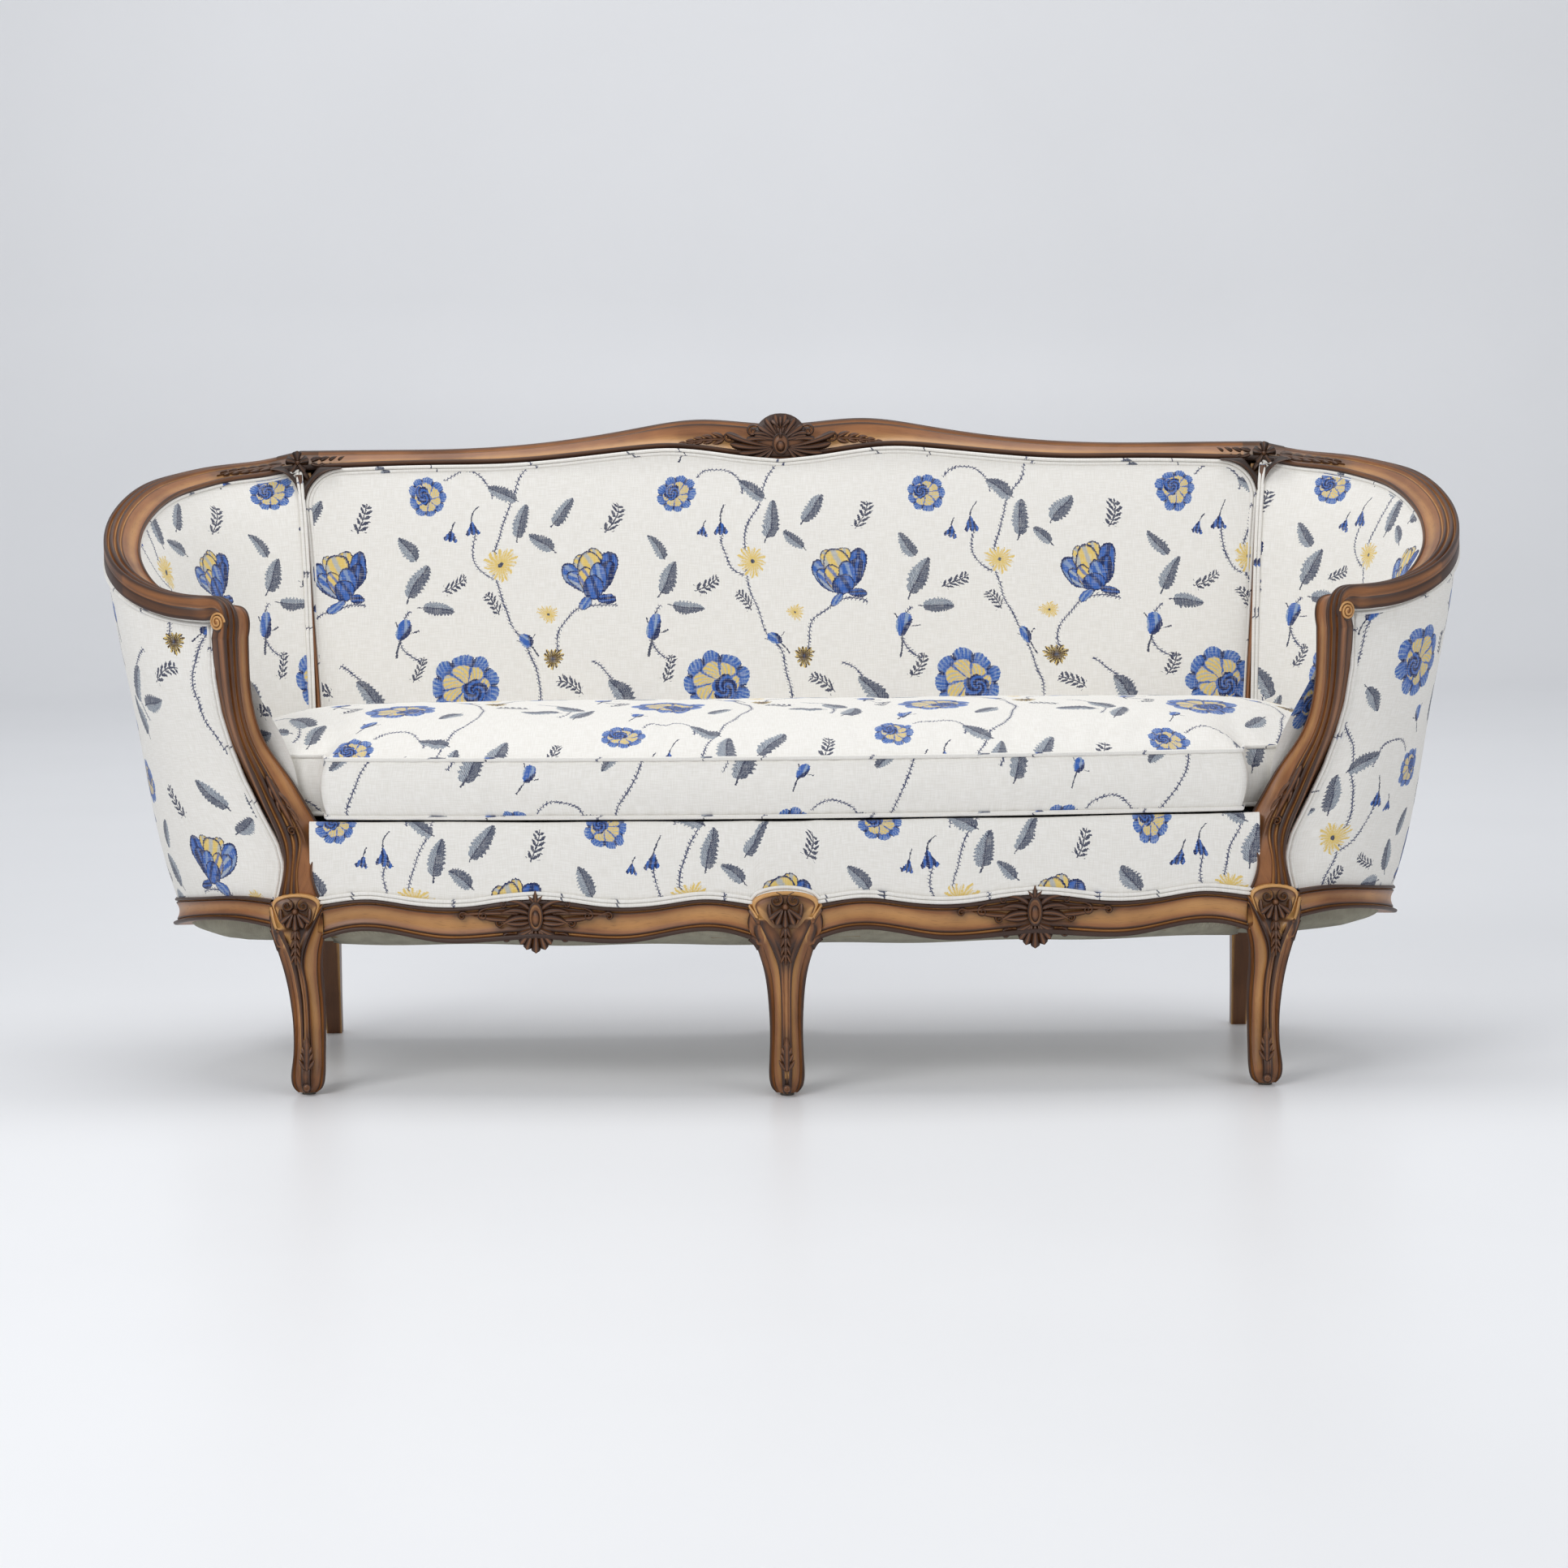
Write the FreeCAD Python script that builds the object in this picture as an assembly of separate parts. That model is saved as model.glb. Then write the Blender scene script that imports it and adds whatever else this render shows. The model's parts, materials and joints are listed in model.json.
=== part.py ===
import FreeCAD
import Part
import math
import os

Vector = FreeCAD.Vector
UP = Vector(0, 0, 1)

# Driving dimensions in millimetres
# X runs across the sofa from its middle plane, Z up from the floor.
# Y runs backwards from the line of the front corner legs, until the pieces are placed at the end.

# The back: a moulded rail that rises to a carved shell
CREST_TOP = 878.6
RAIL_TOP = 829.5
CREST_PEAK = 38.7            # height of the rail's shoulders over RAIL_TOP
CREST_PEAK_X = 118.0
CREST_MIDDLE = 30.0          # height of the rail behind the shell over RAIL_TOP
BACK_Y = 612.0               # rear edge of the rail in the middle plane
BACK_BOW = 22.0              # how far its ends come forward of that
SHELL_RADIUS = 40.0
SHELL_THICKNESS = 15.0
SHELL_FLUTES = 9

# The corner blocks, where the back rail meets the wing rails
CORNER_X = 690.0
CORNER_INNER = 28.0          # from the corner to the joint with the back rail
CORNER_OUTER = 30.0          # from the corner to the joint with the wing rail

# The wing and arm rails, by the outer ridge of their moulding
HALF_WIDTH = 909.5
WIDEST_Y = 250.0
WIDEST_Z = 748.0
ARM_SEAM_X = 862.0
ARM_SEAM_Y = 58.0
ARM_SEAM_Z = 682.0
ARM_FRONT_X = 745.0
ARM_FRONT_Y = -20.0
ARM_TOP = 654.0

# The moulding that all show rails share
RAIL_WIDTH = 45.0            # from the outer ridge to the inner bead
RAIL_FACE = 22.0             # from the ridge down to the inner edge
RAIL_BAND = 31.0             # from the ridge down to the edge of the plain outer band
BAND_SWELL = 2.5             # how far the band stands out from the ridge

# The arm supports
SUPPORT_TOP = 600.0
SUPPORT_TOP_X = 717.5
SUPPORT_TOP_Y = -37.0
SUPPORT_TURN = 48.5          # how far the ridges face inwards, in degrees from straight ahead
VOLUTE_RADIUS = 13.0
VOLUTE_TURNS = 2.25

# The seat frame
SEAT_RAIL_TOP = 250.0
SEAT_RAIL_BOTTOM = 203.0
SEAT_RAIL_LIP = 12.0         # thickness of the moulded lip in front of the tacking ledge
SEAT_RAIL_DEPTH = 34.0
LEDGE_Z = 236.0              # height of the ledge behind the lip
SIDE_LEDGE_Z = 222.0         # the same on the lower side rails
UNDERSIDE_Z = 206.0          # flat underside of the rails behind the moulding
FRONT_BOW = 45.0             # how far the front rail bows forward of the corner legs
SEAT_HALF_WIDTH = 828.0
SEAT_WIDEST_Y = 215.0
SEAT_BACK_Y = 490.0          # rear face of the back seat rail

# The legs
LEG_INNER_X = 604.0
LEG_OUTER_X = 672.0
LEG_BLOCK_DEPTH = 54.0
CENTRE_BLOCK_HALF = 45.0
KNEE_Z = 201.0
ANKLE_Z = 110.0
TOE_Z = 22.0
KNEE_SWELL = 24.3            # how far the middle knee stands out from the front of the seat
GLIDE_HEIGHT = 3.0
GLIDE_RADIUS = 9.0
POST_FOOT_X = 648.0
POST_FOOT_Y = 502.0
POST_SEAT_X = 652.0
POST_SEAT_Y = 461.0
POST_SIZE = 40.0
RIDGE_WIDTH = 6.5            # the wooden ridge that parts the back from the wings
RIDGE_DEPTH = 12.0

# The upholstery
DECK_TOP = 350.0
DECK_PAD = 28.0
DECK_BORDER = 36.0
PANEL_BOTTOM = 300.0
INNER_PAD = 38.0             # thickness of the inner panels at the seat
INNER_PAD_TOP = 12.0
OUTER_PANEL = 8.0
SIDE_INNER_X = 757.0         # inner face of the inner side panels at the seat, at their widest
CENTRE_CORNER_RADIUS = 58.0
SIDE_CORNER_RADIUS = 38.0
CUSHION_BOTTOM = DECK_TOP + 0.3
CUSHION_SEAM = 437.0
CUSHION_CROWN = 487.0
CUSHION_OVERHANG = 12.0      # how far the cushion stands in from the front of the deck
CLEARANCE = 0.3

# Joinery and the inside of the seat
TENON_LENGTH = 28.0
TENON_THICKNESS = 11.0
TENON_FIT = 0.2
STRETCHER_WIDTH = 44.0
TACK_RAIL_HEIGHT = 34.0
TACK_RAIL_THICKNESS = 9.0
WEB_WIDTH = 50.0
WEB_THICKNESS = 2.0
WEBS_ACROSS = 4
WEBS_DEEP = 12
SPRING_ROWS = 2
SPRING_PAIRS = 3             # springs in a row on each side of the middle
SPRING_RADIUS = 38.0
SPRING_WIRE = 4.0
SPRING_TURNS = 3
DUST_COVER_DROP = 14.0
DUST_COVER_SLOPE = 70.0
CLOTH = 1.5


# Curves

class Curve:
    """Natural cubic spline through points, its parameter running with the chord length from 0 to 1."""

    def __init__(self, points):
        self.points = [tuple(float(value) for value in point) for point in points]
        knots = [0.0]
        for a, b in zip(self.points, self.points[1:]):
            knots.append(knots[-1] + math.dist(a, b))
        self.knots = [knot / knots[-1] for knot in knots]
        self.bends = [self.second_derivatives(axis) for axis in range(len(self.points[0]))]

    def second_derivatives(self, axis):
        """Solves the spline's tridiagonal equations for one coordinate."""
        values = [point[axis] for point in self.points]
        steps = [b - a for a, b in zip(self.knots, self.knots[1:])]
        last = len(values) - 1
        upper = [0.0] * (last + 1)
        right = [0.0] * (last + 1)
        for i in range(1, last):
            slope = (values[i + 1] - values[i]) / steps[i] - (values[i] - values[i - 1]) / steps[i - 1]
            pivot = 2 * (steps[i - 1] + steps[i]) - steps[i - 1] * upper[i - 1]
            upper[i] = steps[i] / pivot
            right[i] = (6 * slope - steps[i - 1] * right[i - 1]) / pivot
        bends = [0.0] * (last + 1)
        for i in range(last - 1, 0, -1):
            bends[i] = right[i] - upper[i] * bends[i + 1]
        return bends

    def value(self, t):
        i = 0
        while i < len(self.knots) - 2 and t > self.knots[i + 1]:
            i += 1
        step = self.knots[i + 1] - self.knots[i]
        a = (self.knots[i + 1] - t) / step
        b = 1 - a
        result = []
        for axis, bends in enumerate(self.bends):
            line = a * self.points[i][axis] + b * self.points[i + 1][axis]
            sag = ((a ** 3 - a) * bends[i] + (b ** 3 - b) * bends[i + 1]) * step ** 2 / 6
            result.append(line + sag)
        return result

    def at(self, t):
        return Vector(*self.value(t))

    def heading(self, t):
        """Horizontal direction of travel."""
        nudge = 1e-4
        step = self.at(min(t + nudge, 1)) - self.at(max(t - nudge, 0))
        step.z = 0
        return step.normalize()

    def find(self, axis, target, low=0.0, high=1.0):
        """Parameter where one coordinate reaches a value, between two parameters."""
        rising = self.value(high)[axis] > self.value(low)[axis]
        for _ in range(40):
            middle = (low + high) / 2
            if (self.value(middle)[axis] < target) == rising:
                low = middle
            else:
                high = middle
        return (low + high) / 2


def graph(points, x):
    """Height of a natural spline drawn through (x, height) points."""
    curve = Curve(points)
    return curve.value(curve.find(0, x))[1]


def spread(low, high, count):
    """Evenly spaced values from one end to the other."""
    return [low + (high - low) * i / (count - 1) for i in range(count)]


def blend(a, b, x, y, z):
    """A point part of the way from a to b, with its own share along each axis."""
    return tuple(start + (end - start) * share for start, end, share in zip(a, b, (x, y, z)))


def outward_of(heading):
    """Horizontal direction away from the sofa, for a rail that runs from the middle of the back forwards."""
    return Vector(-heading.y, heading.x, 0)


# Solids

def polygon(points):
    return Part.makePolygon(points + points[:1])


def prism(points, height):
    """A flat outline of points raised along Z."""
    return Part.Face(polygon(points)).extrude(UP * height)


def box(low, high):
    size = [high[i] - low[i] for i in range(3)]
    return Part.makeBox(*size, Vector(*low))


def grown(low, high, margin):
    """The same box with a margin on every side."""
    return box([value - margin for value in low], [value + margin for value in high])


def fused(shapes):
    """The shapes joined into one solid."""
    result = shapes[0].multiFuse(shapes[1:]).removeSplitter()
    if len(result.Solids) == 1:
        return result.Solids[0]
    return result


def skin(sections, count=0, flat_ends=True):
    """A closed solid of small flat facets through sections, eased to a number of them if one is given.
    Sections that aren't flat have two faces with the same number of corners."""
    if count:
        sections = eased(sections, count)
    faces = []
    for near, far in zip(sections, sections[1:]):
        for i in range(len(near)):
            after = (i + 1) % len(near)
            faces.append(Part.Face(polygon([near[i], near[after], far[after]])))
            faces.append(Part.Face(polygon([near[i], far[after], far[i]])))
    for end in (sections[0], sections[-1]):
        if flat_ends:
            faces.append(Part.Face(polygon(end)))
            continue
        last = len(end) - 1
        for i in range(len(end) // 2 - 1):
            faces.append(Part.Face(polygon([end[i], end[i + 1], end[last - i]])))
            faces.append(Part.Face(polygon([end[i + 1], end[last - i - 1], end[last - i]])))
    shell = Part.makeShell(faces)
    shell.sewShape()
    solid = Part.makeSolid(shell)
    if solid.Volume < 0:
        solid.reverse()
    return solid


def disc(centre, radius, thickness, direction, sides=8):
    """A flat round piece with a few sides, its axis level and near the Y axis."""
    across = direction.cross(UP).normalize()
    angles = spread(0, 2 * math.pi, sides + 1)[:-1]
    rim = [centre + (across * math.cos(angle) + UP * math.sin(angle)) * radius for angle in angles]
    return Part.Face(polygon(rim)).extrude(direction * thickness)


def cabochon(centre, half_width, half_height, depth):
    """A smooth upright dome that faces forwards, pointed at its foot."""
    rings = []
    for share, rise in ((1, -0.5), (1, 0.2), (0.72, 0.75), (0.3, 1)):
        ring = []
        for angle in spread(0, 2 * math.pi, 11)[:-1]:
            pinch = 1 - 0.35 * max(0.0, -math.sin(angle))
            ring.append(centre + Vector(half_width * share * pinch * math.cos(angle), -depth * rise,
                                        half_height * share * math.sin(angle)))
        rings.append(ring)
    return skin(rings)


def eased(sections, count):
    """More sections between those given, along smooth tracks of their corners."""
    tracks = []
    for corner in range(len(sections[0])):
        tracks.append(Curve([tuple(one[corner]) for one in sections]))
    result = []
    for share in spread(0, len(sections) - 1, count):
        first = min(int(share), len(sections) - 2)
        rest = share - first
        points = []
        for track in tracks:
            low, high = track.knots[first], track.knots[first + 1]
            points.append(track.at(low + (high - low) * rest))
        result.append(points)
    return result


def mirrored(shape):
    return shape.mirror(Vector(0, 0, 0), Vector(1, 0, 0))


def fitted(shape, neighbours):
    """A piece cut back to the neighbours that it lies against."""
    for neighbour in neighbours:
        shape = shape.cut(neighbour)
    return max(shape.Solids, key=lambda solid: solid.Volume)


def both_sides(shape):
    return Part.makeCompound([shape, mirrored(shape)])


def section(point, outward, upward, profile):
    """A profile of (out, up) pairs placed at a point."""
    return [point + outward * u + upward * w for u, w in profile]


# The rail moulding: three ridges, a wide cove and a bead by the fabric, with a plain band outside
# A step under it takes the inner panel, and the outer panel ends below the band.

def rail_profile(face=RAIL_FACE, band=RAIL_BAND):
    cove_top = -3.0
    cove_bottom = 7.0 - face
    drop = cove_top - cove_bottom
    cove = [(-0.60 * RAIL_WIDTH, cove_top - 0.55 * drop), (-0.75 * RAIL_WIDTH, cove_top - 0.88 * drop)]
    bead = [(4 - RAIL_WIDTH, cove_bottom), (2.5 - RAIL_WIDTH, cove_bottom + 1.5),
            (-RAIL_WIDTH, cove_bottom), (-RAIL_WIDTH, 3 - face), (1.5 - RAIL_WIDTH, -face)]
    ridges = [(0, 0), (-4, -2.5), (-8, 0.5), (-12, -2), (-16, 0), (-20, cove_top)]
    step = [(15 - RAIL_WIDTH, -face - 1), (22 - RAIL_WIDTH, -band), (1, -band)]
    low = 0.4 * band
    groove = [(BAND_SWELL, -low), (BAND_SWELL - 1.3, 1.5 - low), (BAND_SWELL, 3 - low), (BAND_SWELL, -3)]
    return ridges + cove + bead + step + groove


# The path of the outer ridge, on the right side: back rail, then wing and arm rail

def crest_points():
    """Top of the back rail, by its outer ridge."""
    shoulder = CREST_PEAK_X
    end = CORNER_X - CORNER_INNER
    rises = [(0, CREST_MIDDLE), (0.4 * shoulder, CREST_MIDDLE + 4), (shoulder, CREST_PEAK)]
    for share, rise in ((0.17, 0.69), (0.34, 0.32), (0.51, 0.09), (0.68, 0), (0.85, 0), (1, 0)):
        rises.append((shoulder + (end - shoulder) * share, CREST_PEAK * rise))
    return [(x, BACK_Y - BACK_BOW * (x / CORNER_X) ** 2, RAIL_TOP + rise) for x, rise in rises]


CREST = Curve(crest_points())


def crest_face(x):
    """Height of the moulded face of the back rail."""
    shoulder = CREST_PEAK_X
    end = CORNER_X - CORNER_INNER
    extra = [(0, 26), (0.6 * shoulder, 25), (shoulder, 20.8), (1.4 * shoulder, 13.8)]
    for share, more in ((0.17, 9), (0.34, 4.2), (0.51, 2.2), (0.68, -0.4), (0.85, 1), (1, 4)):
        if share > 0.1:
            extra.append((shoulder + (end - shoulder) * share, more))
    return RAIL_FACE + graph(extra, x)


CORNER = (CORNER_X, BACK_Y - BACK_BOW - 3, RAIL_TOP)
WIDEST = (HALF_WIDTH, WIDEST_Y, WIDEST_Z)
ARM_SEAM = (ARM_SEAM_X, ARM_SEAM_Y, ARM_SEAM_Z)
ARM_FRONT = (ARM_FRONT_X, ARM_FRONT_Y, ARM_TOP)
WING = Curve([
    CORNER,
    blend(CORNER, WIDEST, 0.25, 0.07, 0.15),
    blend(CORNER, WIDEST, 0.50, 0.18, 0.22),
    blend(CORNER, WIDEST, 0.73, 0.36, 0.34),
    blend(CORNER, WIDEST, 0.87, 0.56, 0.47),
    blend(CORNER, WIDEST, 0.96, 0.78, 0.70),
    WIDEST,
    blend(WIDEST, ARM_SEAM, 0.09, 0.36, 0.36),
    blend(WIDEST, ARM_SEAM, 0.45, 0.73, 0.70),
    ARM_SEAM,
    blend(ARM_SEAM, ARM_FRONT, 0.36, 0.55, 0.64),
    blend(ARM_SEAM, ARM_FRONT, 0.70, 0.85, 0.93),
    ARM_FRONT,
])
CORNER_SEAM = WING.find(0, CORNER_X + CORNER_OUTER, 0, 0.2)
SEAM = WING.knots[9]


def rail_section(curve, t, face=RAIL_FACE):
    return section(curve.at(t), outward_of(curve.heading(t)), UP, rail_profile(face))


def square_section(curve, t, face=RAIL_FACE):
    """The same in a plane across X, for a joint between two rails."""
    outward = outward_of(curve.heading(t))
    return section(curve.at(t), Vector(0, 1 / outward.y, 0), UP, rail_profile(face))


def knuckle_stations():
    """Where the arm turns down into its support: point, turn of the side, turn downwards, and thinning."""
    top = Vector(SUPPORT_TOP_X, SUPPORT_TOP_Y, SUPPORT_TOP)
    rise = ARM_TOP - SUPPORT_TOP
    return [
        (top + Vector(9.5, 8, 0.95 * rise), 27, 20, 0.84),
        (top + Vector(1, 2, 0.76 * rise), 37, 55, 0.62),
        (top + Vector(-1.5, -1, 0.44 * rise), 46, 80, 0.78),
        (top, SUPPORT_TURN, 90, 1),
    ]


def turned_section(point, turn, tilt, profile):
    """A section whose band faces forwards, turned outwards about Z, with its top tilted over."""
    turn = math.radians(turn)
    tilt = math.radians(tilt)
    outward = Vector(math.sin(turn), -math.cos(turn), 0)
    ahead = Vector(-math.cos(turn), -math.sin(turn), 0)
    return section(point, outward, UP * math.cos(tilt) + ahead * math.sin(tilt), profile)


# Wooden pieces of the back and sides

def crest_rail():
    ends = CORNER_X - CORNER_INNER
    xs = [0, 0.4 * CREST_PEAK_X, CREST_PEAK_X, 0.27 * ends, 0.38 * ends, 0.5 * ends, 0.62 * ends,
          0.75 * ends, 0.88 * ends, ends]
    sections = []
    for x in xs:
        t = CREST.find(0, x)
        sections.append(section(CREST.at(t), Vector(0, 1, 0), UP, rail_profile(crest_face(x))))
    half = skin(sections, 11)
    tenon = both_sides(crest_tenon(0))
    return fused([half, mirrored(half), shell()] + tenon.Solids)


def crest_tenon(margin):
    """The tongue of the back rail in the corner block."""
    end = CORNER_X - CORNER_INNER
    y = BACK_Y - BACK_BOW * (end / CORNER_X) ** 2
    low = (end - 6, y - 22 - TENON_THICKNESS / 2, RAIL_TOP - 22)
    high = (end + 0.6 * TENON_LENGTH, y - 22 + TENON_THICKNESS / 2, RAIL_TOP - 8)
    return grown(low, high, margin)


def shell():
    """A fan of flutes on the middle of the back rail."""
    centre_z = CREST_TOP - SHELL_RADIUS
    front_y = BACK_Y - RAIL_WIDTH - 2
    fan = []
    step = math.pi / SHELL_FLUTES
    for i in range(SHELL_FLUTES):
        angle = (i + 0.5) * step
        ray = Vector(math.cos(angle), 0, math.sin(angle))
        side = Vector(-math.sin(angle), 0, math.cos(angle))
        root = Vector(0, front_y, centre_z) + ray * 6
        rim = Vector(0, front_y, centre_z) + ray * SHELL_RADIUS
        sections = []
        for point, half, thick in ((root, 1.2, 0.55), (rim - ray * 3, 0.98 * SHELL_RADIUS * step / 2, 1.0),
                                   (rim, 0.6 * SHELL_RADIUS * step / 2, 0.6)):
            rise = Vector(0, -SHELL_THICKNESS * thick * 0.4, 0)
            back = Vector(0, SHELL_THICKNESS * 0.9, 0)
            sections.append([point - side * half, point - side * half * 0.5 + rise,
                             point + side * half * 0.5 + rise, point + side * half,
                             point + side * half + back, point - side * half + back])
        fan.append(skin(sections))
    base = disc(Vector(0, front_y, centre_z), SHELL_RADIUS * 0.45, SHELL_THICKNESS, Vector(0, 1, 0))
    return fused(fan + [base])


def corner_block():
    """The moulding where the back rail turns into the wing, with the two spandrels over the ridge."""
    end = CREST.at(1)
    corner = WING.at(0)
    outer = WING.at(CORNER_SEAM)
    face = crest_face(CORNER_X - CORNER_INNER)
    first = section(end, Vector(0, 1, 0), UP, rail_profile(face))
    bisector = (Vector(0, 1, 0) + outward_of(WING.heading(CORNER_SEAM))).normalize()
    middle = section(corner, bisector, UP, rail_profile(face))
    last = square_section(WING, CORNER_SEAM)
    block = skin([first, middle, last])
    return fused([block, spandrel(CENTRE_CORNER_RADIUS, -1), spandrel(SIDE_CORNER_RADIUS, 1)])


def ridge_front(z):
    """Front of the parting ridge at a height."""
    return POST.at(POST.find(2, z)) - Vector(0, POST_SIZE / 2 + RIDGE_DEPTH, 0)


def spandrel(radius, side):
    """Wood that rounds the upper corner of a fabric panel, beside the parting ridge."""
    top = RAIL_TOP - RAIL_FACE - 1
    foot = ridge_front(top - radius)
    head = ridge_front(top)
    if side < 0:
        across = Vector(-1, 0, 0)
    else:
        across = Vector(0.9, -0.43, 0)
    count = 5
    front = [foot - across * RIDGE_WIDTH / 2]
    for i in range(count + 1):
        angle = math.pi / 2 * i / count
        reach = RIDGE_WIDTH / 2 + radius * (1 - math.cos(angle))
        rise = math.sin(angle)
        front.append(foot + (head - foot) * rise + across * reach)
    over = (head - foot) * 0.04
    front.append(head + over + across * (RIDGE_WIDTH / 2 + radius))
    front.append(head + over - across * RIDGE_WIDTH / 2)
    depth = Vector(0, RIDGE_DEPTH + 6, 0)
    return Part.Face(polygon(front)).extrude(depth)


POST = Curve([
    (POST_FOOT_X, POST_FOOT_Y, 0),
    (POST_FOOT_X + 2, POST_SEAT_Y + 14, 0.48 * SEAT_RAIL_TOP),
    (POST_SEAT_X, POST_SEAT_Y, 0.85 * SEAT_RAIL_TOP),
    (POST_SEAT_X, POST_SEAT_Y + 1, SEAT_RAIL_TOP + 20),
    (POST_SEAT_X + 5, POST_SEAT_Y + 27, 0.56 * RAIL_TOP),
    (0.5 * (POST_SEAT_X + CORNER_X) - 1, POST_SEAT_Y + 64, 0.75 * RAIL_TOP),
    (CORNER_X - 8, POST_SEAT_Y + 94, 0.915 * RAIL_TOP),
    (CORNER_X - 3, POST_SEAT_Y + 104, RAIL_TOP - RAIL_FACE - 8),
])


def rear_post():
    """Back leg, stile and corner block in one piece."""
    sections = []
    for z, size in ((0, 0.55), (0.24 * SEAT_RAIL_TOP, 0.64), (0.5 * SEAT_RAIL_TOP, 0.78),
                    (UNDERSIDE_Z - 12, 0.95), (UNDERSIDE_Z, 1), (SEAT_RAIL_TOP, 1), (0.45 * RAIL_TOP, 1),
                    (0.62 * RAIL_TOP, 1), (0.8 * RAIL_TOP, 1), (0.92 * RAIL_TOP, 0.9),
                    (RAIL_TOP - RAIL_FACE - 8, 0.8)):
        half = size * POST_SIZE / 2
        centre = POST.at(POST.find(2, z))
        sections.append([centre + Vector(x * half, y * half, 0) for x, y in ((-1, -1), (1, -1), (1, 1), (-1, 1))])
    ridge = []
    for z in spread(DECK_TOP + 20, RAIL_TOP - RAIL_FACE - 20, 5):
        nose = ridge_front(z)
        side = Vector(RIDGE_WIDTH / 2, 0, 0)
        back = Vector(0, RIDGE_DEPTH + 4, 0)
        ridge.append([nose - side * 0.5, nose + side * 0.5, nose + side + Vector(0, 2, 0),
                      nose + side + back, nose - side + back, nose - side + Vector(0, 2, 0)])
    post = fused([skin(sections), skin(ridge), corner_block()])
    post = post.cut(crest_tenon(TENON_FIT))
    return post.cut(back_tenon(POST_SEAT_X - POST_SIZE / 2, TENON_FIT))


def wing_rail():
    ts = spread(CORNER_SEAM, SEAM, 11)
    sections = [square_section(WING, ts[0])] + [rail_section(WING, t) for t in ts[1:]]
    return skin(sections)


def arm_rail():
    sections = [rail_section(WING, t) for t in spread(SEAM, 1, 5)]
    for point, turn, tilt, thin in knuckle_stations():
        profile = rail_profile(RAIL_FACE * (0.3 + 0.7 * thin), RAIL_BAND * thin)
        sections.append(turned_section(point, turn, tilt, profile))
    arm = skin(sections, 2 * len(sections) - 7)
    return fused([arm, volute()])


def volute():
    """The spiral bead on the outer side of the arm's knuckle."""
    centre, turn = knuckle_stations()[2][:2]
    turn = math.radians(turn - 12)
    outward = Vector(math.sin(turn), -math.cos(turn), 0)
    across = Vector(math.cos(turn), math.sin(turn), 0)
    middle = centre + across * (VOLUTE_RADIUS + 1) - UP * 2 - outward * 4
    bead = 2.2
    count = int(9 * VOLUTE_TURNS)
    inside = []
    outside = []
    for i in range(count + 1):
        angle = math.pi - 2 * math.pi * VOLUTE_TURNS * i / count
        radius = VOLUTE_RADIUS * (1 - 0.75 * i / count)
        ray = across * math.cos(angle) + UP * math.sin(angle)
        outside.append(middle + ray * radius)
        inside.append(middle + ray * (radius - bead))
    strip = Part.Face(polygon(outside + inside[::-1])).extrude(outward * 9)
    disc = [middle - outward * 3 + (across * math.cos(a) + UP * math.sin(a)) * (VOLUTE_RADIUS + 1.2)
            for a in spread(0, 2 * math.pi, 13)[:-1]]
    eye = Part.Face(polygon(disc)).extrude(outward * 9.8)
    return fused([eye, strip])


def support_outline():
    """Heights down the arm support, its outer and inner edges, the front of its ridge, and its turn."""
    top = SUPPORT_TOP
    run = SUPPORT_TOP - SEAT_RAIL_TOP
    rows = [(0.86, 737, 694, -24, 48), (0.715, 731, 690, -10, 44), (0.59, 720, 676, 0, 38),
            (0.47, 705, 648, 3, 30), (0.345, 684, 621, 1, 20), (0.225, 662, 605, -4, 10),
            (0.145, 654.5, 616, -7, 4), (0.08, 657, 614, -8, 0), (0, 664, 603, -9, 0)]
    return [(top - run * (1 - share), outer, inner, front, turn) for share, outer, inner, front, turn in rows]


def support_section(z, outer, inner, front, turn, deep):
    """The rail profile turned in plan, stretched to the support's width and moved to its edges."""
    face = RAIL_FACE - 10 * (1 - turn / SUPPORT_TURN)
    flat = turned_section(Vector(0, 0, z), turn_of(turn), 90, rail_profile(face, deep))
    low = min(point.x for point in flat)
    high = max(point.x for point in flat)
    scale = (outer - inner) / (high - low)
    nose = min(point.y for point in flat)
    return [Vector(outer + (point.x - high) * scale, front + (point.y - nose) * scale, z) for point in flat]


def turn_of(turn):
    """At the arm the ridges face inwards, at the leg straight ahead."""
    return 90 - turn * (90 - SUPPORT_TURN) / SUPPORT_TURN


def arm_support():
    top = Vector(SUPPORT_TOP_X, SUPPORT_TOP_Y, SUPPORT_TOP)
    sections = [turned_section(top, SUPPORT_TURN, 90, rail_profile())]
    for z, outer, inner, front, turn in support_outline():
        deep = RAIL_BAND + 4 * (1 - turn / SUPPORT_TURN)
        sections.append(support_section(z, outer, inner, front, turn, deep))
    return skin(sections, 11)


# Seat frame

def seat_profile(top, bottom, ledge_z=LEDGE_Z):
    """Moulded seat rail: top bead, hollow face, projecting lower bead, and a ledge behind the lip."""
    height = top - bottom
    ledge = ledge_z - top
    under = UNDERSIDE_Z - top
    return [(-SEAT_RAIL_LIP, 0), (-3, 0), (0.5, -2), (0.5, -6), (-2, -8.5),
            (-5, -0.38 * height), (-5, -0.6 * height), (-2, 11 - height), (2.5, 9.5 - height),
            (4, 6 - height), (4, 3 - height), (1.5, -height), (-8, -height), (-10, under),
            (-SEAT_RAIL_DEPTH, under), (-SEAT_RAIL_DEPTH, ledge), (-SEAT_RAIL_LIP, ledge)]


def front_y(x):
    """Plan of the front of the seat."""
    reach = LEG_INNER_X + 16
    return -FRONT_BOW * (1 - (x / reach) ** 2)


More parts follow.
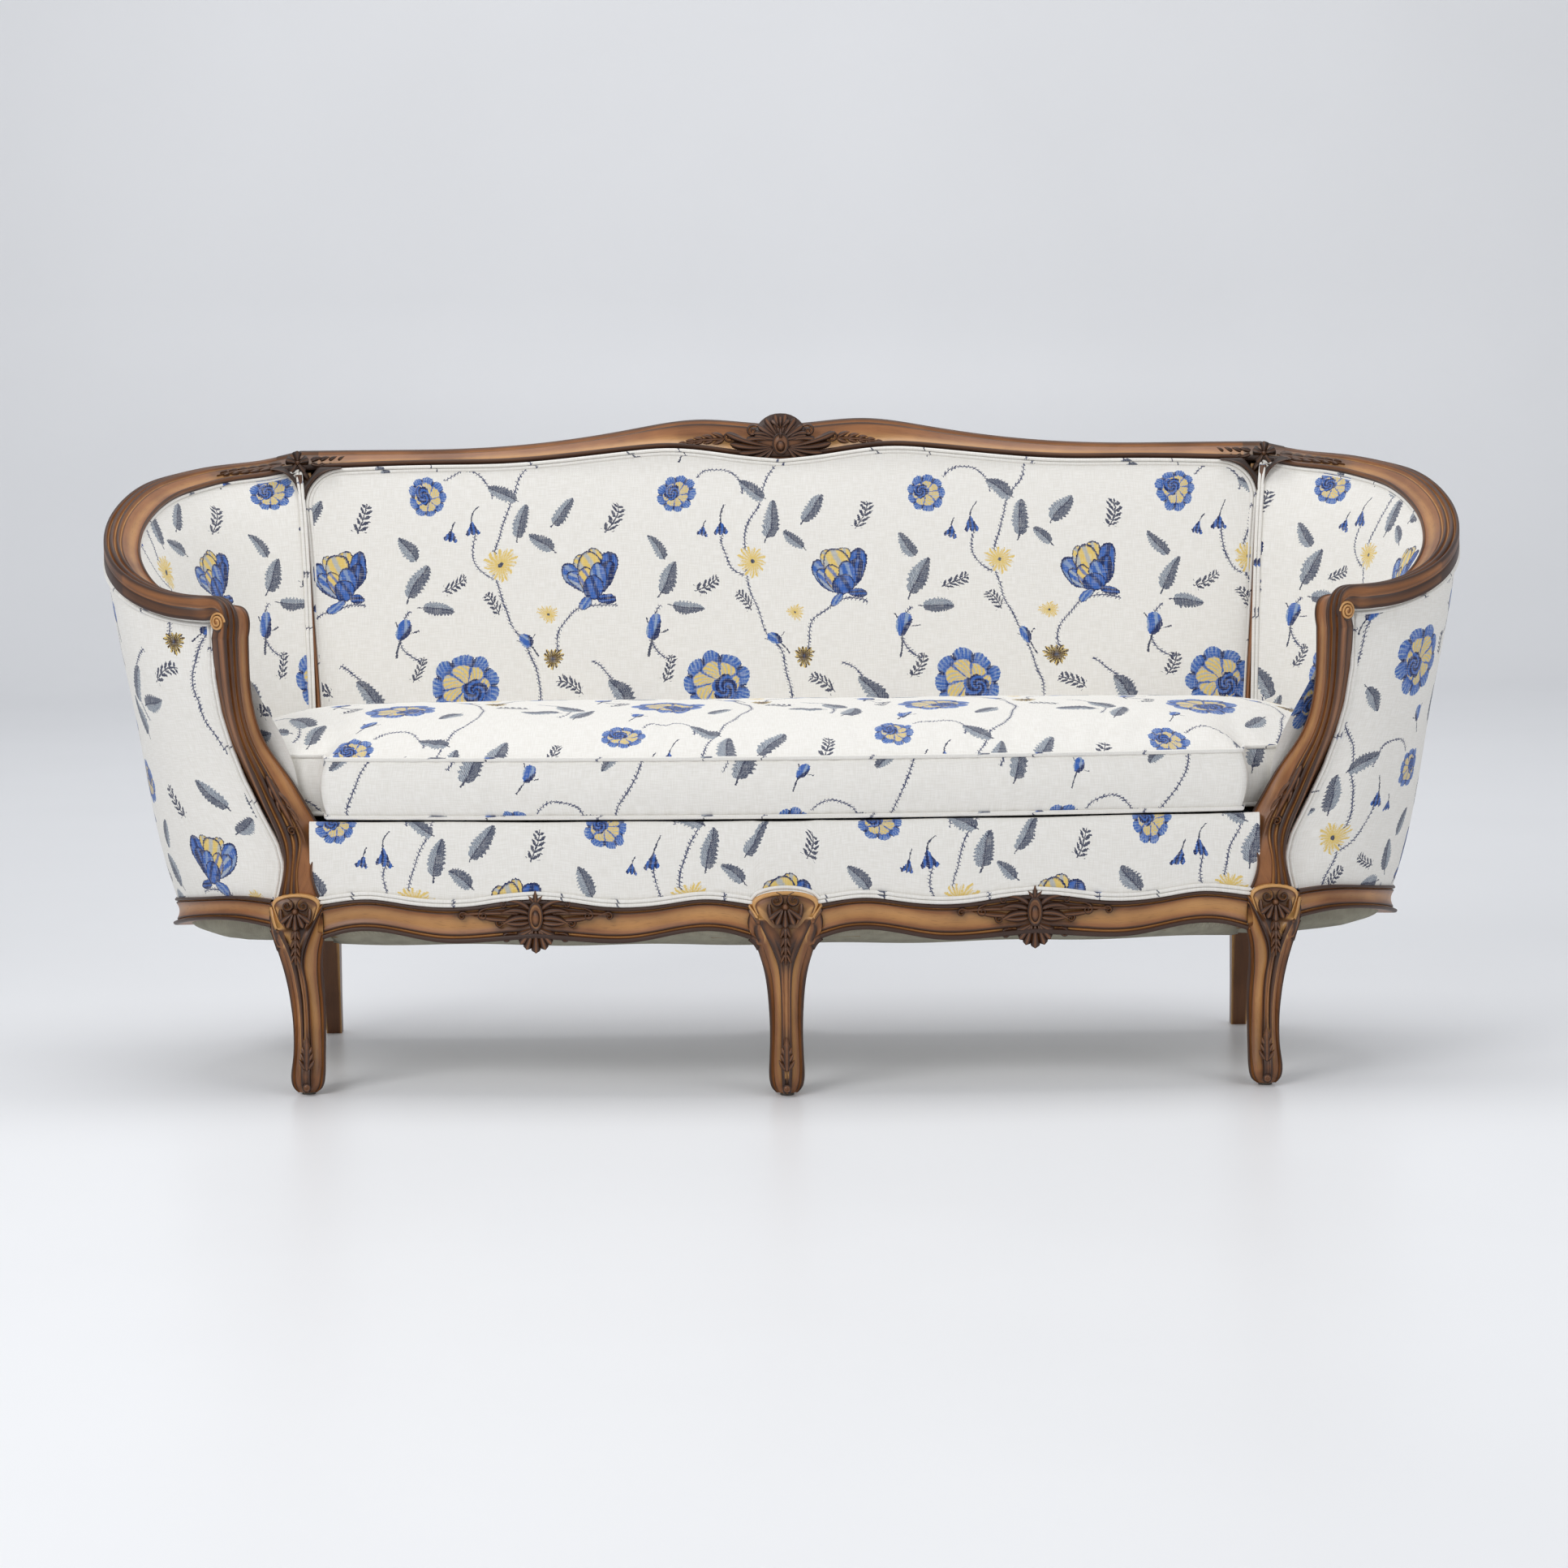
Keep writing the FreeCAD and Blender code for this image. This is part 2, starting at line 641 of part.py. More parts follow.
def front_rail():
    middle = (LEG_INNER_X + CENTRE_BLOCK_HALF) / 2
    half = (LEG_INNER_X - CENTRE_BLOCK_HALF) / 2
    wave = [(0, 8, 3), (0.15, 4.5, 0), (0.3, -1.5, -3), (0.45, -3, -2.5), (0.62, 1.5, 6), (0.78, 7, 12),
            (0.9, 4.5, 9), (1, 0, 0.5)]
    rows = [(-share, up, down) for share, up, down in wave[:0:-1]] + wave
    sections = []
    for share, up, down in rows:
        x = middle + half * share
        slope = 2 * FRONT_BOW * x / (LEG_INNER_X + 16) ** 2
        outward = Vector(0, -1, 0) if abs(share) == 1 else Vector(slope, -1, 0).normalize()
        top = SEAT_RAIL_TOP + up
        profile = seat_profile(top, SEAT_RAIL_BOTTOM + down)
        sections.append(section(Vector(x, front_y(x), top), outward, UP, profile))
    rail = skin(sections, 14)
    parts = [rail, cartouche(middle)]
    parts += [front_tenon(end, 0) for end in (CENTRE_BLOCK_HALF, LEG_INNER_X)]
    return fused(parts)


def front_tenon(x, margin):
    """The tongue of the front rail in a leg."""
    side = -1 if x == CENTRE_BLOCK_HALF else 1
    ends = sorted((x - side * 3, x + side * 0.8 * TENON_LENGTH))
    y = front_y(x) + SEAT_RAIL_DEPTH - TENON_THICKNESS - 6
    return grown((ends[0], y, UNDERSIDE_Z + 4), (ends[1], y + TENON_THICKNESS, LEDGE_Z - 5), margin)


def cartouche(x):
    """The carved middle of a front rail: a cabochon over a lobed fan between two volutes."""
    y = front_y(x)
    middle_z = (SEAT_RAIL_TOP + SEAT_RAIL_BOTTOM) / 2 + 8
    pieces = [cabochon(Vector(x, y, middle_z), 13, 19, 9)]
    count = 5
    for i in range(count):
        angle = math.radians(-150 + 120 * i / (count - 1))
        ray = Vector(math.cos(angle), 0, math.sin(angle))
        side = Vector(-math.sin(angle), 0, math.cos(angle))
        root = Vector(x, y + 4, middle_z - 10) + ray * 6
        tip = Vector(x, y + 4, middle_z - 10) + ray * 38
        sections = []
        for point, half, thick in ((root, 5, 6), (tip - ray * 8, 9, 9), (tip, 5, 4)):
            sections.append([point - side * half, point - Vector(0, thick, 0), point + side * half,
                             point + side * half + Vector(0, 10, 0), point - side * half + Vector(0, 10, 0)])
        pieces.append(skin(sections))
    for side in (-1, 1):
        for reach, drop, radius in ((34, 4, 8), (56, -6, 6.5)):
            centre = Vector(x + side * reach, y + 9, middle_z - drop)
            pieces.append(disc(centre, radius, 14, Vector(0, -1, 0)))
    return fused(pieces)


LEG_CORNER = (LEG_OUTER_X - 14, -2, SEAT_RAIL_TOP + 4)
SEAT_SIDE = (SEAT_HALF_WIDTH, SEAT_WIDEST_Y, SEAT_RAIL_TOP - 16)
POST_CORNER = (POST_SEAT_X + 10, SEAT_BACK_Y - 8, SEAT_RAIL_TOP)
SIDE = Curve([
    LEG_CORNER,
    blend(LEG_CORNER, SEAT_SIDE, 0.32, 0.12, -0.2),
    blend(LEG_CORNER, SEAT_SIDE, 0.52, 0.25, -0.05),
    blend(LEG_CORNER, SEAT_SIDE, 0.72, 0.44, 0.25),
    blend(LEG_CORNER, SEAT_SIDE, 0.93, 0.76, 0.7),
    SEAT_SIDE,
    blend(SEAT_SIDE, POST_CORNER, 0.13, 0.42, 0.3),
    blend(SEAT_SIDE, POST_CORNER, 0.50, 0.78, 0.7),
    POST_CORNER,
])


def side_rail():
    heights = [(0, 38), (0.2, 31), (0.4, 36), (0.55, 40), (0.75, 38), (1, 38)]
    sections = []
    for t in spread(0, 1, 9):
        point = SIDE.at(t)
        bottom = point.z - graph(heights, t)
        sections.append(section(point, -outward_of(SIDE.heading(t)), UP,
                                seat_profile(point.z, bottom, SIDE_LEDGE_Z)))
    rail = skin(sections)
    keep_zone = box((LEG_OUTER_X, -100, 0), (2 * HALF_WIDTH, 2 * BACK_Y, RAIL_TOP))
    rail = rail.common(keep_zone)
    return fused([rail, side_tenon(0)])


def side_tenon(margin):
    """The tongue of the side rail in the front leg."""
    y = 26
    low = (LEG_OUTER_X - TENON_LENGTH, y, UNDERSIDE_Z + 5)
    high = (LEG_OUTER_X + 20, y + 6, SIDE_LEDGE_Z - 2)
    return grown(low, high, margin)


def back_rail():
    """Half of the seat's back rail, from the centre leg to the corner post."""
    inner = STRETCHER_WIDTH / 2
    outer = POST_SEAT_X - POST_SIZE / 2
    rail = box((inner, SEAT_BACK_Y - 26, UNDERSIDE_Z), (outer, SEAT_BACK_Y, SEAT_RAIL_TOP))
    return fused([rail] + [back_tenon(end, 0) for end in (inner, outer)])


def back_tenon(x, margin):
    side = -1 if x < POST_SEAT_X / 2 else 1
    length = 0.3 * STRETCHER_WIDTH
    ends = sorted((x, x + side * length))
    middle = SEAT_BACK_Y - 13
    return grown((ends[0], middle - TENON_THICKNESS / 2, UNDERSIDE_Z + 8),
                 (ends[1], middle + TENON_THICKNESS / 2, SEAT_RAIL_TOP - 8), margin)


def seat_stretcher():
    """The cross rail under the middle of the seat."""
    half = STRETCHER_WIDTH / 2
    front = front_y(0) + LEG_BLOCK_DEPTH
    back = SEAT_BACK_Y - STRETCHER_WIDTH
    return box((-half, front, UNDERSIDE_Z), (half, back, LEDGE_Z - 8))


# Legs

def leg_section(x, y, z, half, deep):
    """A leg in plan, with a raised line down its front."""
    shape = [(-1, -0.3), (-0.6, -0.82), (-0.16, -0.9), (0, -1), (0.16, -0.9), (0.6, -0.82), (1, -0.3),
             (1, 0.45), (0.55, 1), (-0.55, 1), (-1, 0.45)]
    return [Vector(x + half * u, y + deep * v, z) for u, v in shape]


def cabriole_leg(x, y, rows):
    sections = [leg_section(x + shift, y + ahead, z, half, deep) for z, shift, half, ahead, deep in rows]
    return skin(sections, 12)


def front_leg():
    """Corner leg: a block for the rails over a knee, an ankle and a scrolled toe."""
    middle = (LEG_INNER_X + LEG_OUTER_X) / 2
    rows = [(GLIDE_HEIGHT, -11, 13, -3, 13), (9, -10, 17.5, -4, 18), (TOE_Z, -11, 21.5, -4, 21.5),
            (2 * TOE_Z, -13, 21, 1, 19.5), (0.65 * ANKLE_Z, -14, 20, 7, 18), (ANKLE_Z, -12, 20, 11, 18.5),
            (0.5 * (ANKLE_Z + KNEE_Z), -8.5, 22.5, 8, 22), (0.9 * KNEE_Z, -6.5, 26, 6, 27),
            (KNEE_Z, -6, 27.5, 8, 30), (KNEE_Z + 16, -2, 31.5, 11, 30), (KNEE_Z + 32, 0, 33.5, 13, 28)]
    leg = cabriole_leg(middle, 0, rows)
    block = box((LEG_INNER_X, -2, KNEE_Z + 2), (LEG_OUTER_X, -2 + LEG_BLOCK_DEPTH, SEAT_RAIL_TOP))
    boss = disc(Vector(middle - 10, -20, TOE_Z - 2), 6, 8, Vector(0, -1, 0))
    shield = knee_shield(middle - 3, -14)
    leg = fused([leg, block, shield, boss])
    leg = leg.cut(front_tenon(LEG_INNER_X, TENON_FIT))
    return leg.cut(side_tenon(TENON_FIT))


def front_leg_centre():
    """Middle leg under the bow of the front."""
    y = front_y(0)
    rows = [(GLIDE_HEIGHT, 0, 13.5, -1, 13), (9, 0, 18, -2, 18), (TOE_Z, 0, 21.5, -3, 21.5),
            (2 * TOE_Z, 0, 21.5, 1, 19.5), (0.8 * ANKLE_Z, 0, 20, 7, 18), (1.25 * ANKLE_Z, 0, 23, 8, 20),
            (0.82 * KNEE_Z, 0, 27.5, 8, 24), (0.9 * KNEE_Z, 0, 31, 8, 27), (KNEE_Z - 5, 0, 37, 9, 28),
            (KNEE_Z + 9, 0, 43.5, 11, 29), (KNEE_Z + 32, 0, 43.5, 13, 28)]
    leg = cabriole_leg(0, y, rows)
    block = box((-CENTRE_BLOCK_HALF, y, KNEE_Z + 2), (CENTRE_BLOCK_HALF, y + LEG_BLOCK_DEPTH, LEDGE_Z))
    lip = box((-CENTRE_BLOCK_HALF, y, LEDGE_Z), (CENTRE_BLOCK_HALF, y + SEAT_RAIL_LIP, SEAT_RAIL_TOP))
    leg = fused([leg, block, lip, knee_shield(0, y - 12)])
    for margin in (front_tenon(CENTRE_BLOCK_HALF, TENON_FIT), mirrored(front_tenon(CENTRE_BLOCK_HALF, TENON_FIT))):
        leg = leg.cut(margin)
    return leg


def knee_shield(x, y):
    """Raised cartouche on a knee: a cabochon between two C-scrolls."""
    z = SEAT_RAIL_TOP - 18
    pieces = [cabochon(Vector(x, y, z), 11, 20, 8)]
    for side in (-1, 1):
        pieces.append(disc(Vector(x + side * 18, y + 16, z + 4), 9, 19, Vector(0, -1, 0)))
        pieces.append(disc(Vector(x + side * 13, y + 16, z - 15), 6, 17, Vector(0, -1, 0)))
    return fused(pieces)


def rear_leg_centre():
    """Plain tapered leg behind the middle of the seat."""
    half = STRETCHER_WIDTH / 2
    sections = []
    for z, size, back in ((0, 0.5, 12), (0.5 * UNDERSIDE_Z, 0.72, 4), (UNDERSIDE_Z, 1, 0), (LEDGE_Z, 1, 0)):
        low = -half * size
        y = SEAT_BACK_Y - half + back
        sections.append([Vector(low, y + low, z), Vector(-low, y + low, z), Vector(-low, y - low, z),
                         Vector(low, y - low, z)])
    leg = skin(sections)
    tenon = back_tenon(STRETCHER_WIDTH / 2, TENON_FIT)
    return leg.cut(tenon).cut(mirrored(tenon))


def foot_glides():
    """Round metal glides under the three front feet."""
    middle = (LEG_INNER_X + LEG_OUTER_X) / 2 - 11
    feet = [(-middle, -3), (0, front_y(0) - 1), (middle, -3)]
    corners = spread(0, 2 * math.pi, 13)[:-1]
    glides = []
    for x, y in feet:
        rim = [Vector(x + GLIDE_RADIUS * math.cos(angle), y + GLIDE_RADIUS * math.sin(angle), 0) for angle in corners]
        glides.append(prism(rim, GLIDE_HEIGHT))
    return Part.makeCompound(glides)


# Upholstery

def back_front(x, z):
    """Front face of the inner back, between the parting ridges."""
    ridge = ridge_front(z)
    bow = (BACK_BOW - 4) * (1 - (x / ridge.x) ** 2)
    return ridge.y + bow


def inner_back_panel():
    """Padded panel between the parting ridges, with rounded upper corners."""
    radius = CENTRE_CORNER_RADIUS
    shares = [0, 0.25, 0.5, 0.7, 0.85, 0.915, 0.945, 0.97, 1]
    right = []
    for share in shares:
        half = ridge_front(RAIL_TOP - RAIL_FACE - 10).x - RIDGE_WIDTH / 2 - CLEARANCE
        top_x = share * half
        t = CREST.find(0, min(top_x, CORNER_X - CORNER_INNER))
        inside = max(0.0, top_x - (half - radius))
        fall = radius - math.sqrt(max(radius ** 2 - inside ** 2, 0.0))
        top = CREST.at(t).z - crest_face(min(top_x, CORNER_X - CORNER_INNER)) - CLEARANCE - 1 - fall
        column = []
        for z in (PANEL_BOTTOM, DECK_TOP + 20, 0.7 * DECK_TOP + 0.3 * top, 0.35 * DECK_TOP + 0.65 * top, top):
            edge = ridge_front(z).x - RIDGE_WIDTH / 2 - CLEARANCE
            x = share * edge
            column.append(Vector(x, back_front(x, z), z))
        back = []
        beside_post = share > 0.95
        pads = (INNER_PAD_TOP, 0.7 * INNER_PAD, 0.9 * INNER_PAD, INNER_PAD, INNER_PAD)
        for point, pad in zip(column[::-1], pads):
            if beside_post:
                pad = RIDGE_DEPTH - 2 * CLEARANCE
            back.append(point + Vector(0, pad, 0))
        right.append(column + back)
    left = [[Vector(-p.x, p.y, p.z) for p in column] for column in right[:0:-1]]
    return skin(left + right, flat_ends=False)


def inner_side_curve():
    """Inner face of the side panel at the seat, from the parting ridge to the arm support."""
    ridge = ridge_front(DECK_TOP)
    start = (ridge.x + RIDGE_WIDTH / 2 + 1, ridge.y + 2, 0)
    widest = (SIDE_INNER_X, SEAT_WIDEST_Y, 0)
    end = (LEG_INNER_X + 36, LEG_BLOCK_DEPTH - 8, 0)
    return Curve([start, blend(start, widest, 0.42, 0.16, 0), blend(start, widest, 0.86, 0.52, 0), widest,
                  blend(widest, end, 0.25, 0.6, 0), blend(widest, end, 0.62, 0.88, 0), end])


def side_stations(count):
    """Matching places on the wing rail and on the seat, from the post to the arm support."""
    return [(CORNER_SEAM * 0.3 + (0.985 - CORNER_SEAM * 0.3) * s, s) for s in spread(0, 1, count)]


def sideways(direction):
    """The same direction without a part that leans forwards, so that a pad stays behind the arm support."""
    return Vector(direction.x, max(direction.y, 0), 0).normalize()


def inner_side_panel():
    """Padded lining of the wing and arm."""
    curve = inner_side_curve()
    sections = []
    for t, s in side_stations(10):
        out = outward_of(WING.heading(t))
        rail = WING.at(t) + out * (1.5 - RAIL_WIDTH) - UP * (RAIL_FACE + 1 + CLEARANCE)
        out = sideways(out)
        low_out = sideways(outward_of(curve.heading(s)))
        seat = curve.at(s)
        bottom = seat + UP * PANEL_BOTTOM
        shoulder = seat + UP * (DECK_TOP + 70) + low_out * 3
        middle = (shoulder + rail) * 0.5 - (out + low_out) * 3
        face = [bottom, shoulder, middle, rail]
        pads = [INNER_PAD - 4, INNER_PAD - 4, 26, INNER_PAD_TOP]
        outs = [low_out, low_out, (out + low_out).normalize(), out]
        if s == 0:
            pads = [RIDGE_DEPTH - 2 * CLEARANCE - 2] * 4
            outs = [Vector(0, 1, 0)] * 4
        back = [point + way * pad for point, pad, way in zip(face, pads, outs)]
        sections.append(face + back[::-1])
    return skin(sections, flat_ends=False)


def outer_side_panel():
    """Cloth over the outside of the wing and arm, between the arm rail and the seat rail."""
    sections = []
    first = SIDE.find(0, LEG_OUTER_X + 9, 0, 0.2)
    last = SIDE.find(0, LEG_OUTER_X + 4, 0.8, 1)
    for t, s in side_stations(10):
        out = outward_of(WING.heading(t))
        rail = WING.at(t) - out * 1 - UP * (RAIL_BAND + 1)
        if s == 0:
            rail += Vector(4, 0, 0)
        q = last + (first - last) * s
        low_out = -outward_of(SIDE.heading(q))
        seat = SIDE.at(q) - low_out * (SEAT_RAIL_LIP + 2)
        seat.z = SIDE_LEDGE_Z + CLEARANCE
        lip = seat + UP * 22 + low_out * 2
        middle = (lip + rail) * 0.5 + (out + low_out) * 6
        face = [seat, lip, middle, rail]
        outs = [low_out, low_out, (out + low_out).normalize(), out]
        back = [point - way * OUTER_PANEL for point, way in zip(face, outs)]
        sections.append(face + back[::-1])
    return skin(sections, flat_ends=False)


def outer_back_panel():
    """Cloth over the back of the sofa."""
    sections = []
    half = POST_SEAT_X + POST_SIZE / 2 + OUTER_PANEL
    for x in spread(-half, half, 21):
        rail_x = x * (CORNER_X + 0.4 * POST_SIZE) / half
        t = CREST.find(0, min(abs(rail_x), CORNER_X - CORNER_INNER))
        top = CREST.at(t)
        high = top.z - RAIL_BAND - 1
        points = [Vector(x, SEAT_BACK_Y + CLEARANCE, SEAT_RAIL_TOP - 20),
                  Vector(rail_x, top.y - 1 - OUTER_PANEL, high)]
        back = [point + Vector(0, OUTER_PANEL, 0) for point in points]
        sections.append(points + back[::-1])
    return skin(sections)


def deck_outline(inset):
    """Plan of the seat deck on the right side, from the middle of the front round to the back."""
    front = SEAT_RAIL_LIP + 4 * CLEARANCE + inset
    points = []
    for x in spread(0, LEG_INNER_X - 2, 6):
        points.append(Vector(min(x, LEG_INNER_X - 2 - inset), front_y(x) + front, 0))
    points.append(Vector(LEG_INNER_X - 2 - inset, LEG_BLOCK_DEPTH + 2 + inset, 0))
    curve = inner_side_curve()
    for s in spread(0.96, 0.03, 8):
        points.append(curve.at(s) - outward_of(curve.heading(s)) * (CLEARANCE + 2.5 + inset))
    for x in (0.66, 0.33, 0):
        edge = x * (ridge_front(PANEL_BOTTOM).x)
        points.append(Vector(edge, back_front(edge, PANEL_BOTTOM) - CLEARANCE - 0.7 - inset, 0))
    return points


def full_outline(right):
    """The right side and its mirror image, as one closed outline."""
    left = [Vector(-point.x, point.y, point.z) for point in right[-2:0:-1]]
    return right + left


def raised(points, z):
    return [Vector(point.x, point.y, z) for point in points]


def seat_deck():
    """Stuffed top and borders of the seat, hollow over the springs."""
    outer = prism(raised(full_outline(deck_outline(0)), LEDGE_Z + CLEARANCE), DECK_TOP - LEDGE_Z - CLEARANCE)
    hollow = prism(raised(full_outline(deck_outline(DECK_BORDER)), LEDGE_Z - 1), DECK_TOP - DECK_PAD - LEDGE_Z + 1)
    return outer.cut(hollow)


def cushion_outline(inset):
    points = []
    for x in spread(0, LEG_INNER_X - 8, 6):
        points.append(Vector(x, front_y(x) + CUSHION_OVERHANG + inset, 0))
    points.append(Vector(LEG_INNER_X - 2 - inset, LEG_BLOCK_DEPTH + inset, 0))
    curve = inner_side_curve()
    for s in spread(0.88, 0.05, 8):
        points.append(curve.at(s) - outward_of(curve.heading(s)) * (4 + inset))
    for share in (0.66, 0.33, 0):
        edge = share * ridge_front(DECK_TOP).x
        points.append(Vector(edge, back_front(edge, DECK_TOP) - 4 - inset, 0))
    return points


def seat_cushion():
    """The loose cushion, boxed at its sides and domed on top."""
    sections = []
    for z, inset in ((CUSHION_BOTTOM, 14), (CUSHION_BOTTOM + 14, 0), (CUSHION_SEAM, 0),
                     (CUSHION_SEAM + 22, 26), (CUSHION_CROWN - 10, 62), (CUSHION_CROWN, 110)):
        sections.append(raised(full_outline(cushion_outline(inset)), z))
    return skin(sections)


# Inside of the seat and back

def web_places():
    """Middles of the straps that run from front to back, on the right side."""
    first = CENTRE_BLOCK_HALF + WEB_WIDTH / 2 + 2
    last = POST_SEAT_X - POST_SIZE / 2 - 60
    return spread(first, last, WEBS_DEEP // 2)


def seat_webbing():
    """Straps under the seat frame, the long ones below the short ones."""
    straps = []
    low = UNDERSIDE_Z - 2 * WEB_THICKNESS - 2 * CLEARANCE
    for y in spread(110, SEAT_BACK_Y - 110, WEBS_ACROSS):
        reach = SIDE_INNER_X - 2 * abs(y - SEAT_WIDEST_Y) / 5
        straps.append(box((-reach, y - WEB_WIDTH / 2, low), (reach, y + WEB_WIDTH / 2, low + WEB_THICKNESS)))
    for x in web_places():
        start = front_y(x + WEB_WIDTH / 2) + 17
        strap = box((x - WEB_WIDTH / 2, start, UNDERSIDE_Z - WEB_THICKNESS - CLEARANCE / 2),
                    (x + WEB_WIDTH / 2, SEAT_BACK_Y - 4, UNDERSIDE_Z - CLEARANCE / 2))
        straps += [strap, mirrored(strap)]
    return Part.makeCompound(straps)


def spring(x, y):
    """One coil spring on the webbing, narrowest at its middle."""
    low = UNDERSIDE_Z + SPRING_WIRE / 2
    high = DECK_TOP - DECK_PAD - SPRING_WIRE / 2
    sides = 5
    count = SPRING_TURNS * sides
    points = []
    for i in range(count + 1):
        share = i / count
        radius = SPRING_RADIUS * (0.68 + 0.32 * (2 * share - 1) ** 2)
        angle = 2 * math.pi * i / sides
        points.append(Vector(x + radius * math.cos(angle), y + radius * math.sin(angle), low + (high - low) * share))
    half = SPRING_WIRE / 2
    sections = []
    for i, point in enumerate(points):
        angle = 2 * math.pi * i / sides
        ray = Vector(math.cos(angle), math.sin(angle), 0)
        sections.append([point + ray * half, point - ray * half * 0.7 + UP * half,
                         point - ray * half * 0.7 - UP * half])
    return skin(sections)


def seat_springs():
    springs = []
    rows = spread(LEG_BLOCK_DEPTH + 80, SEAT_BACK_Y - 150, SPRING_ROWS)
    for y in rows:
        for x in web_places()[::2][:SPRING_PAIRS]:
            coil = spring(x, y)
            springs += [coil, mirrored(coil)]
    return Part.makeCompound(springs)


def dust_cover():
    """Cloth under the seat, sagging below the rails."""
    def outline(inset):
        points = [Vector(x, front_y(x) + 14 + inset, 0) for x in spread(0, LEG_INNER_X - 8, 4)]
        points = [Vector(min(p.x, LEG_INNER_X - 8 - inset), p.y, 0) for p in points]
        points.append(Vector(LEG_INNER_X - 8 - inset, LEG_BLOCK_DEPTH + 2 + inset, 0))
        points.append(Vector(LEG_OUTER_X + 10 - inset, LEG_BLOCK_DEPTH + 2 + inset, 0))
        for q in (0.3, 0.5, 0.68):
            way = -outward_of(SIDE.heading(q))
            points.append(SIDE.at(q) - way * (16 + inset))
        points.append(Vector(POST_SEAT_X + POST_SIZE / 2 + 4 - inset * 0.5, POST_SEAT_Y - POST_SIZE / 2 - 4 - inset, 0))
        points.append(Vector(POST_SEAT_X - POST_SIZE / 2 - 4 - inset, POST_SEAT_Y - POST_SIZE / 2 - 4 - inset, 0))
        points.append(Vector(0, SEAT_BACK_Y - 46 - inset, 0))
        return full_outline(points)

    top = UNDERSIDE_Z - 2 * WEB_THICKNESS - 3 * CLEARANCE
    low = top - DUST_COVER_DROP
    outside = skin([raised(outline(0), top), raised(outline(DUST_COVER_SLOPE), low)])
    inside = skin([raised(outline(6), top + 0.1), raised(outline(DUST_COVER_SLOPE + 6), low + CLOTH)])
    round_leg = box((1 - CENTRE_BLOCK_HALF, 2 * front_y(0), low - 1),
                    (CENTRE_BLOCK_HALF - 1, front_y(0) + LEG_BLOCK_DEPTH, top + 1))
    return outside.cut(inside).cut(round_leg)


def corner_braces():
    """Glued blocks in the corners of the seat frame."""
    low = UNDERSIDE_Z
    high = LEDGE_Z - 8
    front = LEG_BLOCK_DEPTH - 2
    leg = [Vector(LEG_INNER_X, front, low), Vector(LEG_INNER_X + 60, front, low),
           Vector(LEG_INNER_X + 60, front + 16, low), Vector(LEG_INNER_X + 10, front + 16, low)]
    back = SEAT_BACK_Y - 26
    inner = POST_SEAT_X - POST_SIZE / 2 - CLEARANCE
    post = [Vector(inner, back, low), Vector(inner - 70, back, low), Vector(inner - 70, back - 16, low),
            Vector(inner, back - 60, low)]
    shapes = [prism(leg, high - low), prism(post, high - low)]
    return Part.makeCompound(shapes + [mirrored(shape) for shape in shapes])


def back_tack_rail():
    """Hidden rail behind the foot of the inner back."""
    inner = POST.at(POST.find(2, PANEL_BOTTOM)).x - POST_SIZE / 2
    y = back_front(0, PANEL_BOTTOM) + INNER_PAD + 3
    low = PANEL_BOTTOM - 10
    return box((-inner, y, low), (inner, y + TACK_RAIL_THICKNESS, low + TACK_RAIL_HEIGHT))


# Files

OVERALL_FRONT = front_y(0) - KNEE_SWELL
OVERALL_BACK = BACK_Y + BAND_SWELL
MIDDLE_Y = (OVERALL_FRONT + OVERALL_BACK) / 2


def save(name, shape):
    """Places a piece so that the origin is on the floor under the middle of the sofa, and writes it."""
    placed = shape.copy()
    placed.translate(Vector(0, -MIDDLE_Y, 0))
    if not placed.isValid():
        print("not valid:", name)
    placed.exportStep("parts/" + name + ".step")


def save_pair(name, shape):
    save(name + "_right", shape)
    save(name + "_left", mirrored(shape))


def main():
    os.makedirs("parts", exist_ok=True)
    crest = crest_rail()
    post = rear_post()
    wing = fitted(wing_rail(), [post])
    arm = arm_rail()
    support = arm_support()
    leg = front_leg()
    rail = side_rail()
    save("crest_rail", crest)
    save_pair("rear_post", post)
    save_pair("wing_rail", wing)
    save_pair("arm_rail", arm)
    save_pair("arm_support", support)
    save_pair("front_leg", leg)
    save("front_leg_centre", front_leg_centre())
    save_pair("front_rail", front_rail())
    save_pair("side_rail", fitted(rail, [post]))
    save_pair("back_rail", fitted(back_rail(), [post]))
    save("rear_leg_centre", rear_leg_centre())
    save("seat_stretcher", seat_stretcher())
    save("corner_braces", corner_braces())
    save("back_tack_rail", back_tack_rail())
    save("foot_glides", foot_glides())
    both_posts = [post, mirrored(post)]
    save("inner_back_panel", fitted(inner_back_panel(), both_posts + [crest]))
    save_pair("inner_side_panel", fitted(inner_side_panel(), [post, support, arm]))
    save("outer_back_panel", fitted(outer_back_panel(), both_posts + [crest]))
    save_pair("outer_side_panel", fitted(outer_side_panel(), [post, rail, wing, arm, leg]))
    save("seat_deck", seat_deck())
    save("seat_cushion", seat_cushion())
    save("seat_webbing", seat_webbing())
    save("seat_springs", seat_springs())
    save("dust_cover", dust_cover())


main()
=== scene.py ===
import bpy
import json
import math
import numpy as np
from mathutils import Matrix, Vector

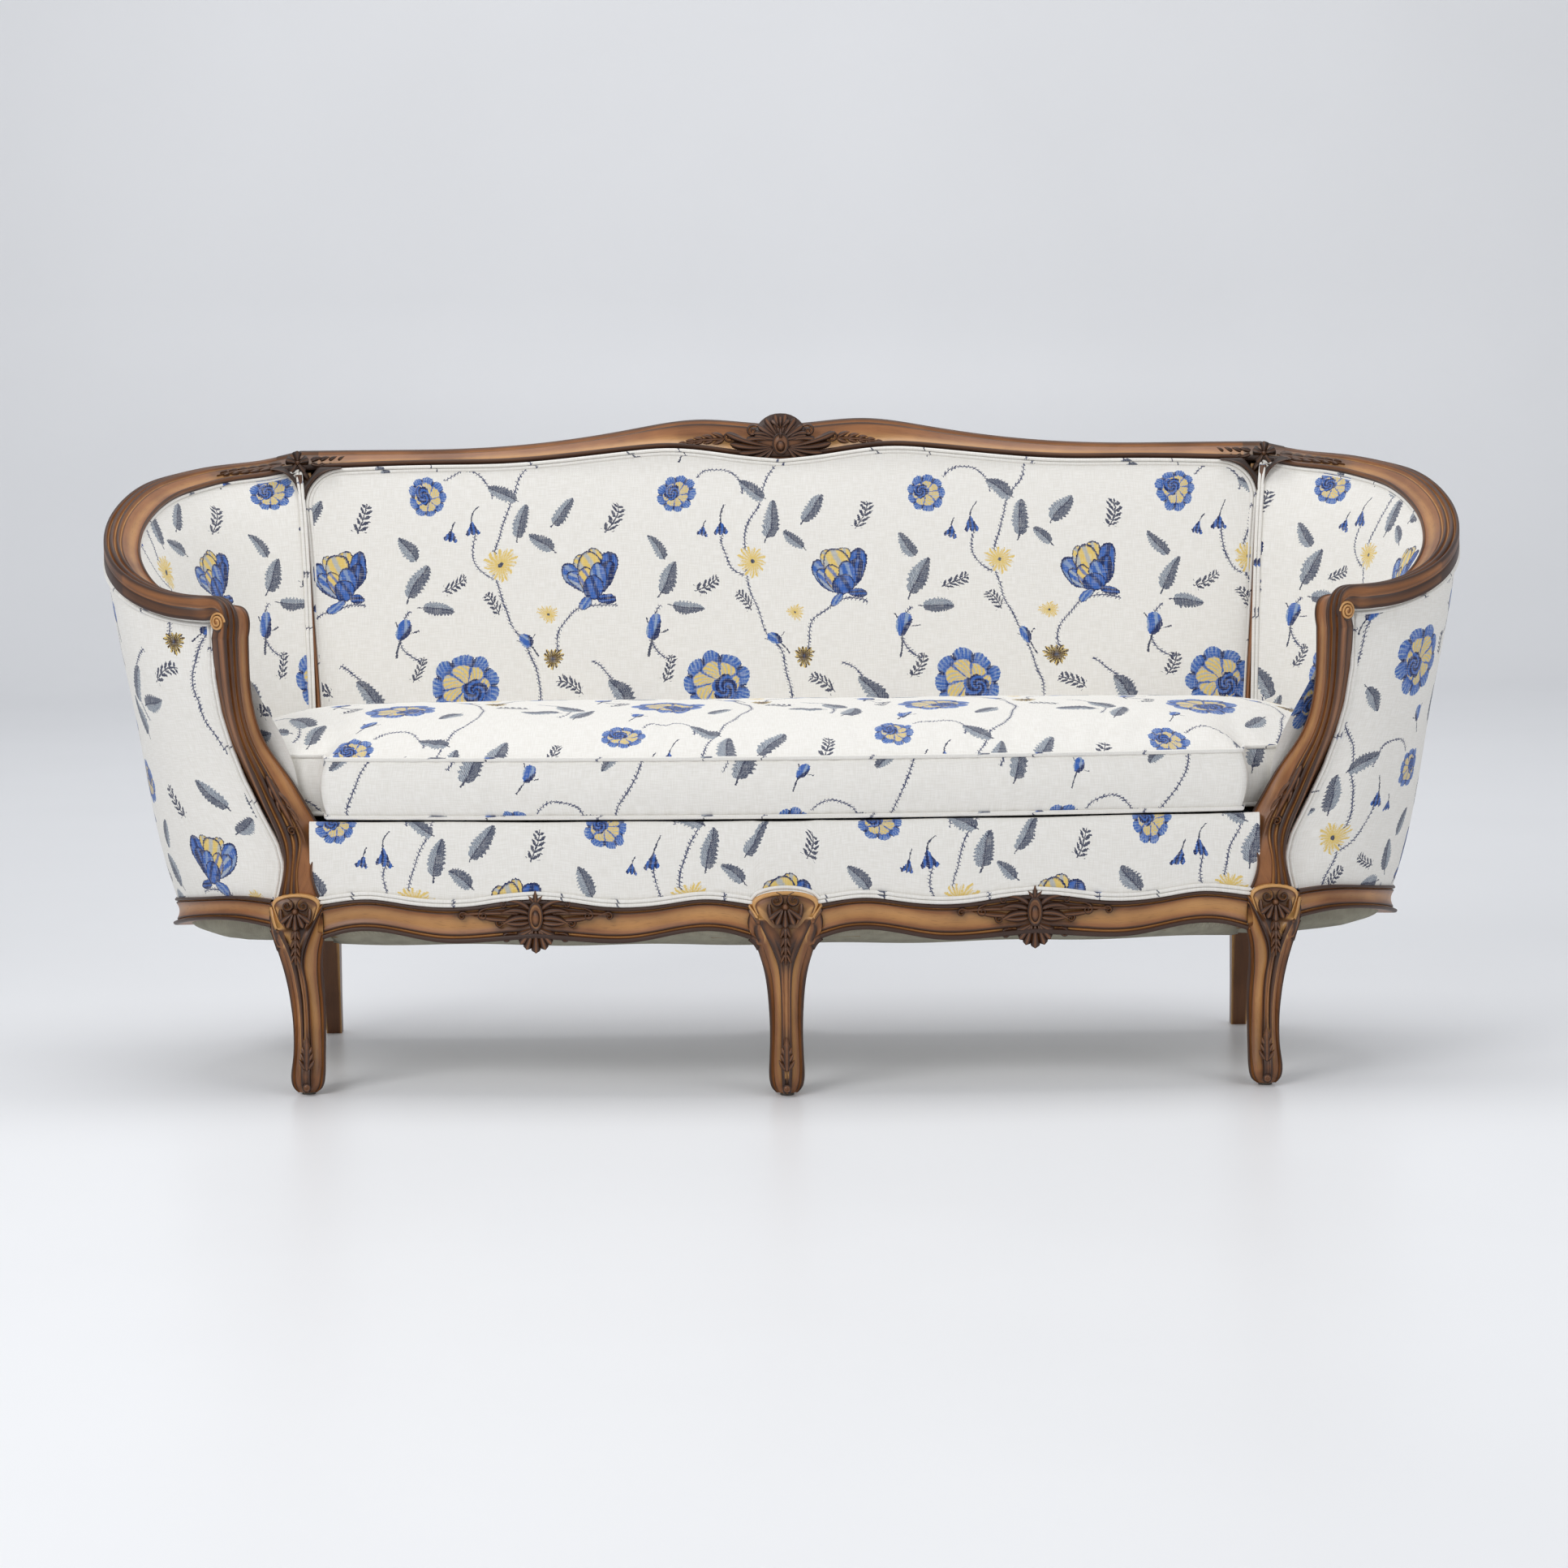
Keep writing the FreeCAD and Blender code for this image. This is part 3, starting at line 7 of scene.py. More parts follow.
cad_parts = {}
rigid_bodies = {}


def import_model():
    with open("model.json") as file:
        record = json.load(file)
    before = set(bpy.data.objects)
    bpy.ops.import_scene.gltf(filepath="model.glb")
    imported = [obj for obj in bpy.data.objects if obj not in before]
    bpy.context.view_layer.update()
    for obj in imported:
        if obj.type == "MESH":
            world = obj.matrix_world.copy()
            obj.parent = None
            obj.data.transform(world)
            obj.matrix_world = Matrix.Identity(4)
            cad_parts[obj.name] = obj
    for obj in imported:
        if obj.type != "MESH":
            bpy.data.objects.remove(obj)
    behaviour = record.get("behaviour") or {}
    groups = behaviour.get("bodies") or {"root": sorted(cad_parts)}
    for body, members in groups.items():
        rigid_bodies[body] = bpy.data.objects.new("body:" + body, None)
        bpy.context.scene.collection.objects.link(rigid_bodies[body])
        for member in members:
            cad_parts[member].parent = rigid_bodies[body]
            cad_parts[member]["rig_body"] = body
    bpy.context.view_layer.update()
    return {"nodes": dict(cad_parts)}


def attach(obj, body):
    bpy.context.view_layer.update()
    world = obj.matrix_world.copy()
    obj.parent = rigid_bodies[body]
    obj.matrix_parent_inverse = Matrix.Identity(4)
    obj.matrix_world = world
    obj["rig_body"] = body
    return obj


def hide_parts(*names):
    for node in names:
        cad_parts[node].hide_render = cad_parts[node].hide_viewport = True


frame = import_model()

# Shapes are worked out in millimetres, with X across from the middle plane, Z up from the floor
# and Y backwards from the line of the front corner legs. MIDDLE_Y brings them to the part's origin.
MM = 0.001
MIDDLE_Y = 272.6
UP = np.array([0.0, 0.0, 1.0])
BACKWARDS = np.array([0.0, 1.0, 0.0])

# The same sizes as the construction
RAIL_TOP = 829.5
CREST_PEAK = 38.7
CREST_PEAK_X = 118.0
CREST_MIDDLE = 30.0
BACK_Y = 612.0
BACK_BOW = 22.0
CORNER_X = 690.0
CORNER_INNER = 28.0
CORNER_OUTER = 30.0
WIDEST = (909.5, 250.0, 748.0)
ARM_SEAM = (862.0, 58.0, 682.0)
ARM_FRONT = (745.0, -20.0, 654.0)
RAIL_WIDTH = 45.0
RAIL_FACE = 22.0
RAIL_BAND = 31.0
BAND_SWELL = 2.5
SUPPORT_TOP = (717.5, -37.0, 600.0)
SUPPORT_TURN = 48.5
SEAT_RAIL_TOP = 250.0
SEAT_RAIL_BOTTOM = 203.0
SEAT_BACK_Y = 490.0
FRONT_BOW = 45.0
SEAT_SIDE = (828.0, 215.0, 234.0)
LEG_INNER_X = 604.0
LEG_OUTER_X = 672.0
FRONT_REACH = LEG_INNER_X + 16     # where the bow of the front would come to nothing
CENTRE_HALF = 45.0
RAIL_MIDDLE = (LEG_INNER_X + CENTRE_HALF) / 2
RAIL_HALF = (LEG_INNER_X - CENTRE_HALF) / 2
LEG_BLOCK_DEPTH = 54.0
POST_SEAT = (652.0, 461.0)
POST_SIZE = 40.0
RIDGE_WIDTH = 6.5
RIDGE_DEPTH = 12.0
DECK_TOP = 350.0
SIDE_INNER_X = 757.0
CENTRE_CORNER_RADIUS = 58.0
SIDE_CORNER_RADIUS = 38.0
CUSHION_BOTTOM = 351.0
CUSHION_LOW_SEAM = 363.0
CUSHION_SEAM = 439.0
CUSHION_CROWN = 483.0
SHELL_Z = 838.0              # foot of the crest's fan
CARTOUCHE_SIZE = 1.14        # of the front rails' carvings, over their drawing
CARTOUCHE_Z = 235.0
WELT = 2.6                   # radius of the double welt's cords
PIPING = 3.0                 # radius of the cushion's piping

CONVEXITY_ROUNDS = 9              # how far a ridge or groove is felt, in steps from point to point
CONVEXITY_HEIGHT = 0.85           # height over its surroundings at which a ridge is fully worn and fully painted with highlight

FRAME_BODY = "sofa_frame"
CUSHION_BODY = "loose_cushion"


# Curves

class Curve:
    """Natural cubic spline through points. Its parameter is the chord length from 0 to 1, or given knots."""

    def __init__(self, points, knots=None):
        self.points = np.array(points, float)
        if knots is None:
            steps = np.linalg.norm(np.diff(self.points, axis=0), axis=1)
            knots = np.concatenate([[0.0], np.cumsum(steps)]) / steps.sum()
        self.knots = np.array(knots, float)
        count = len(self.points)
        matrix = np.eye(count)
        right = np.zeros_like(self.points)
        for i in range(1, count - 1):
            before = self.knots[i] - self.knots[i - 1]
            after = self.knots[i + 1] - self.knots[i]
            matrix[i, i - 1:i + 2] = before, 2 * (before + after), after
            slope_after = (self.points[i + 1] - self.points[i]) / after
            slope_before = (self.points[i] - self.points[i - 1]) / before
            right[i] = 6 * (slope_after - slope_before)
        self.bends = np.linalg.solve(matrix, right)

    def at(self, t):
        """Points at an array of parameters, or one point at a number."""
        t = np.asarray(t, float)
        flat = np.atleast_1d(t)
        i = np.clip(np.searchsorted(self.knots, flat, side="right") - 1, 0, len(self.knots) - 2)
        step = (self.knots[i + 1] - self.knots[i])[:, None]
        a = (self.knots[i + 1] - flat)[:, None] / step
        b = 1 - a
        line = a * self.points[i] + b * self.points[i + 1]
        sag = ((a ** 3 - a) * self.bends[i] + (b ** 3 - b) * self.bends[i + 1]) * step ** 2 / 6
        result = line + sag
        return result if t.ndim else result[0]

    def heading(self, t):
        """Horizontal direction of travel."""
        nudge = 1e-4
        t = np.asarray(t, float)
        step = self.at(np.minimum(t + nudge, 1)) - self.at(np.maximum(t - nudge, 0))
        step[..., 2] = 0
        return step / np.linalg.norm(step, axis=-1, keepdims=True)

    def find(self, axis, target, low=0.0, high=1.0):
        """Parameter where one coordinate reaches a value, between two parameters."""
        rising = self.at(high)[axis] > self.at(low)[axis]
        for _ in range(40):
            middle = (low + high) / 2
            if (self.at(middle)[axis] < target) == rising:
                low = middle
            else:
                high = middle
        return (low + high) / 2


def graph(points, x):
    """Heights of a natural spline drawn through (x, height) points, at one place or at many."""
    places, heights = zip(*points)
    curve = Curve([(height,) for height in heights], places)
    return curve.at(np.clip(x, places[0], places[-1]))[..., 0]


def blend(a, b, x, y, z):
    return tuple(start + (end - start) * share for start, end, share in zip(a, b, (x, y, z)))


def outward_of(heading):
    """Horizontal direction away from the sofa, for a rail that runs from the middle of the back forwards."""
    return np.stack([-heading[..., 1], heading[..., 0], 0 * heading[..., 0]], axis=-1)


def unit(vectors):
    vectors = np.asarray(vectors, float)
    return vectors / np.maximum(np.linalg.norm(vectors, axis=-1, keepdims=True), 1e-9)


def softened(points, rounds=2, closed=False):
    """An outline with its corners cut twice, so that every ridge and hollow is a little round."""
    points = np.array(points, float)
    for _ in range(rounds):
        after = np.roll(points, -1, axis=0)
        cut = np.empty((2 * len(points), points.shape[1]))
        cut[0::2] = 0.75 * points + 0.25 * after
        cut[1::2] = 0.25 * points + 0.75 * after
        if not closed:
            cut = np.vstack([points[:1], cut[:-2], points[-1:]])
        points = cut
    return points


def resampled(points, count):
    """The same line with evenly spaced points."""
    points = np.asarray(points, float)
    lengths = np.concatenate([[0], np.cumsum(np.linalg.norm(np.diff(points, axis=0), axis=1))])
    places = np.linspace(0, lengths[-1], count)
    return np.stack([np.interp(places, lengths, points[:, i]) for i in range(points.shape[1])], axis=1)


# Meshes

def add_mesh(name, points, faces, material, uv=None, body=FRAME_BODY):
    """A piece from points in millimetres and faces, with a texture place in metres for every point."""
    placed = (np.asarray(points, float) - (0, MIDDLE_Y, 0)) * MM
    mesh = bpy.data.meshes.new(name)
    mesh.from_pydata(placed.tolist(), [], [list(face) for face in faces])
    mesh.validate()
    if uv is not None:
        layer = mesh.uv_layers.new(name="cloth")
        corners = np.empty(len(mesh.loops), np.int32)
        mesh.loops.foreach_get("vertex_index", corners)
        layer.data.foreach_set("uv", np.asarray(uv, np.float32)[corners].ravel())
    mesh.shade_smooth()
    mesh.materials.append(material)
    piece = bpy.data.objects.new(name, mesh)
    bpy.context.scene.collection.objects.link(piece)
    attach(piece, body)
    return piece


def grid_faces(rows, columns, closed=False):
    """Quads of a grid of points, whose rows may close on themselves."""
    wide = columns if closed else columns - 1
    near, left = np.meshgrid(np.arange(rows - 1), np.arange(wide), indexing="ij")
    right = (left + 1) % columns
    first = near * columns
    quads = np.stack([first + left, first + right, first + columns + right, first + columns + left], axis=-1)
    return quads.reshape(-1, 4).tolist()


def swept(name, sections, material, uv=None, closed=True, caps=True, flip=False, **options):
    """A piece through sections, an array of rows by columns by three."""
    sections = np.asarray(sections, float)
    rows, columns = sections.shape[:2]
    faces = grid_faces(rows, columns, closed)
    if uv is None:
        uv = sweep_uv(sections)
    points = sections.reshape(-1, 3)
    uv = uv.reshape(-1, 2)
    if caps and closed:
        last = len(points)
        points = np.concatenate([points, sections[0], sections[-1]])
        uv = np.concatenate([uv, uv[:columns], uv[-columns:]])
        faces += [list(range(last, last + columns))[::-1], list(range(last + columns, last + 2 * columns))]
    if flip:
        faces = [face[::-1] for face in faces]
    return add_mesh(name, points, faces, material, uv, **options)


def sweep_uv(sections):
    """Texture places in metres: first along the sweep, then round the section."""
    middle = sections.mean(axis=1)
    along = np.concatenate([[0], np.cumsum(np.linalg.norm(np.diff(middle, axis=0), axis=1))])
    round_it = np.linalg.norm(np.diff(sections, axis=1), axis=2)
    across = np.concatenate([np.zeros((len(sections), 1)), np.cumsum(round_it, axis=1)], axis=1)
    return np.stack([np.broadcast_to(along[:, None], across.shape), across], axis=-1) * MM


def tube(name, path, radius, material, closed=False, sides=10, **options):
    """A cord along a line of points."""
    return swept(name, tube_sections(path, radius, sides, closed), material, **options)


def tube_sections(path, radius, sides=10, closed=False):
    path = np.asarray(path, float)
    ahead = np.roll(path, -1, axis=0) - np.roll(path, 1, axis=0)
    if not closed:
        ahead[0] = path[1] - path[0]
        ahead[-1] = path[-1] - path[-2]
    ahead = unit(ahead)
    side = unit(np.cross(ahead[0], UP + 0.01))
    angles = np.linspace(0, 2 * math.pi, sides + 1)[:-1]
    sections = []
    for point, way in zip(path, ahead):
        side = unit(side - way * (side @ way))
        over = np.cross(way, side)
        sections.append(point + radius * (np.outer(np.cos(angles), side) + np.outer(np.sin(angles), over)))
    if closed:
        sections.append(sections[0])
    return np.array(sections)


def joined(name, pieces):
    """Several pieces made one, as cords that are sewn side by side."""
    with bpy.context.temp_override(active_object=pieces[0], selected_editable_objects=pieces):
        bpy.ops.object.join()
    pieces[0].name = name
    pieces[0].data.name = name
    return pieces[0]


def mirror_piece(piece, name):
    """The same piece on the left side, with its cloth mirrored too."""
    mesh = piece.data.copy()
    mesh.transform(Matrix.Scale(-1, 4, (1, 0, 0)))
    mesh.flip_normals()
    twin = bpy.data.objects.new(name, mesh)
    bpy.context.scene.collection.objects.link(twin)
    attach(twin, piece["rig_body"])
    for layer in mesh.uv_layers:
        places = np.empty(2 * len(mesh.loops), np.float32)
        layer.data.foreach_get("uv", places)
        places[0::2] *= -1
        layer.data.foreach_set("uv", places)
    return twin


def points_of(piece):
    """A piece's points in millimetres."""
    co = np.empty(3 * len(piece.data.vertices), np.float32)
    piece.data.vertices.foreach_get("co", co)
    return co.reshape(-1, 3) / MM + (0, MIDDLE_Y, 0)


def set_painted_shade(piece, values):
    """Notes how much painted shade each point takes, from 0 to 1."""
    layer = piece.data.attributes.get("painted_shade") or piece.data.attributes.new("painted_shade", "FLOAT", "POINT")
    layer.data.foreach_set("value", np.asarray(values, np.float32))


def both_sides(piece, stem):
    """The left twin of a piece on the right, each standing for its own node."""
    twin = mirror_piece(piece, stem + "_left_carved")
    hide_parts(stem + "_right")
    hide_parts(stem + "_left")
    return [piece, twin]


def mark_wear_and_painted_light(piece):
    """Notes for every point whether it lies on a ridge, worn pale and painted with highlight, or in a groove,
    painted dark as shade.
    """
    mesh = piece.data
    count = len(mesh.vertices)
    co = np.empty(3 * count, np.float32)
    normals = np.empty(3 * count, np.float32)
    edges = np.empty(2 * len(mesh.edges), np.int32)
    mesh.vertices.foreach_get("co", co)
    mesh.vertex_normals.foreach_get("vector", normals)
    mesh.edges.foreach_get("vertices", edges)
    co = co.reshape(-1, 3).astype(float)
    normals = normals.reshape(-1, 3).astype(float)
    a, b = edges.reshape(-1, 2).T
    degree = np.bincount(a, minlength=count) + np.bincount(b, minlength=count)
    degree = np.maximum(degree, 1)

    def neighbours(values):
        total = np.zeros_like(values)
        np.add.at(total, a, values[b])
        np.add.at(total, b, values[a])
        return total / (degree[:, None] if values.ndim > 1 else degree)

    smooth = co
    for _ in range(CONVEXITY_ROUNDS):
        smooth = 0.4 * smooth + 0.6 * neighbours(smooth)
    height = np.einsum("ij,ij->i", co - smooth, normals) / (CONVEXITY_HEIGHT * MM)
    for _ in range(2):
        height = 0.5 * height + 0.5 * neighbours(height)
    layer = mesh.attributes.new("wear_and_painted_light", "FLOAT", "POINT")
    layer.data.foreach_set("value", np.clip(0.5 + 0.5 * height, 0, 1).astype(np.float32))


# Materials

def srgb(red, green, blue):
    """A colour as it is seen, from 0 to 255, in the renderer's linear values."""
    linear = []
    for value in (red, green, blue):
        value /= 255
        linear.append(value / 12.92 if value <= 0.04045 else ((value + 0.055) / 1.055) ** 2.4)
    return (*linear, 1.0)


class Field:
    """A number or colour in a material's node tree, which can be worked with as an ordinary value."""

    def __init__(self, tree, socket):
        self.tree = tree
        self.socket = socket

    def math(self, operation, *others, clamp=False):
        node = self.tree.nodes.new("ShaderNodeMath")
        node.operation = operation
        node.use_clamp = clamp
        for slot, value in zip(node.inputs, (self, *others)):
            if isinstance(value, Field):
                self.tree.links.new(value.socket, slot)
            else:
                slot.default_value = value
        return Field(self.tree, node.outputs[0])

    def __add__(self, other):
        return self.math("ADD", other)

    def __radd__(self, other):
        return self.math("ADD", other)

    def __sub__(self, other):
        return self.math("SUBTRACT", other)

    def __rsub__(self, other):
        return self.math("MULTIPLY_ADD", -1.0, other)

    def __mul__(self, other):
        return self.math("MULTIPLY", other)

    def __rmul__(self, other):
        return self.math("MULTIPLY", other)

    def __truediv__(self, other):
        return self.math("DIVIDE", other)

    def __neg__(self):
        return self.math("MULTIPLY", -1.0)

    def sin(self):
        return self.math("SINE")

    def cos(self):
        return self.math("COSINE")

    def abs(self):
        return self.math("ABSOLUTE")

    def power(self, other):
        return self.math("POWER", other)

    def sqrt(self):
        return self.math("SQRT")

    def least(self, other):
        return self.math("MINIMUM", other)

    def most(self, other):
        return self.math("MAXIMUM", other)

    def below(self, other):
        """1 where this is under a value, else 0."""
        return self.math("LESS_THAN", other)

    def clamped(self):
        return self.math("ADD", 0.0, clamp=True)

    def fraction(self):
        return self.math("FRACT")

    def wrapped(self, low, high):
        return self.math("WRAP", high, low)

    def ramp(self, low, high):
        """0 at one value and 1 at another, straight between."""
        node = self.tree.nodes.new("ShaderNodeMapRange")
        node.clamp = True
        self.tree.links.new(self.socket, node.inputs["Value"])
        for name, value in (("From Min", low), ("From Max", high)):
            if isinstance(value, Field):
                self.tree.links.new(value.socket, node.inputs[name])
            else:
                node.inputs[name].default_value = value
        return Field(self.tree, node.outputs["Result"])


class Paint:
    """A material and the few node tools that its surface is painted with."""

    def __init__(self, name, roughness, specular=0.5):
        self.material = bpy.data.materials.new(name)
        self.material.use_nodes = True
        self.tree = self.material.node_tree
        self.shader = self.tree.nodes["Principled BSDF"]
        self.shader.inputs["Roughness"].default_value = roughness
        self.shader.inputs["Specular IOR Level"].default_value = specular

    def attribute(self, name):
        node = self.tree.nodes.new("ShaderNodeAttribute")
        node.attribute_name = name
        return Field(self.tree, node.outputs["Fac"])

    def position(self):
        node = self.tree.nodes.new("ShaderNodeTexCoord")
        return self.split(node.outputs["Object"])

    def split(self, socket):
        node = self.tree.nodes.new("ShaderNodeSeparateXYZ")
        self.tree.links.new(socket, node.inputs[0])
        return [Field(self.tree, output) for output in node.outputs]

    def joined(self, x, y, z=0.0):
        node = self.tree.nodes.new("ShaderNodeCombineXYZ")
        for slot, value in zip(node.inputs, (x, y, z)):
            if isinstance(value, Field):
                self.tree.links.new(value.socket, slot)
            else:
                slot.default_value = value
        return node.outputs[0]

    def cloth(self):
        """Texture places in metres."""
        node = self.tree.nodes.new("ShaderNodeUVMap")
        node.uv_map = "cloth"
        return node.outputs[0]

    def vector(self, operation, *values):
        """A vector sum or product of sockets and plain triples."""
        node = self.tree.nodes.new("ShaderNodeVectorMath")
        node.operation = operation
        for slot, value in zip(node.inputs, values):
            if isinstance(value, tuple):
                slot.default_value = value
            else:
                self.tree.links.new(value, slot)
        return node.outputs[0]

    def length(self, vector):
        node = self.tree.nodes.new("ShaderNodeVectorMath")
        node.operation = "LENGTH"
        self.tree.links.new(vector, node.inputs[0])
        return Field(self.tree, node.outputs["Value"])

    def hypotenuse(self, x, y):
        return self.length(self.joined(x, y))

    def mapped(self, vector, place, angle, size):
        """The same places seen from a motif that stands at a place, turned and sized."""
        node = self.tree.nodes.new("ShaderNodeMapping")
        node.vector_type = "TEXTURE"
        self.tree.links.new(vector, node.inputs["Vector"])
        node.inputs["Location"].default_value = (*place, 0.0)
        node.inputs["Rotation"].default_value = (0.0, 0.0, math.radians(angle))
        node.inputs["Scale"].default_value = (*size, 1.0)
        return node.outputs[0]

    def wrapped(self, vector, x, y):
        """Places from a point of the repeat, never further than half a repeat away."""
        half = (CLOTH_REPEAT_X / 2, CLOTH_REPEAT_Y / 2, 1.0)
        moved = self.vector("SUBTRACT", vector, (x, y, 0.0))
        return self.vector("WRAP", moved, half, tuple(-value for value in half))

    def motif_place(self, vector, x, y, angle, size):
        return self.mapped(self.wrapped(vector, x * MM, y * MM), (0.0, 0.0), angle, (size * MM, size * MM))

    def choose(self, share, first, second):
        """One of two vectors."""
        node = self.tree.nodes.new("ShaderNodeMix")
        node.data_type = "VECTOR"
        self.tree.links.new(share.socket, node.inputs[0])
        self.tree.links.new(first, node.inputs[4])
        self.tree.links.new(second, node.inputs[5])
        return node.outputs[1]

    def drift(self, vector, scale, amount):
        """The same places, each a little astray, as a hand or a thread is."""
        node = self.tree.nodes.new("ShaderNodeTexNoise")
        node.noise_dimensions = "2D"
        self.tree.links.new(vector, node.inputs["Vector"])
        node.inputs["Scale"].default_value = scale
        node.inputs["Detail"].default_value = 0.0
        centred = self.vector("SUBTRACT", node.outputs["Color"], (0.5, 0.5, 0.5))
        moved = self.vector("MULTIPLY", centred, (amount, amount, 0.0))
        return self.vector("ADD", vector, moved)

    def noise(self, vector, scale=1.0, detail=3.0, rough=0.5, dimensions="3D"):
        node = self.tree.nodes.new("ShaderNodeTexNoise")
        node.noise_dimensions = dimensions
        self.tree.links.new(vector, node.inputs["Vector"])
        node.inputs["Scale"].default_value = scale
        node.inputs["Detail"].default_value = detail
        node.inputs["Roughness"].default_value = rough
        return Field(self.tree, node.outputs["Fac"])

    def mix(self, share, first, second):
        """From one colour to another."""
        node = self.tree.nodes.new("ShaderNodeMix")
        node.data_type = "RGBA"
        for slot, value in ((node.inputs[0], share), (node.inputs[6], first), (node.inputs[7], second)):
            if isinstance(value, Field):
                self.tree.links.new(value.socket, slot)
            else:
                slot.default_value = value
        return Field(self.tree, node.outputs[2])

    def colour(self, field):
        self.tree.links.new(field.socket, self.shader.inputs["Base Color"])

    def roughness(self, field):
        self.tree.links.new(field.socket, self.shader.inputs["Roughness"])

    def bump(self, field, distance, strength=1.0):
        node = self.tree.nodes.new("ShaderNodeBump")
        node.inputs["Strength"].default_value = strength
        node.inputs["Distance"].default_value = distance
        self.tree.links.new(field.socket, node.inputs["Height"])
        self.tree.links.new(node.outputs[0], self.shader.inputs["Normal"])


def wood_material(name, depth=1.0):
    """Stained walnut: long grain with fine pores, painted dark as shade in its grooves and round its
    carvings, and painted golden on its ridges, as wear and as painted highlight.
    """
    paint = Paint(name, 0.42)
    along, across, _ = paint.split(paint.cloth())
    x, y, z = paint.position()
    wander = paint.noise(paint.joined(x * 3.0, y * 3.0, z * 3.0), detail=2.0)
    fibres = paint.joined(along * 7.0, across * 95.0 + wander * 3.0, wander)
    grain = paint.noise(fibres, detail=5.0, rough=0.6)
    pores = paint.noise(paint.joined(along * 70.0, across * 900.0), detail=1.0)
    patches = paint.noise(paint.joined(x * 14.0, y * 14.0, z * 14.0), detail=3.0)
    wear_and_painted_light = paint.attribute("wear_and_painted_light")
    tone = grain.ramp(0.30, 0.72) * 0.55 + patches.ramp(0.3, 0.7) * 0.45
    # depth below 1 darkens every colour, for the copy painted in shade
    dark = srgb(108 * depth, 64 * depth, 30 * depth)
    middle = srgb(164 * depth, 106 * depth, 58 * depth)
    golden = srgb(214 * depth, 162 * depth, 98 * depth)
    deep = srgb(48 * depth, 24 * depth, 11 * depth)
    colour = paint.mix(tone, dark, middle)
    # painted shade: the ground round the carvings, the foot of the arched heads and the rear posts darken
    colour = paint.mix(paint.attribute("painted_shade") * 0.72, colour, deep)
    # painted highlight: ridges turn golden, partly as wear
    colour = paint.mix((wear_and_painted_light + patches * 0.25).ramp(0.70, 1.12) * 0.85, colour, golden)
    # painted shade: grooves turn dark
    colour = paint.mix((wear_and_painted_light + grain * 0.08).ramp(0.48, 0.20) * 0.94, colour, deep)
    colour = paint.mix(pores.ramp(0.58, 0.78) * 0.35, colour, deep)
    paint.colour(colour)
    paint.roughness(grain.ramp(0.0, 1.0) * 0.16 + (1.0 - wear_and_painted_light) * 0.18 + 0.26)
    paint.bump(grain * 0.6 + pores * 0.4, 0.0004, 0.5)
    paint.shader.inputs["Coat Weight"].default_value = 0.12
    paint.shader.inputs["Coat Roughness"].default_value = 0.25
    return paint.material


def plain_material(name, colour, roughness, grain=0.0, depth=0.0):
    """A quiet surface with a little unevenness, for what lies below and inside."""
    paint = Paint(name, roughness)
    x, y, z = paint.position()
    spots = paint.noise(paint.joined(x, y, z), scale=60.0, detail=4.0)
    threads = (x * 3900.0).sin() * (y * 3900.0).sin()
    darker = tuple(value * 0.72 for value in colour[:3]) + (1.0,)
    paint.colour(paint.mix(spots.ramp(0.3, 0.75), colour, darker))
    if depth:
        paint.bump(spots * (1 - grain) + threads * grain, depth)
    return paint.material


# The cloth's print: its repeat in metres, its colours, and where each motif stands within the repeat
# Motifs are (x, y, angle, size), arcs (x, y, radius, middle angle, half angle, width), in millimetres and
# degrees. The meander is its place and swing in metres and its phase. Petals are in shares of their rose.

CLOTH_REPEAT_X = 0.355
CLOTH_REPEAT_Y = 0.420
CREAM = srgb(240, 237, 231)
CREAM_SHADE = srgb(229, 225, 217)
BLUE = srgb(58, 100, 176)
PALE_BLUE = srgb(140, 160, 190)
NAVY = srgb(28, 42, 88)
GOLD = srgb(226, 196, 110)
PALE_SLATE = srgb(172, 180, 188)
SLATE = srgb(66, 70, 90)
STEM = srgb(74, 80, 108)
BROWN = srgb(66, 48, 40)

LEAVES = [(128, 78, 35, 27), (92, 52, 80, 24), (150, 36, -20, 26), (196, 246, -28, 26), (222, 204, -95, 22),
          (178, 292, 35, 21), (340, 330, -10, 25), (312, 372, 58, 22), (44, 344, -35, 23), (14, 300, 50, 19),
          (330, 40, 140, 20)]
SPRIGS = [(52, 96, 70, 19), (250, 236, -60, 17), (118, 336, -15, 19), (196, 118, -20, 17), (300, 214, 40, 16)]
GOLD_STARS = [(312, 268, 0, 25), (22, 196, 20, 15)]
BROWN_STARS = [(30, 132, 0, 18)]
BUDS = [(172, 176, -12, 21), (345, 158, 30, 14), (222, 22, -30, 14)]
BELLS = [(268, 322, 0, 15), (240, 314, -12, 12)]
ROSES = [(262, 92, 20, 48), (206, 366, 200, 28)]
SIDE_ROSES = [(84, 250, 14, 44)]
MEANDER = -0.02, 0.034, 0.6
STEM_ARCS = [(98, 150, 62, 130, 62, 1.0), (212, 170, 44, 190, 60, 1.0), (262, 368, 36, 70, 75, 0.8),
             (330, 300, 60, 200, 40, 0.9), (60, 60, 70, 20, 50, 0.9)]
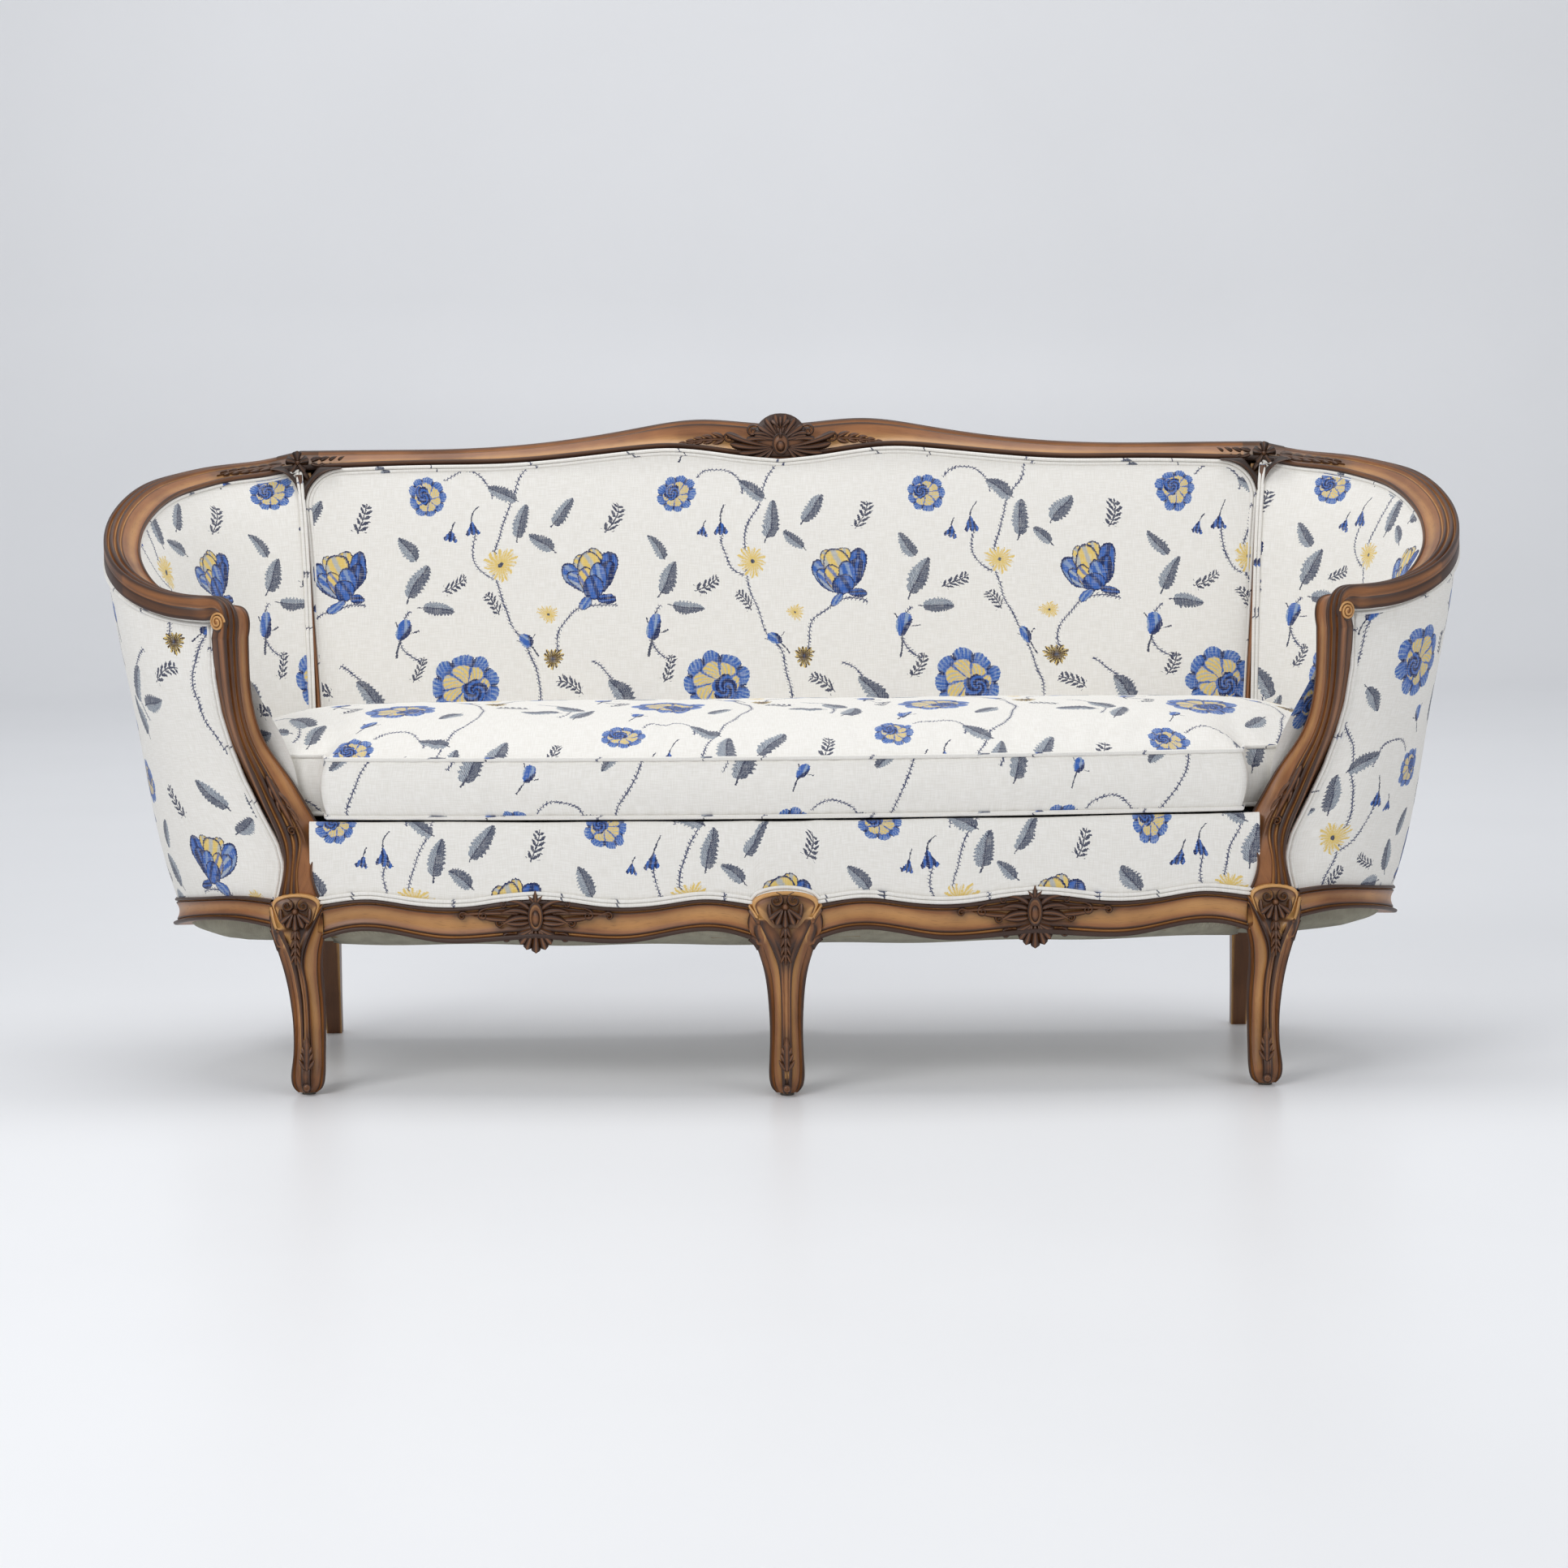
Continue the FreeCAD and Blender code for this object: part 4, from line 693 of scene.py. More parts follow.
SIDE_PETALS = [(-0.50, 0.10, 26, 0.62, 0.34, BLUE, PALE_BLUE), (0.52, 0.10, -26, 0.64, 0.34, BLUE, NAVY),
               (-0.24, 0.56, 20, 0.30, 0.26, GOLD, PALE_SLATE),
               (0.24, 0.56, -20, 0.30, 0.26, GOLD, PALE_SLATE),
               (0.0, 0.34, 0, 0.50, 0.42, GOLD, PALE_SLATE),
               (-0.40, -0.10, 34, 0.50, 0.26, BLUE, PALE_SLATE),
               (0.42, -0.10, -34, 0.52, 0.27, NAVY, BLUE), (-0.17, -0.10, 12, 0.46, 0.28, GOLD, BLUE),
               (0.20, -0.12, -12, 0.48, 0.29, BLUE, PALE_BLUE), (0.0, -0.36, 0, 0.36, 0.34, BLUE, NAVY),
               (-0.34, -0.80, 118, 0.30, 0.16, BLUE, PALE_BLUE),
               (0.36, -0.80, -116, 0.30, 0.16, NAVY, BLUE)]


def woven(paint, cloth, places):
    """Places on the cloth seen from the nearest of several motifs, each (x, y, angle, size)."""
    best = None
    for x, y, angle, size in places:
        here = paint.motif_place(cloth, x, y, angle, size)
        reach = paint.length(here)
        if best is None:
            best, shortest = here, reach
        else:
            nearer = reach.below(shortest)
            best = paint.choose(nearer, best, here)
            shortest = shortest.least(reach)
    return best


def leaves(paint, cloth, colour):
    """Serrated leaves, dark on one half and pale on the other, with slanting veins."""
    x, y, _ = paint.split(woven(paint, cloth, LEAVES))
    side = x.abs()
    width = (1.0 - y * y).most(0.0).sqrt() * (0.50 - y * 0.14)
    tooth = (y * 4.6 - side * 3.0).fraction()
    inside = side.below(width * (1.04 - tooth * 0.30))
    vein = (y * 9.2 - side * 9.0).fraction().ramp(0.35, 0.75)
    shade = (vein * 0.8 + x.ramp(-0.12, 0.10) * 0.62 + side.below(0.04)).clamped()
    stalk = side.below(0.04) * (y + 0.2).abs().below(1.15)
    colour = paint.mix(inside, colour, paint.mix(shade, PALE_SLATE, SLATE))
    return paint.mix(stalk, colour, SLATE)


def sprigs(paint, cloth, colour):
    """Little stalks with slanting pairs of narrow leaves."""
    x, y, _ = paint.split(woven(paint, cloth, SPRIGS))
    side = (x + y * y * 0.16).abs()
    pair = ((y - side * 0.9) * 2.3).fraction() - 0.5
    blade = (side * (3.1416 / 0.52)).sin() * 0.34
    leaflet = pair.abs().below(blade) * side.below(0.52) * (y + 0.1).abs().below(1.0)
    stalk = side.below(0.045) * (y + 0.15).abs().below(1.15)
    return paint.mix(leaflet.most(stalk), colour, SLATE)


def stars(paint, cloth, colour, places, bright, dark):
    """Starry blossoms of many narrow petals."""
    x, y, _ = paint.split(woven(paint, cloth, places))
    reach = paint.hypotenuse(x, y)
    angle = y.math("ARCTAN2", x)
    rays = (angle * 6.5 + reach * 0.8).cos().abs()
    petal = (angle * 3.0).sin() * 0.10 + rays.power(0.6) * 0.42 + 0.46
    streak = (angle * 21.0 + reach * 5.0).sin()
    streaked = (streak.ramp(-0.1, 0.5) * reach.ramp(0.15, 0.75)).clamped()
    flower = paint.mix(streaked, bright, dark)
    flower = paint.mix(reach.below(0.12), flower, SLATE)
    return paint.mix(reach.below(petal), colour, flower)


def buds(paint, cloth, colour):
    """Closed buds with hooked sepals and a stalk."""
    x, y, _ = paint.split(woven(paint, cloth, BUDS))
    reach = paint.hypotenuse(x, y + 0.45)
    angle = (y + 0.45).math("ARCTAN2", x)
    sepal = (angle * 3.5).cos().abs().below(0.16) * reach.below(1.2) * y.ramp(-0.2, -0.1)
    stalk = (x + y * 0.08).abs().below(0.07) * (y + 1.3).abs().below(0.8)
    body = paint.hypotenuse(x * 1.35, y * 0.92)
    streak = (x * 9.0 + y * 2.0).sin()
    bloom = paint.mix(streak.ramp(0.2, 0.8), BLUE, PALE_BLUE)
    bloom = paint.mix((x * 2.0 - y * 0.8).ramp(0.25, 0.6), bloom, NAVY)
    colour = paint.mix(sepal.most(stalk), colour, SLATE)
    return paint.mix(body.below(0.72), colour, bloom)


def bells(paint, cloth, colour):
    """Small bellflowers that hang from a bent stalk."""
    x, y, _ = paint.split(woven(paint, cloth, BELLS))
    drop = (0.55 - y).most(0.0)
    width = (drop * 1.9).sqrt() * 0.28 + drop * drop * 0.26
    hem = (x * 6.3).cos().abs() * -0.28 - 0.55
    inside = x.abs().below(width) * hem.below(y) * y.below(0.55)
    fold = (x * 14.0).sin().ramp(-0.3, 0.5)
    stalk = ((y - 0.5) * (y - 0.5) * 0.25 - x).abs().below(0.07) * (y - 1.3).abs().below(0.8)
    colour = paint.mix(stalk, colour, SLATE)
    return paint.mix(inside, colour, paint.mix(fold, NAVY, BLUE))


def full_roses(paint, cloth, colour):
    """Wide roses: scalloped blue petals round a golden ring and a dark turned heart."""
    x, y, _ = paint.split(woven(paint, cloth, ROSES))
    reach = paint.hypotenuse(x, y)
    angle = y.math("ARCTAN2", x)
    lobe = (angle * 4.5).cos().abs()
    rim = lobe.power(0.45) * 0.20 + 0.80
    threads = (angle * 46.0 + reach * 9.0).sin()
    outer = paint.mix(threads.ramp(0.0, 0.6) * reach.ramp(0.62, 0.95), BLUE, PALE_BLUE)
    outer = paint.mix(lobe.ramp(0.42, 0.16).most(reach.ramp(0.72, 0.60)), outer, NAVY)
    turned = (angle * 3.5 + 0.9).cos().abs()
    ring = turned.power(0.5) * 0.14 + 0.56
    gold = paint.mix((angle * 23.0 - reach * 30.0).sin().ramp(0.1, 0.5) * 0.8, GOLD, PALE_SLATE)
    gold = paint.mix(turned.ramp(0.36, 0.12).most((ring - reach).ramp(0.06, 0.02)), gold, BLUE)
    middle = paint.hypotenuse(x - 0.16, y + 0.20)
    twist = (y + 0.20).math("ARCTAN2", x - 0.16)
    swirl = (middle * 34.0 + twist * 3.0).sin()
    heart = paint.mix(swirl.ramp(0.0, 0.4), NAVY, BLUE)
    edge = (twist * 2.5).cos().abs() * 0.07 + 0.33
    flower = paint.mix(reach.below(ring), outer, gold)
    flower = paint.mix(middle.below(edge), flower, heart)
    return paint.mix(reach.below(rim), colour, flower)


def side_roses(paint, cloth, colour):
    """A rose seen from the side: long petals folded round a golden heart."""
    here = woven(paint, cloth, SIDE_ROSES)
    for x, y, angle, length, width, first, second in SIDE_PETALS:
        petal = paint.mapped(here, (x, y), angle, (width, length))
        across, along, _ = paint.split(petal)
        reach = paint.hypotenuse(across, along)
        fold = (across * 7.0 + along * 2.2).sin().ramp(-0.2, 0.7) * 0.85
        tone = paint.mix(fold, first, second)
        tone = paint.mix(reach.ramp(0.84, 0.93), tone, NAVY)
        colour = paint.mix(reach.below(1.0), colour, tone)
    return colour


def thorny_line(paint, colour, offset, along, width=1.0):
    """A stem with short slanting thorns, from its distance and its running length in metres."""
    far = offset.abs()
    stem = far.below(0.0009 * width)
    thorn = (along * 190.0 + offset * 150.0).fraction().below(0.24) * far.below(0.0032 * width)
    return paint.mix(stem.most(thorn), colour, STEM)


def stems(paint, cloth, colour):
    """One thorny stem that winds up through every repeat, and the arcs that branch from it."""
    x, y, _ = paint.split(paint.wrapped(cloth, 0.0, 0.0))
    place, swing, phase = MEANDER
    wave = (y * (2 * math.pi / CLOTH_REPEAT_Y) + phase).sin()
    colour = thorny_line(paint, colour, x - (wave * swing + place), y)
    for centre_x, centre_y, radius, middle, spread, width in STEM_ARCS:
        x, y, _ = paint.split(paint.wrapped(cloth, centre_x * MM, centre_y * MM))
        angle = (y.math("ARCTAN2", x) - math.radians(middle)).wrapped(-math.pi, math.pi)
        offset = paint.hypotenuse(x, y) - radius * MM
        within = angle.abs().below(math.radians(spread))
        arc = thorny_line(paint, colour, offset, angle * (radius * MM), width)
        colour = paint.mix(within, colour, arc)
    return colour


def linen_material():
    """Off-white linen, woven with winding thorny stems, roses, buds and leaves."""
    paint = Paint("floral_linen", 0.85, 0.25)
    straight = paint.cloth()
    u, v, _ = paint.split(straight)
    slubs = paint.noise(paint.joined(u * 900.0, v * 60.0), detail=0.0, dimensions="2D")
    slubs_up = paint.noise(paint.joined(u * 60.0, v * 900.0), detail=0.0, dimensions="2D")
    threads = slubs * 0.5 + slubs_up * 0.5
    colour = paint.mix(threads.ramp(0.35, 0.7), CREAM, CREAM_SHADE)
    cloth = paint.drift(paint.drift(straight, 24.0, 0.011), 420.0, 0.0022)
    for motif in (stems, sprigs, leaves, bells, buds):
        colour = motif(paint, cloth, colour)
    colour = stars(paint, cloth, colour, GOLD_STARS, GOLD, CREAM_SHADE)
    colour = stars(paint, cloth, colour, BROWN_STARS, BROWN, GOLD)
    colour = side_roses(paint, cloth, colour)
    colour = full_roses(paint, cloth, colour)
    colour = paint.mix(threads.ramp(0.50, 0.70) * 0.22, colour, CREAM)
    paint.colour(colour)
    weave = (u * 5700.0).sin() * (v * 5700.0).sin()
    paint.bump(weave * 0.5 + threads * 0.6, 0.0003, 0.5)
    paint.shader.inputs["Sheen Weight"].default_value = 0.15
    return paint.material


WOOD = wood_material("carved_walnut")
# A copy of the walnut painted darker as shade, for the corner blocks, spandrels, corner flowers and the leaf
# on the wing's inner slope
SHADED_WOOD = wood_material("carved_walnut_shaded", 0.76)
LINEN = linen_material()
PLAIN_WALNUT = plain_material("plain_walnut", srgb(146, 92, 50), 0.5, 0.0, 0.0003)
BEECH = plain_material("plain_beech", srgb(150, 108, 66), 0.6, 0.0, 0.0004)
JUTE = plain_material("jute_webbing", srgb(150, 126, 92), 0.9, 0.8, 0.0006)
STEEL = plain_material("spring_steel", srgb(96, 92, 86), 0.45)
DUST_CLOTH = plain_material("dust_cloth", srgb(168, 164, 146), 0.9, 0.7, 0.0004)
STEEL.node_tree.nodes["Principled BSDF"].inputs["Metallic"].default_value = 0.9


# Guide curves of the frame

def crest_points():
    """The top line of the back, with its two shoulders, bowed a little in plan."""
    shoulder = CREST_PEAK_X
    end = CORNER_X - CORNER_INNER
    rises = [(0, CREST_MIDDLE), (0.4 * shoulder, CREST_MIDDLE + 4), (shoulder, CREST_PEAK)]
    for share, rise in ((0.17, 0.69), (0.34, 0.32), (0.51, 0.09), (0.68, 0), (0.85, 0), (1, 0)):
        rises.append((shoulder + (end - shoulder) * share, CREST_PEAK * rise))
    return [(x, BACK_Y - BACK_BOW * (x / CORNER_X) ** 2, RAIL_TOP + rise) for x, rise in rises]


def crest_face(x):
    """Height of the moulded face of the back rail."""
    shoulder = CREST_PEAK_X
    end = CORNER_X - CORNER_INNER
    extra = [(0, 26), (0.6 * shoulder, 25), (shoulder, 20.8), (1.4 * shoulder, 13.8)]
    for share, more in ((0.17, 9), (0.34, 4.2), (0.51, 2.2), (0.68, -0.4), (0.85, 1), (1, 4)):
        extra.append((shoulder + (end - shoulder) * share, more))
    return RAIL_FACE + graph(extra, x)


CREST = Curve(crest_points())
CREST_LINE = CREST.at(np.linspace(0, 1, 800))
CORNER = (CORNER_X, BACK_Y - BACK_BOW - 3, RAIL_TOP)
WING = Curve([
    CORNER,
    blend(CORNER, WIDEST, 0.25, 0.07, 0.15),
    blend(CORNER, WIDEST, 0.50, 0.18, 0.22),
    blend(CORNER, WIDEST, 0.73, 0.36, 0.34),
    blend(CORNER, WIDEST, 0.87, 0.56, 0.47),
    blend(CORNER, WIDEST, 0.96, 0.78, 0.70),
    WIDEST,
    blend(WIDEST, ARM_SEAM, 0.09, 0.36, 0.36),
    blend(WIDEST, ARM_SEAM, 0.45, 0.73, 0.70),
    ARM_SEAM,
    blend(ARM_SEAM, ARM_FRONT, 0.36, 0.55, 0.64),
    blend(ARM_SEAM, ARM_FRONT, 0.70, 0.85, 0.93),
    ARM_FRONT,
])
CORNER_SEAM = WING.find(0, CORNER_X + CORNER_OUTER, 0, 0.2)
SEAM = WING.knots[9]
POST = Curve([
    (648, 502, 0),
    (650, POST_SEAT[1] + 14, 0.48 * SEAT_RAIL_TOP),
    (POST_SEAT[0], POST_SEAT[1], 0.85 * SEAT_RAIL_TOP),
    (POST_SEAT[0], POST_SEAT[1] + 1, SEAT_RAIL_TOP + 20),
    (POST_SEAT[0] + 5, POST_SEAT[1] + 27, 0.56 * RAIL_TOP),
    (0.5 * (POST_SEAT[0] + CORNER_X) - 1, POST_SEAT[1] + 64, 0.75 * RAIL_TOP),
    (CORNER_X - 8, POST_SEAT[1] + 94, 0.915 * RAIL_TOP),
    (CORNER_X - 3, POST_SEAT[1] + 104, RAIL_TOP - RAIL_FACE - 8),
])
LEG_CORNER = (LEG_OUTER_X - 14, -2, SEAT_RAIL_TOP + 4)
POST_CORNER = (POST_SEAT[0] + 10, SEAT_BACK_Y - 8, SEAT_RAIL_TOP)
SIDE = Curve([
    LEG_CORNER,
    blend(LEG_CORNER, SEAT_SIDE, 0.32, 0.12, -0.2),
    blend(LEG_CORNER, SEAT_SIDE, 0.52, 0.25, -0.05),
    blend(LEG_CORNER, SEAT_SIDE, 0.72, 0.44, 0.25),
    blend(LEG_CORNER, SEAT_SIDE, 0.93, 0.76, 0.7),
    SEAT_SIDE,
    blend(SEAT_SIDE, POST_CORNER, 0.13, 0.42, 0.3),
    blend(SEAT_SIDE, POST_CORNER, 0.50, 0.78, 0.7),
    POST_CORNER,
])
POST_LINE = POST.at(np.linspace(0, 1, 900))
CLOTH_START = CORNER_SEAM * 0.3     # where the cloth of the sides starts and ends along the wing
INNER_CLOTH_END = 0.985
OUTER_CLOTH_END = 0.992


def crest_at(x, axis):
    """Plan (axis 1) or height (axis 2) of the back's top line at a place across."""
    return np.interp(x, CREST_LINE[:, 0], CREST_LINE[:, axis])


def post_at(z):
    """Middle of the back post at a height."""
    x, y = (np.interp(z, POST_LINE[:, 2], POST_LINE[:, i]) for i in range(2))
    return np.array([x, y, z])


def ridge_front(z):
    """Front of the parting ridge at a height."""
    return post_at(z) - np.array([0, POST_SIZE / 2 + RIDGE_DEPTH, 0])


def front_y(x):
    """Plan of the front of the seat."""
    return -FRONT_BOW * (1 - (np.asarray(x, float) / FRONT_REACH) ** 2)


# The moulding of the show rails: three ridges, a wide cove, a bead by the cloth and a plain outer band

def rail_profile(face=RAIL_FACE, band=RAIL_BAND):
    """Section as (out, up) pairs, and softened so that the ridges shine."""
    low = 7.0 - face
    drop = -4.0 - low
    ridges = [(2.5, -5), (2.4, -1.6), (0.6, 0.6), (-1.4, 0.4), (-2.7, -1.6), (-3.2, -4.6), (-4.4, -4.6),
              (-5.0, -1.2), (-6.8, 1.0), (-8.8, 1.2), (-10.8, 0), (-11.8, -4.0), (-13.2, -4.0), (-14.0, -1.0),
              (-15.6, 0.8), (-17.4, 0.4), (-18.8, -1.8), (-19.6, -6.0), (-21.0, -6.0)]
    cove = [(-22, -4.4), (-24, -4.4 - 0.16 * drop)]
    cove += [(out, -4 - share * drop) for out, share in ((-28, 0.46), (-33, 0.80), (-38, 0.97))]
    inner = [(3.8, low), (3.2, low - 0.8), (2.8, low + 0.6), (1.2, low + 2.0), (-0.6, low + 0.8),
             (-1.2, low - 1.6), (-0.2, 3 - face), (1.0, -face), (15, -face - 1), (22, -band)]
    bead = [(out - RAIL_WIDTH, up) for out, up in inner]
    side = [(0.6, -band), (2.2, -band + 1.2), (BAND_SWELL, -band + 3), (BAND_SWELL, -0.50 * band),
            (BAND_SWELL - 1.4, -0.45 * band), (BAND_SWELL, -0.40 * band), (BAND_SWELL, -0.25 * band)]
    return softened(ridges + cove + bead + side, 1, closed=True)


def wing_sections(ts):
    """Sections of the rail along the wing and arm."""
    profile = rail_profile()
    outwards = outward_of(WING.heading(ts))
    return WING.at(ts)[:, None] + profile[None, :, 0:1] * outwards[:, None] + profile[None, :, 1:2] * UP


def crest_rail():
    """The back rail, which rises to a double shoulder and dips behind the shell."""
    end = CORNER_X - CORNER_INNER
    xs = np.unique(np.concatenate([np.linspace(0, 200, 40), np.linspace(200, end, 50)]))
    points = np.stack([xs, crest_at(xs, 1), crest_at(xs, 2)], axis=1)
    right = []
    for point, face in zip(points, crest_face(xs)):
        profile = rail_profile(face)
        right.append(point + profile[:, 0:1] * BACKWARDS + profile[:, 1:2] * UP)
    right = np.array(right)
    left = right[::-1] * (-1, 1, 1)
    rail = swept("crest_rail_sweep", np.concatenate([left, right[1:]]), WOOD, flip=True)
    rail = carved_onto("crest_rail_carved", rail, crest_carving())
    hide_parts("crest_rail")
    return [rail]


def corner_block():
    """The turn of the moulding from the back rail into the wing."""
    end = CREST.at(1.0)
    face = float(crest_face(CORNER_X - CORNER_INNER))
    profile = rail_profile(face)
    last_out = outward_of(WING.heading(CORNER_SEAM))
    stations = [(end, BACKWARDS, profile), (WING.at(0.0), unit(BACKWARDS + last_out), profile),
                (WING.at(CORNER_SEAM), BACKWARDS / last_out[1], rail_profile())]
    rows = [point + section[:, 0:1] * out + section[:, 1:2] * UP for point, out, section in stations]
    first, middle, last = rows
    shares = np.linspace(0, 1, 9)
    sections = [first + (middle - first) * share for share in shares]
    sections += [middle + (last - middle) * share for share in shares[1:]]
    # the corner block is painted in the shaded copy of the walnut
    return swept("corner_block", sections, SHADED_WOOD, flip=True)


def spandrel(radius, side):
    """Wood that rounds the upper corner of a cloth panel, with a bead along its edge."""
    top = RAIL_TOP - RAIL_FACE - 2
    foot = ridge_front(top - radius)
    head = ridge_front(top)
    across = np.array([-1.0, 0, 0]) if side < 0 else np.array([0.9, -0.43, 0])
    angles = np.linspace(0, math.pi / 2, 24)
    edge = []
    for angle in angles:
        reach = RIDGE_WIDTH / 2 + radius * (1 - math.cos(angle))
        edge.append(foot + (head - foot) * math.sin(angle) + across * reach)
    edge = np.array(edge)
    inner = []
    for angle in angles:
        share = angle / (math.pi / 2)
        spine = foot + (head - foot) * 1.04 * min(1.0, 1.6 * share)
        inner.append(spine + across * (RIDGE_WIDTH / 2 + radius) * max(0.0, (share - 0.3) / 0.7))
    inner = np.array(inner)
    rows = []
    for share, lift in ((0.0, -11), (0.0, 0.5), (0.04, 2.4), (0.10, 2.6), (0.15, 0.6), (0.2, -0.8),
                        (0.6, -2.5), (1, -3)):
        rows.append(edge + (inner - edge) * share - BACKWARDS * lift)
    rows.append(inner + BACKWARDS * (RIDGE_DEPTH + 8))
    # the spandrel is painted in the shaded copy of the walnut
    return swept("spandrel", np.array(rows), SHADED_WOOD, closed=False, flip=side > 0)


def parting_ridge():
    """The moulded ridge between the back and the wing."""
    half = [(3.2, 10), (3.2, 2), (2.6, 0.4), (1.2, 0.6)]
    profile = softened([(-x, y) for x, y in half] + [(0, -1.2)] + half[::-1], 2)
    sections = []
    for z in np.linspace(DECK_TOP - 10, RAIL_TOP - RAIL_FACE - 10, 40):
        nose = ridge_front(z)
        width = 1 + 0.5 * max(0.0, (z - 700) / 110)
        sections.append(nose + profile[:, 0:1] * (width, 0, 0) + profile[:, 1:2] * BACKWARDS)
    return swept("parting_ridge", sections, WOOD, closed=False, flip=True)


def rear_leg():
    """The square raked leg at the back, and the stile above it."""
    sections = []
    for z in np.concatenate([np.linspace(0, 206, 24), np.linspace(225, RAIL_TOP - RAIL_FACE - 8, 30)]):
        size = np.interp(z, [0, 60, 125, 194, 206, 663, 763, 800], [0.55, 0.64, 0.78, 0.95, 1, 1, 0.9, 0.8])
        centre = post_at(z)
        corners = [(-1, -1), (1, -1), (1, 1), (-1, 1)]
        outline = []
        for i, (a, b) in enumerate(corners):
            before = corners[i - 1]
            after = corners[(i + 1) % 4]
            for other, share in ((before, 0.08), (before, 0.025), (after, 0.025), (after, 0.08)):
                outline.append((a + (other[0] - a) * share, b + (other[1] - b) * share))
        outline = resampled(np.array(outline + outline[:1]) * size * POST_SIZE / 2, 73)[:-1]
        sections.append(centre + np.column_stack([outline, np.zeros(len(outline))]))
    piece = swept("rear_post_stile", sections, WOOD)
    # painted shade over the whole rear post
    set_painted_shade(piece, np.full(len(piece.data.vertices), 0.75))
    return piece


def rear_posts():
    """Each rear leg with its stile, the corner block on top and the ridge in front."""
    post = joined("rear_post_parts", [rear_leg(), corner_block(), spandrel(CENTRE_CORNER_RADIUS, -1),
                                      spandrel(SIDE_CORNER_RADIUS, 1), parting_ridge()])
    post = carved_onto("rear_post_right_carved", post, [corner_carving()], 16.0)
    return both_sides(post, "rear_post")


def wing_rails():
    """The rails that sweep from the corners outwards and down to the arms."""
    rail = swept("wing_rail_sweep", wing_sections(np.linspace(CORNER_SEAM, SEAM, 90)), WOOD, flip=True)
    rail = carved_onto("wing_rail_right_carved", rail, [wing_carving()], 10.0)
    return both_sides(rail, "wing_rail")


def turned_section(point, turn, tilt, profile):
    """A section whose band faces forwards, turned outwards about Z, with its top tilted over."""
    turn = math.radians(turn)
    tilt = math.radians(tilt)
    outward = np.array([math.sin(turn), -math.cos(turn), 0])
    ahead = np.array([-math.cos(turn), -math.sin(turn), 0])
    upward = UP * math.cos(tilt) + ahead * math.sin(tilt)
    return point + profile[:, 0:1] * outward + profile[:, 1:2] * upward


def knuckle_stations():
    """Where the rail turns down at the arm's end: place, turn, tilt and thickness."""
    top = np.array(SUPPORT_TOP)
    rise = ARM_FRONT[2] - top[2]
    return [(top + (9.5, 8, 0.95 * rise), 27, 20, 0.84), (top + (1, 2, 0.76 * rise), 37, 55, 0.62),
            (top + (-1.5, -1, 0.44 * rise), 46, 80, 0.78), (top, SUPPORT_TURN, 90, 1)]


def eased(sections, count):
    """More sections between those given, along smooth tracks of their corners."""
    sections = np.asarray(sections, float)
    rows, columns = sections.shape[:2]
    shares = np.linspace(0, rows - 1, count)
    result = np.empty((count, columns, 3))
    for corner in range(columns):
        track = Curve(sections[:, corner])
        places = np.interp(shares, np.arange(rows), track.knots)
        result[:, corner] = track.at(places)
    return result


def volute():
    """The spiral on the outer side of the arm's knuckle, with a round eye."""
    centre, turn = knuckle_stations()[2][:2]
    turn = math.radians(turn - 12)
    outward = np.array([math.sin(turn), -math.cos(turn), 0])
    across = np.array([math.cos(turn), math.sin(turn), 0])
    middle = centre + across * 14 - UP * 2 - outward * 4
    path = []
    for share in np.linspace(0, 1, 90):
        angle = math.pi - 2 * math.pi * 2.25 * share
        radius = 12.0 * (1 - 0.80 * share)
        path.append(middle + outward * (5.2 + 2.2 * share)
                    + (across * math.cos(angle) + UP * math.sin(angle)) * radius)
    bead = tube("volute_bead", path, 1.7, WOOD, sides=10)
    rings = []
    for radius, lift in ((13.6, -6), (13.6, 3.4), (12.6, 4.6), (8, 4.8), (3, 6.8), (0.1, 8.2)):
        angles = np.linspace(0, 2 * math.pi, 49)[:-1]
        rings.append([middle + outward * lift + (across * math.cos(a) + UP * math.sin(a)) * radius
                      for a in angles])
    return joined("volute", [swept("volute_disc", rings, WOOD, caps=False, flip=True), bead])


def arm_rails():
    """The end of the top rail, down to the joint with the arm support."""
    sections = list(wing_sections(np.linspace(SEAM, 1, 8)))
    for point, turn, tilt, thin in knuckle_stations():
        profile = rail_profile(RAIL_FACE * (0.3 + 0.7 * thin), RAIL_BAND * thin)
        sections.append(turned_section(point, turn, tilt, profile))
    arm = swept("arm_rail_sweep", eased(sections, 90), WOOD, flip=True)
    arm = joined("arm_rail_right_carved", [arm, volute()])
    return both_sides(arm, "arm_rail")


# The arm support from the top down: share of its height, outer edge, inner edge, front, and turn
SUPPORT_ROWS = [(0.86, 737, 694, -24, 48), (0.715, 731, 690, -10, 44), (0.59, 720, 676, 0, 38),
                (0.47, 705, 648, 3, 30), (0.345, 684, 621, 1, 20), (0.225, 662, 605, -4, 10),
                (0.145, 654.5, 616, -7, 4), (0.08, 657, 614, -8, 0), (0, 664, 603, -9, 0)]


def support_at(z):
    """The arm support's outer edge, inner edge and front at a height."""
    share = (z - SEAT_RAIL_TOP) / (SUPPORT_TOP[2] - SEAT_RAIL_TOP)
    table = np.array(SUPPORT_ROWS)[::-1]
    return [np.interp(share, table[:, 0], table[:, i]) for i in (1, 2, 3)]


def support_edge(z):
    """Where the outer cloth tucks behind the arm support at a height."""
    outer, _, front = support_at(z)
    return np.array([outer - 1.5, front + 19.0, z])


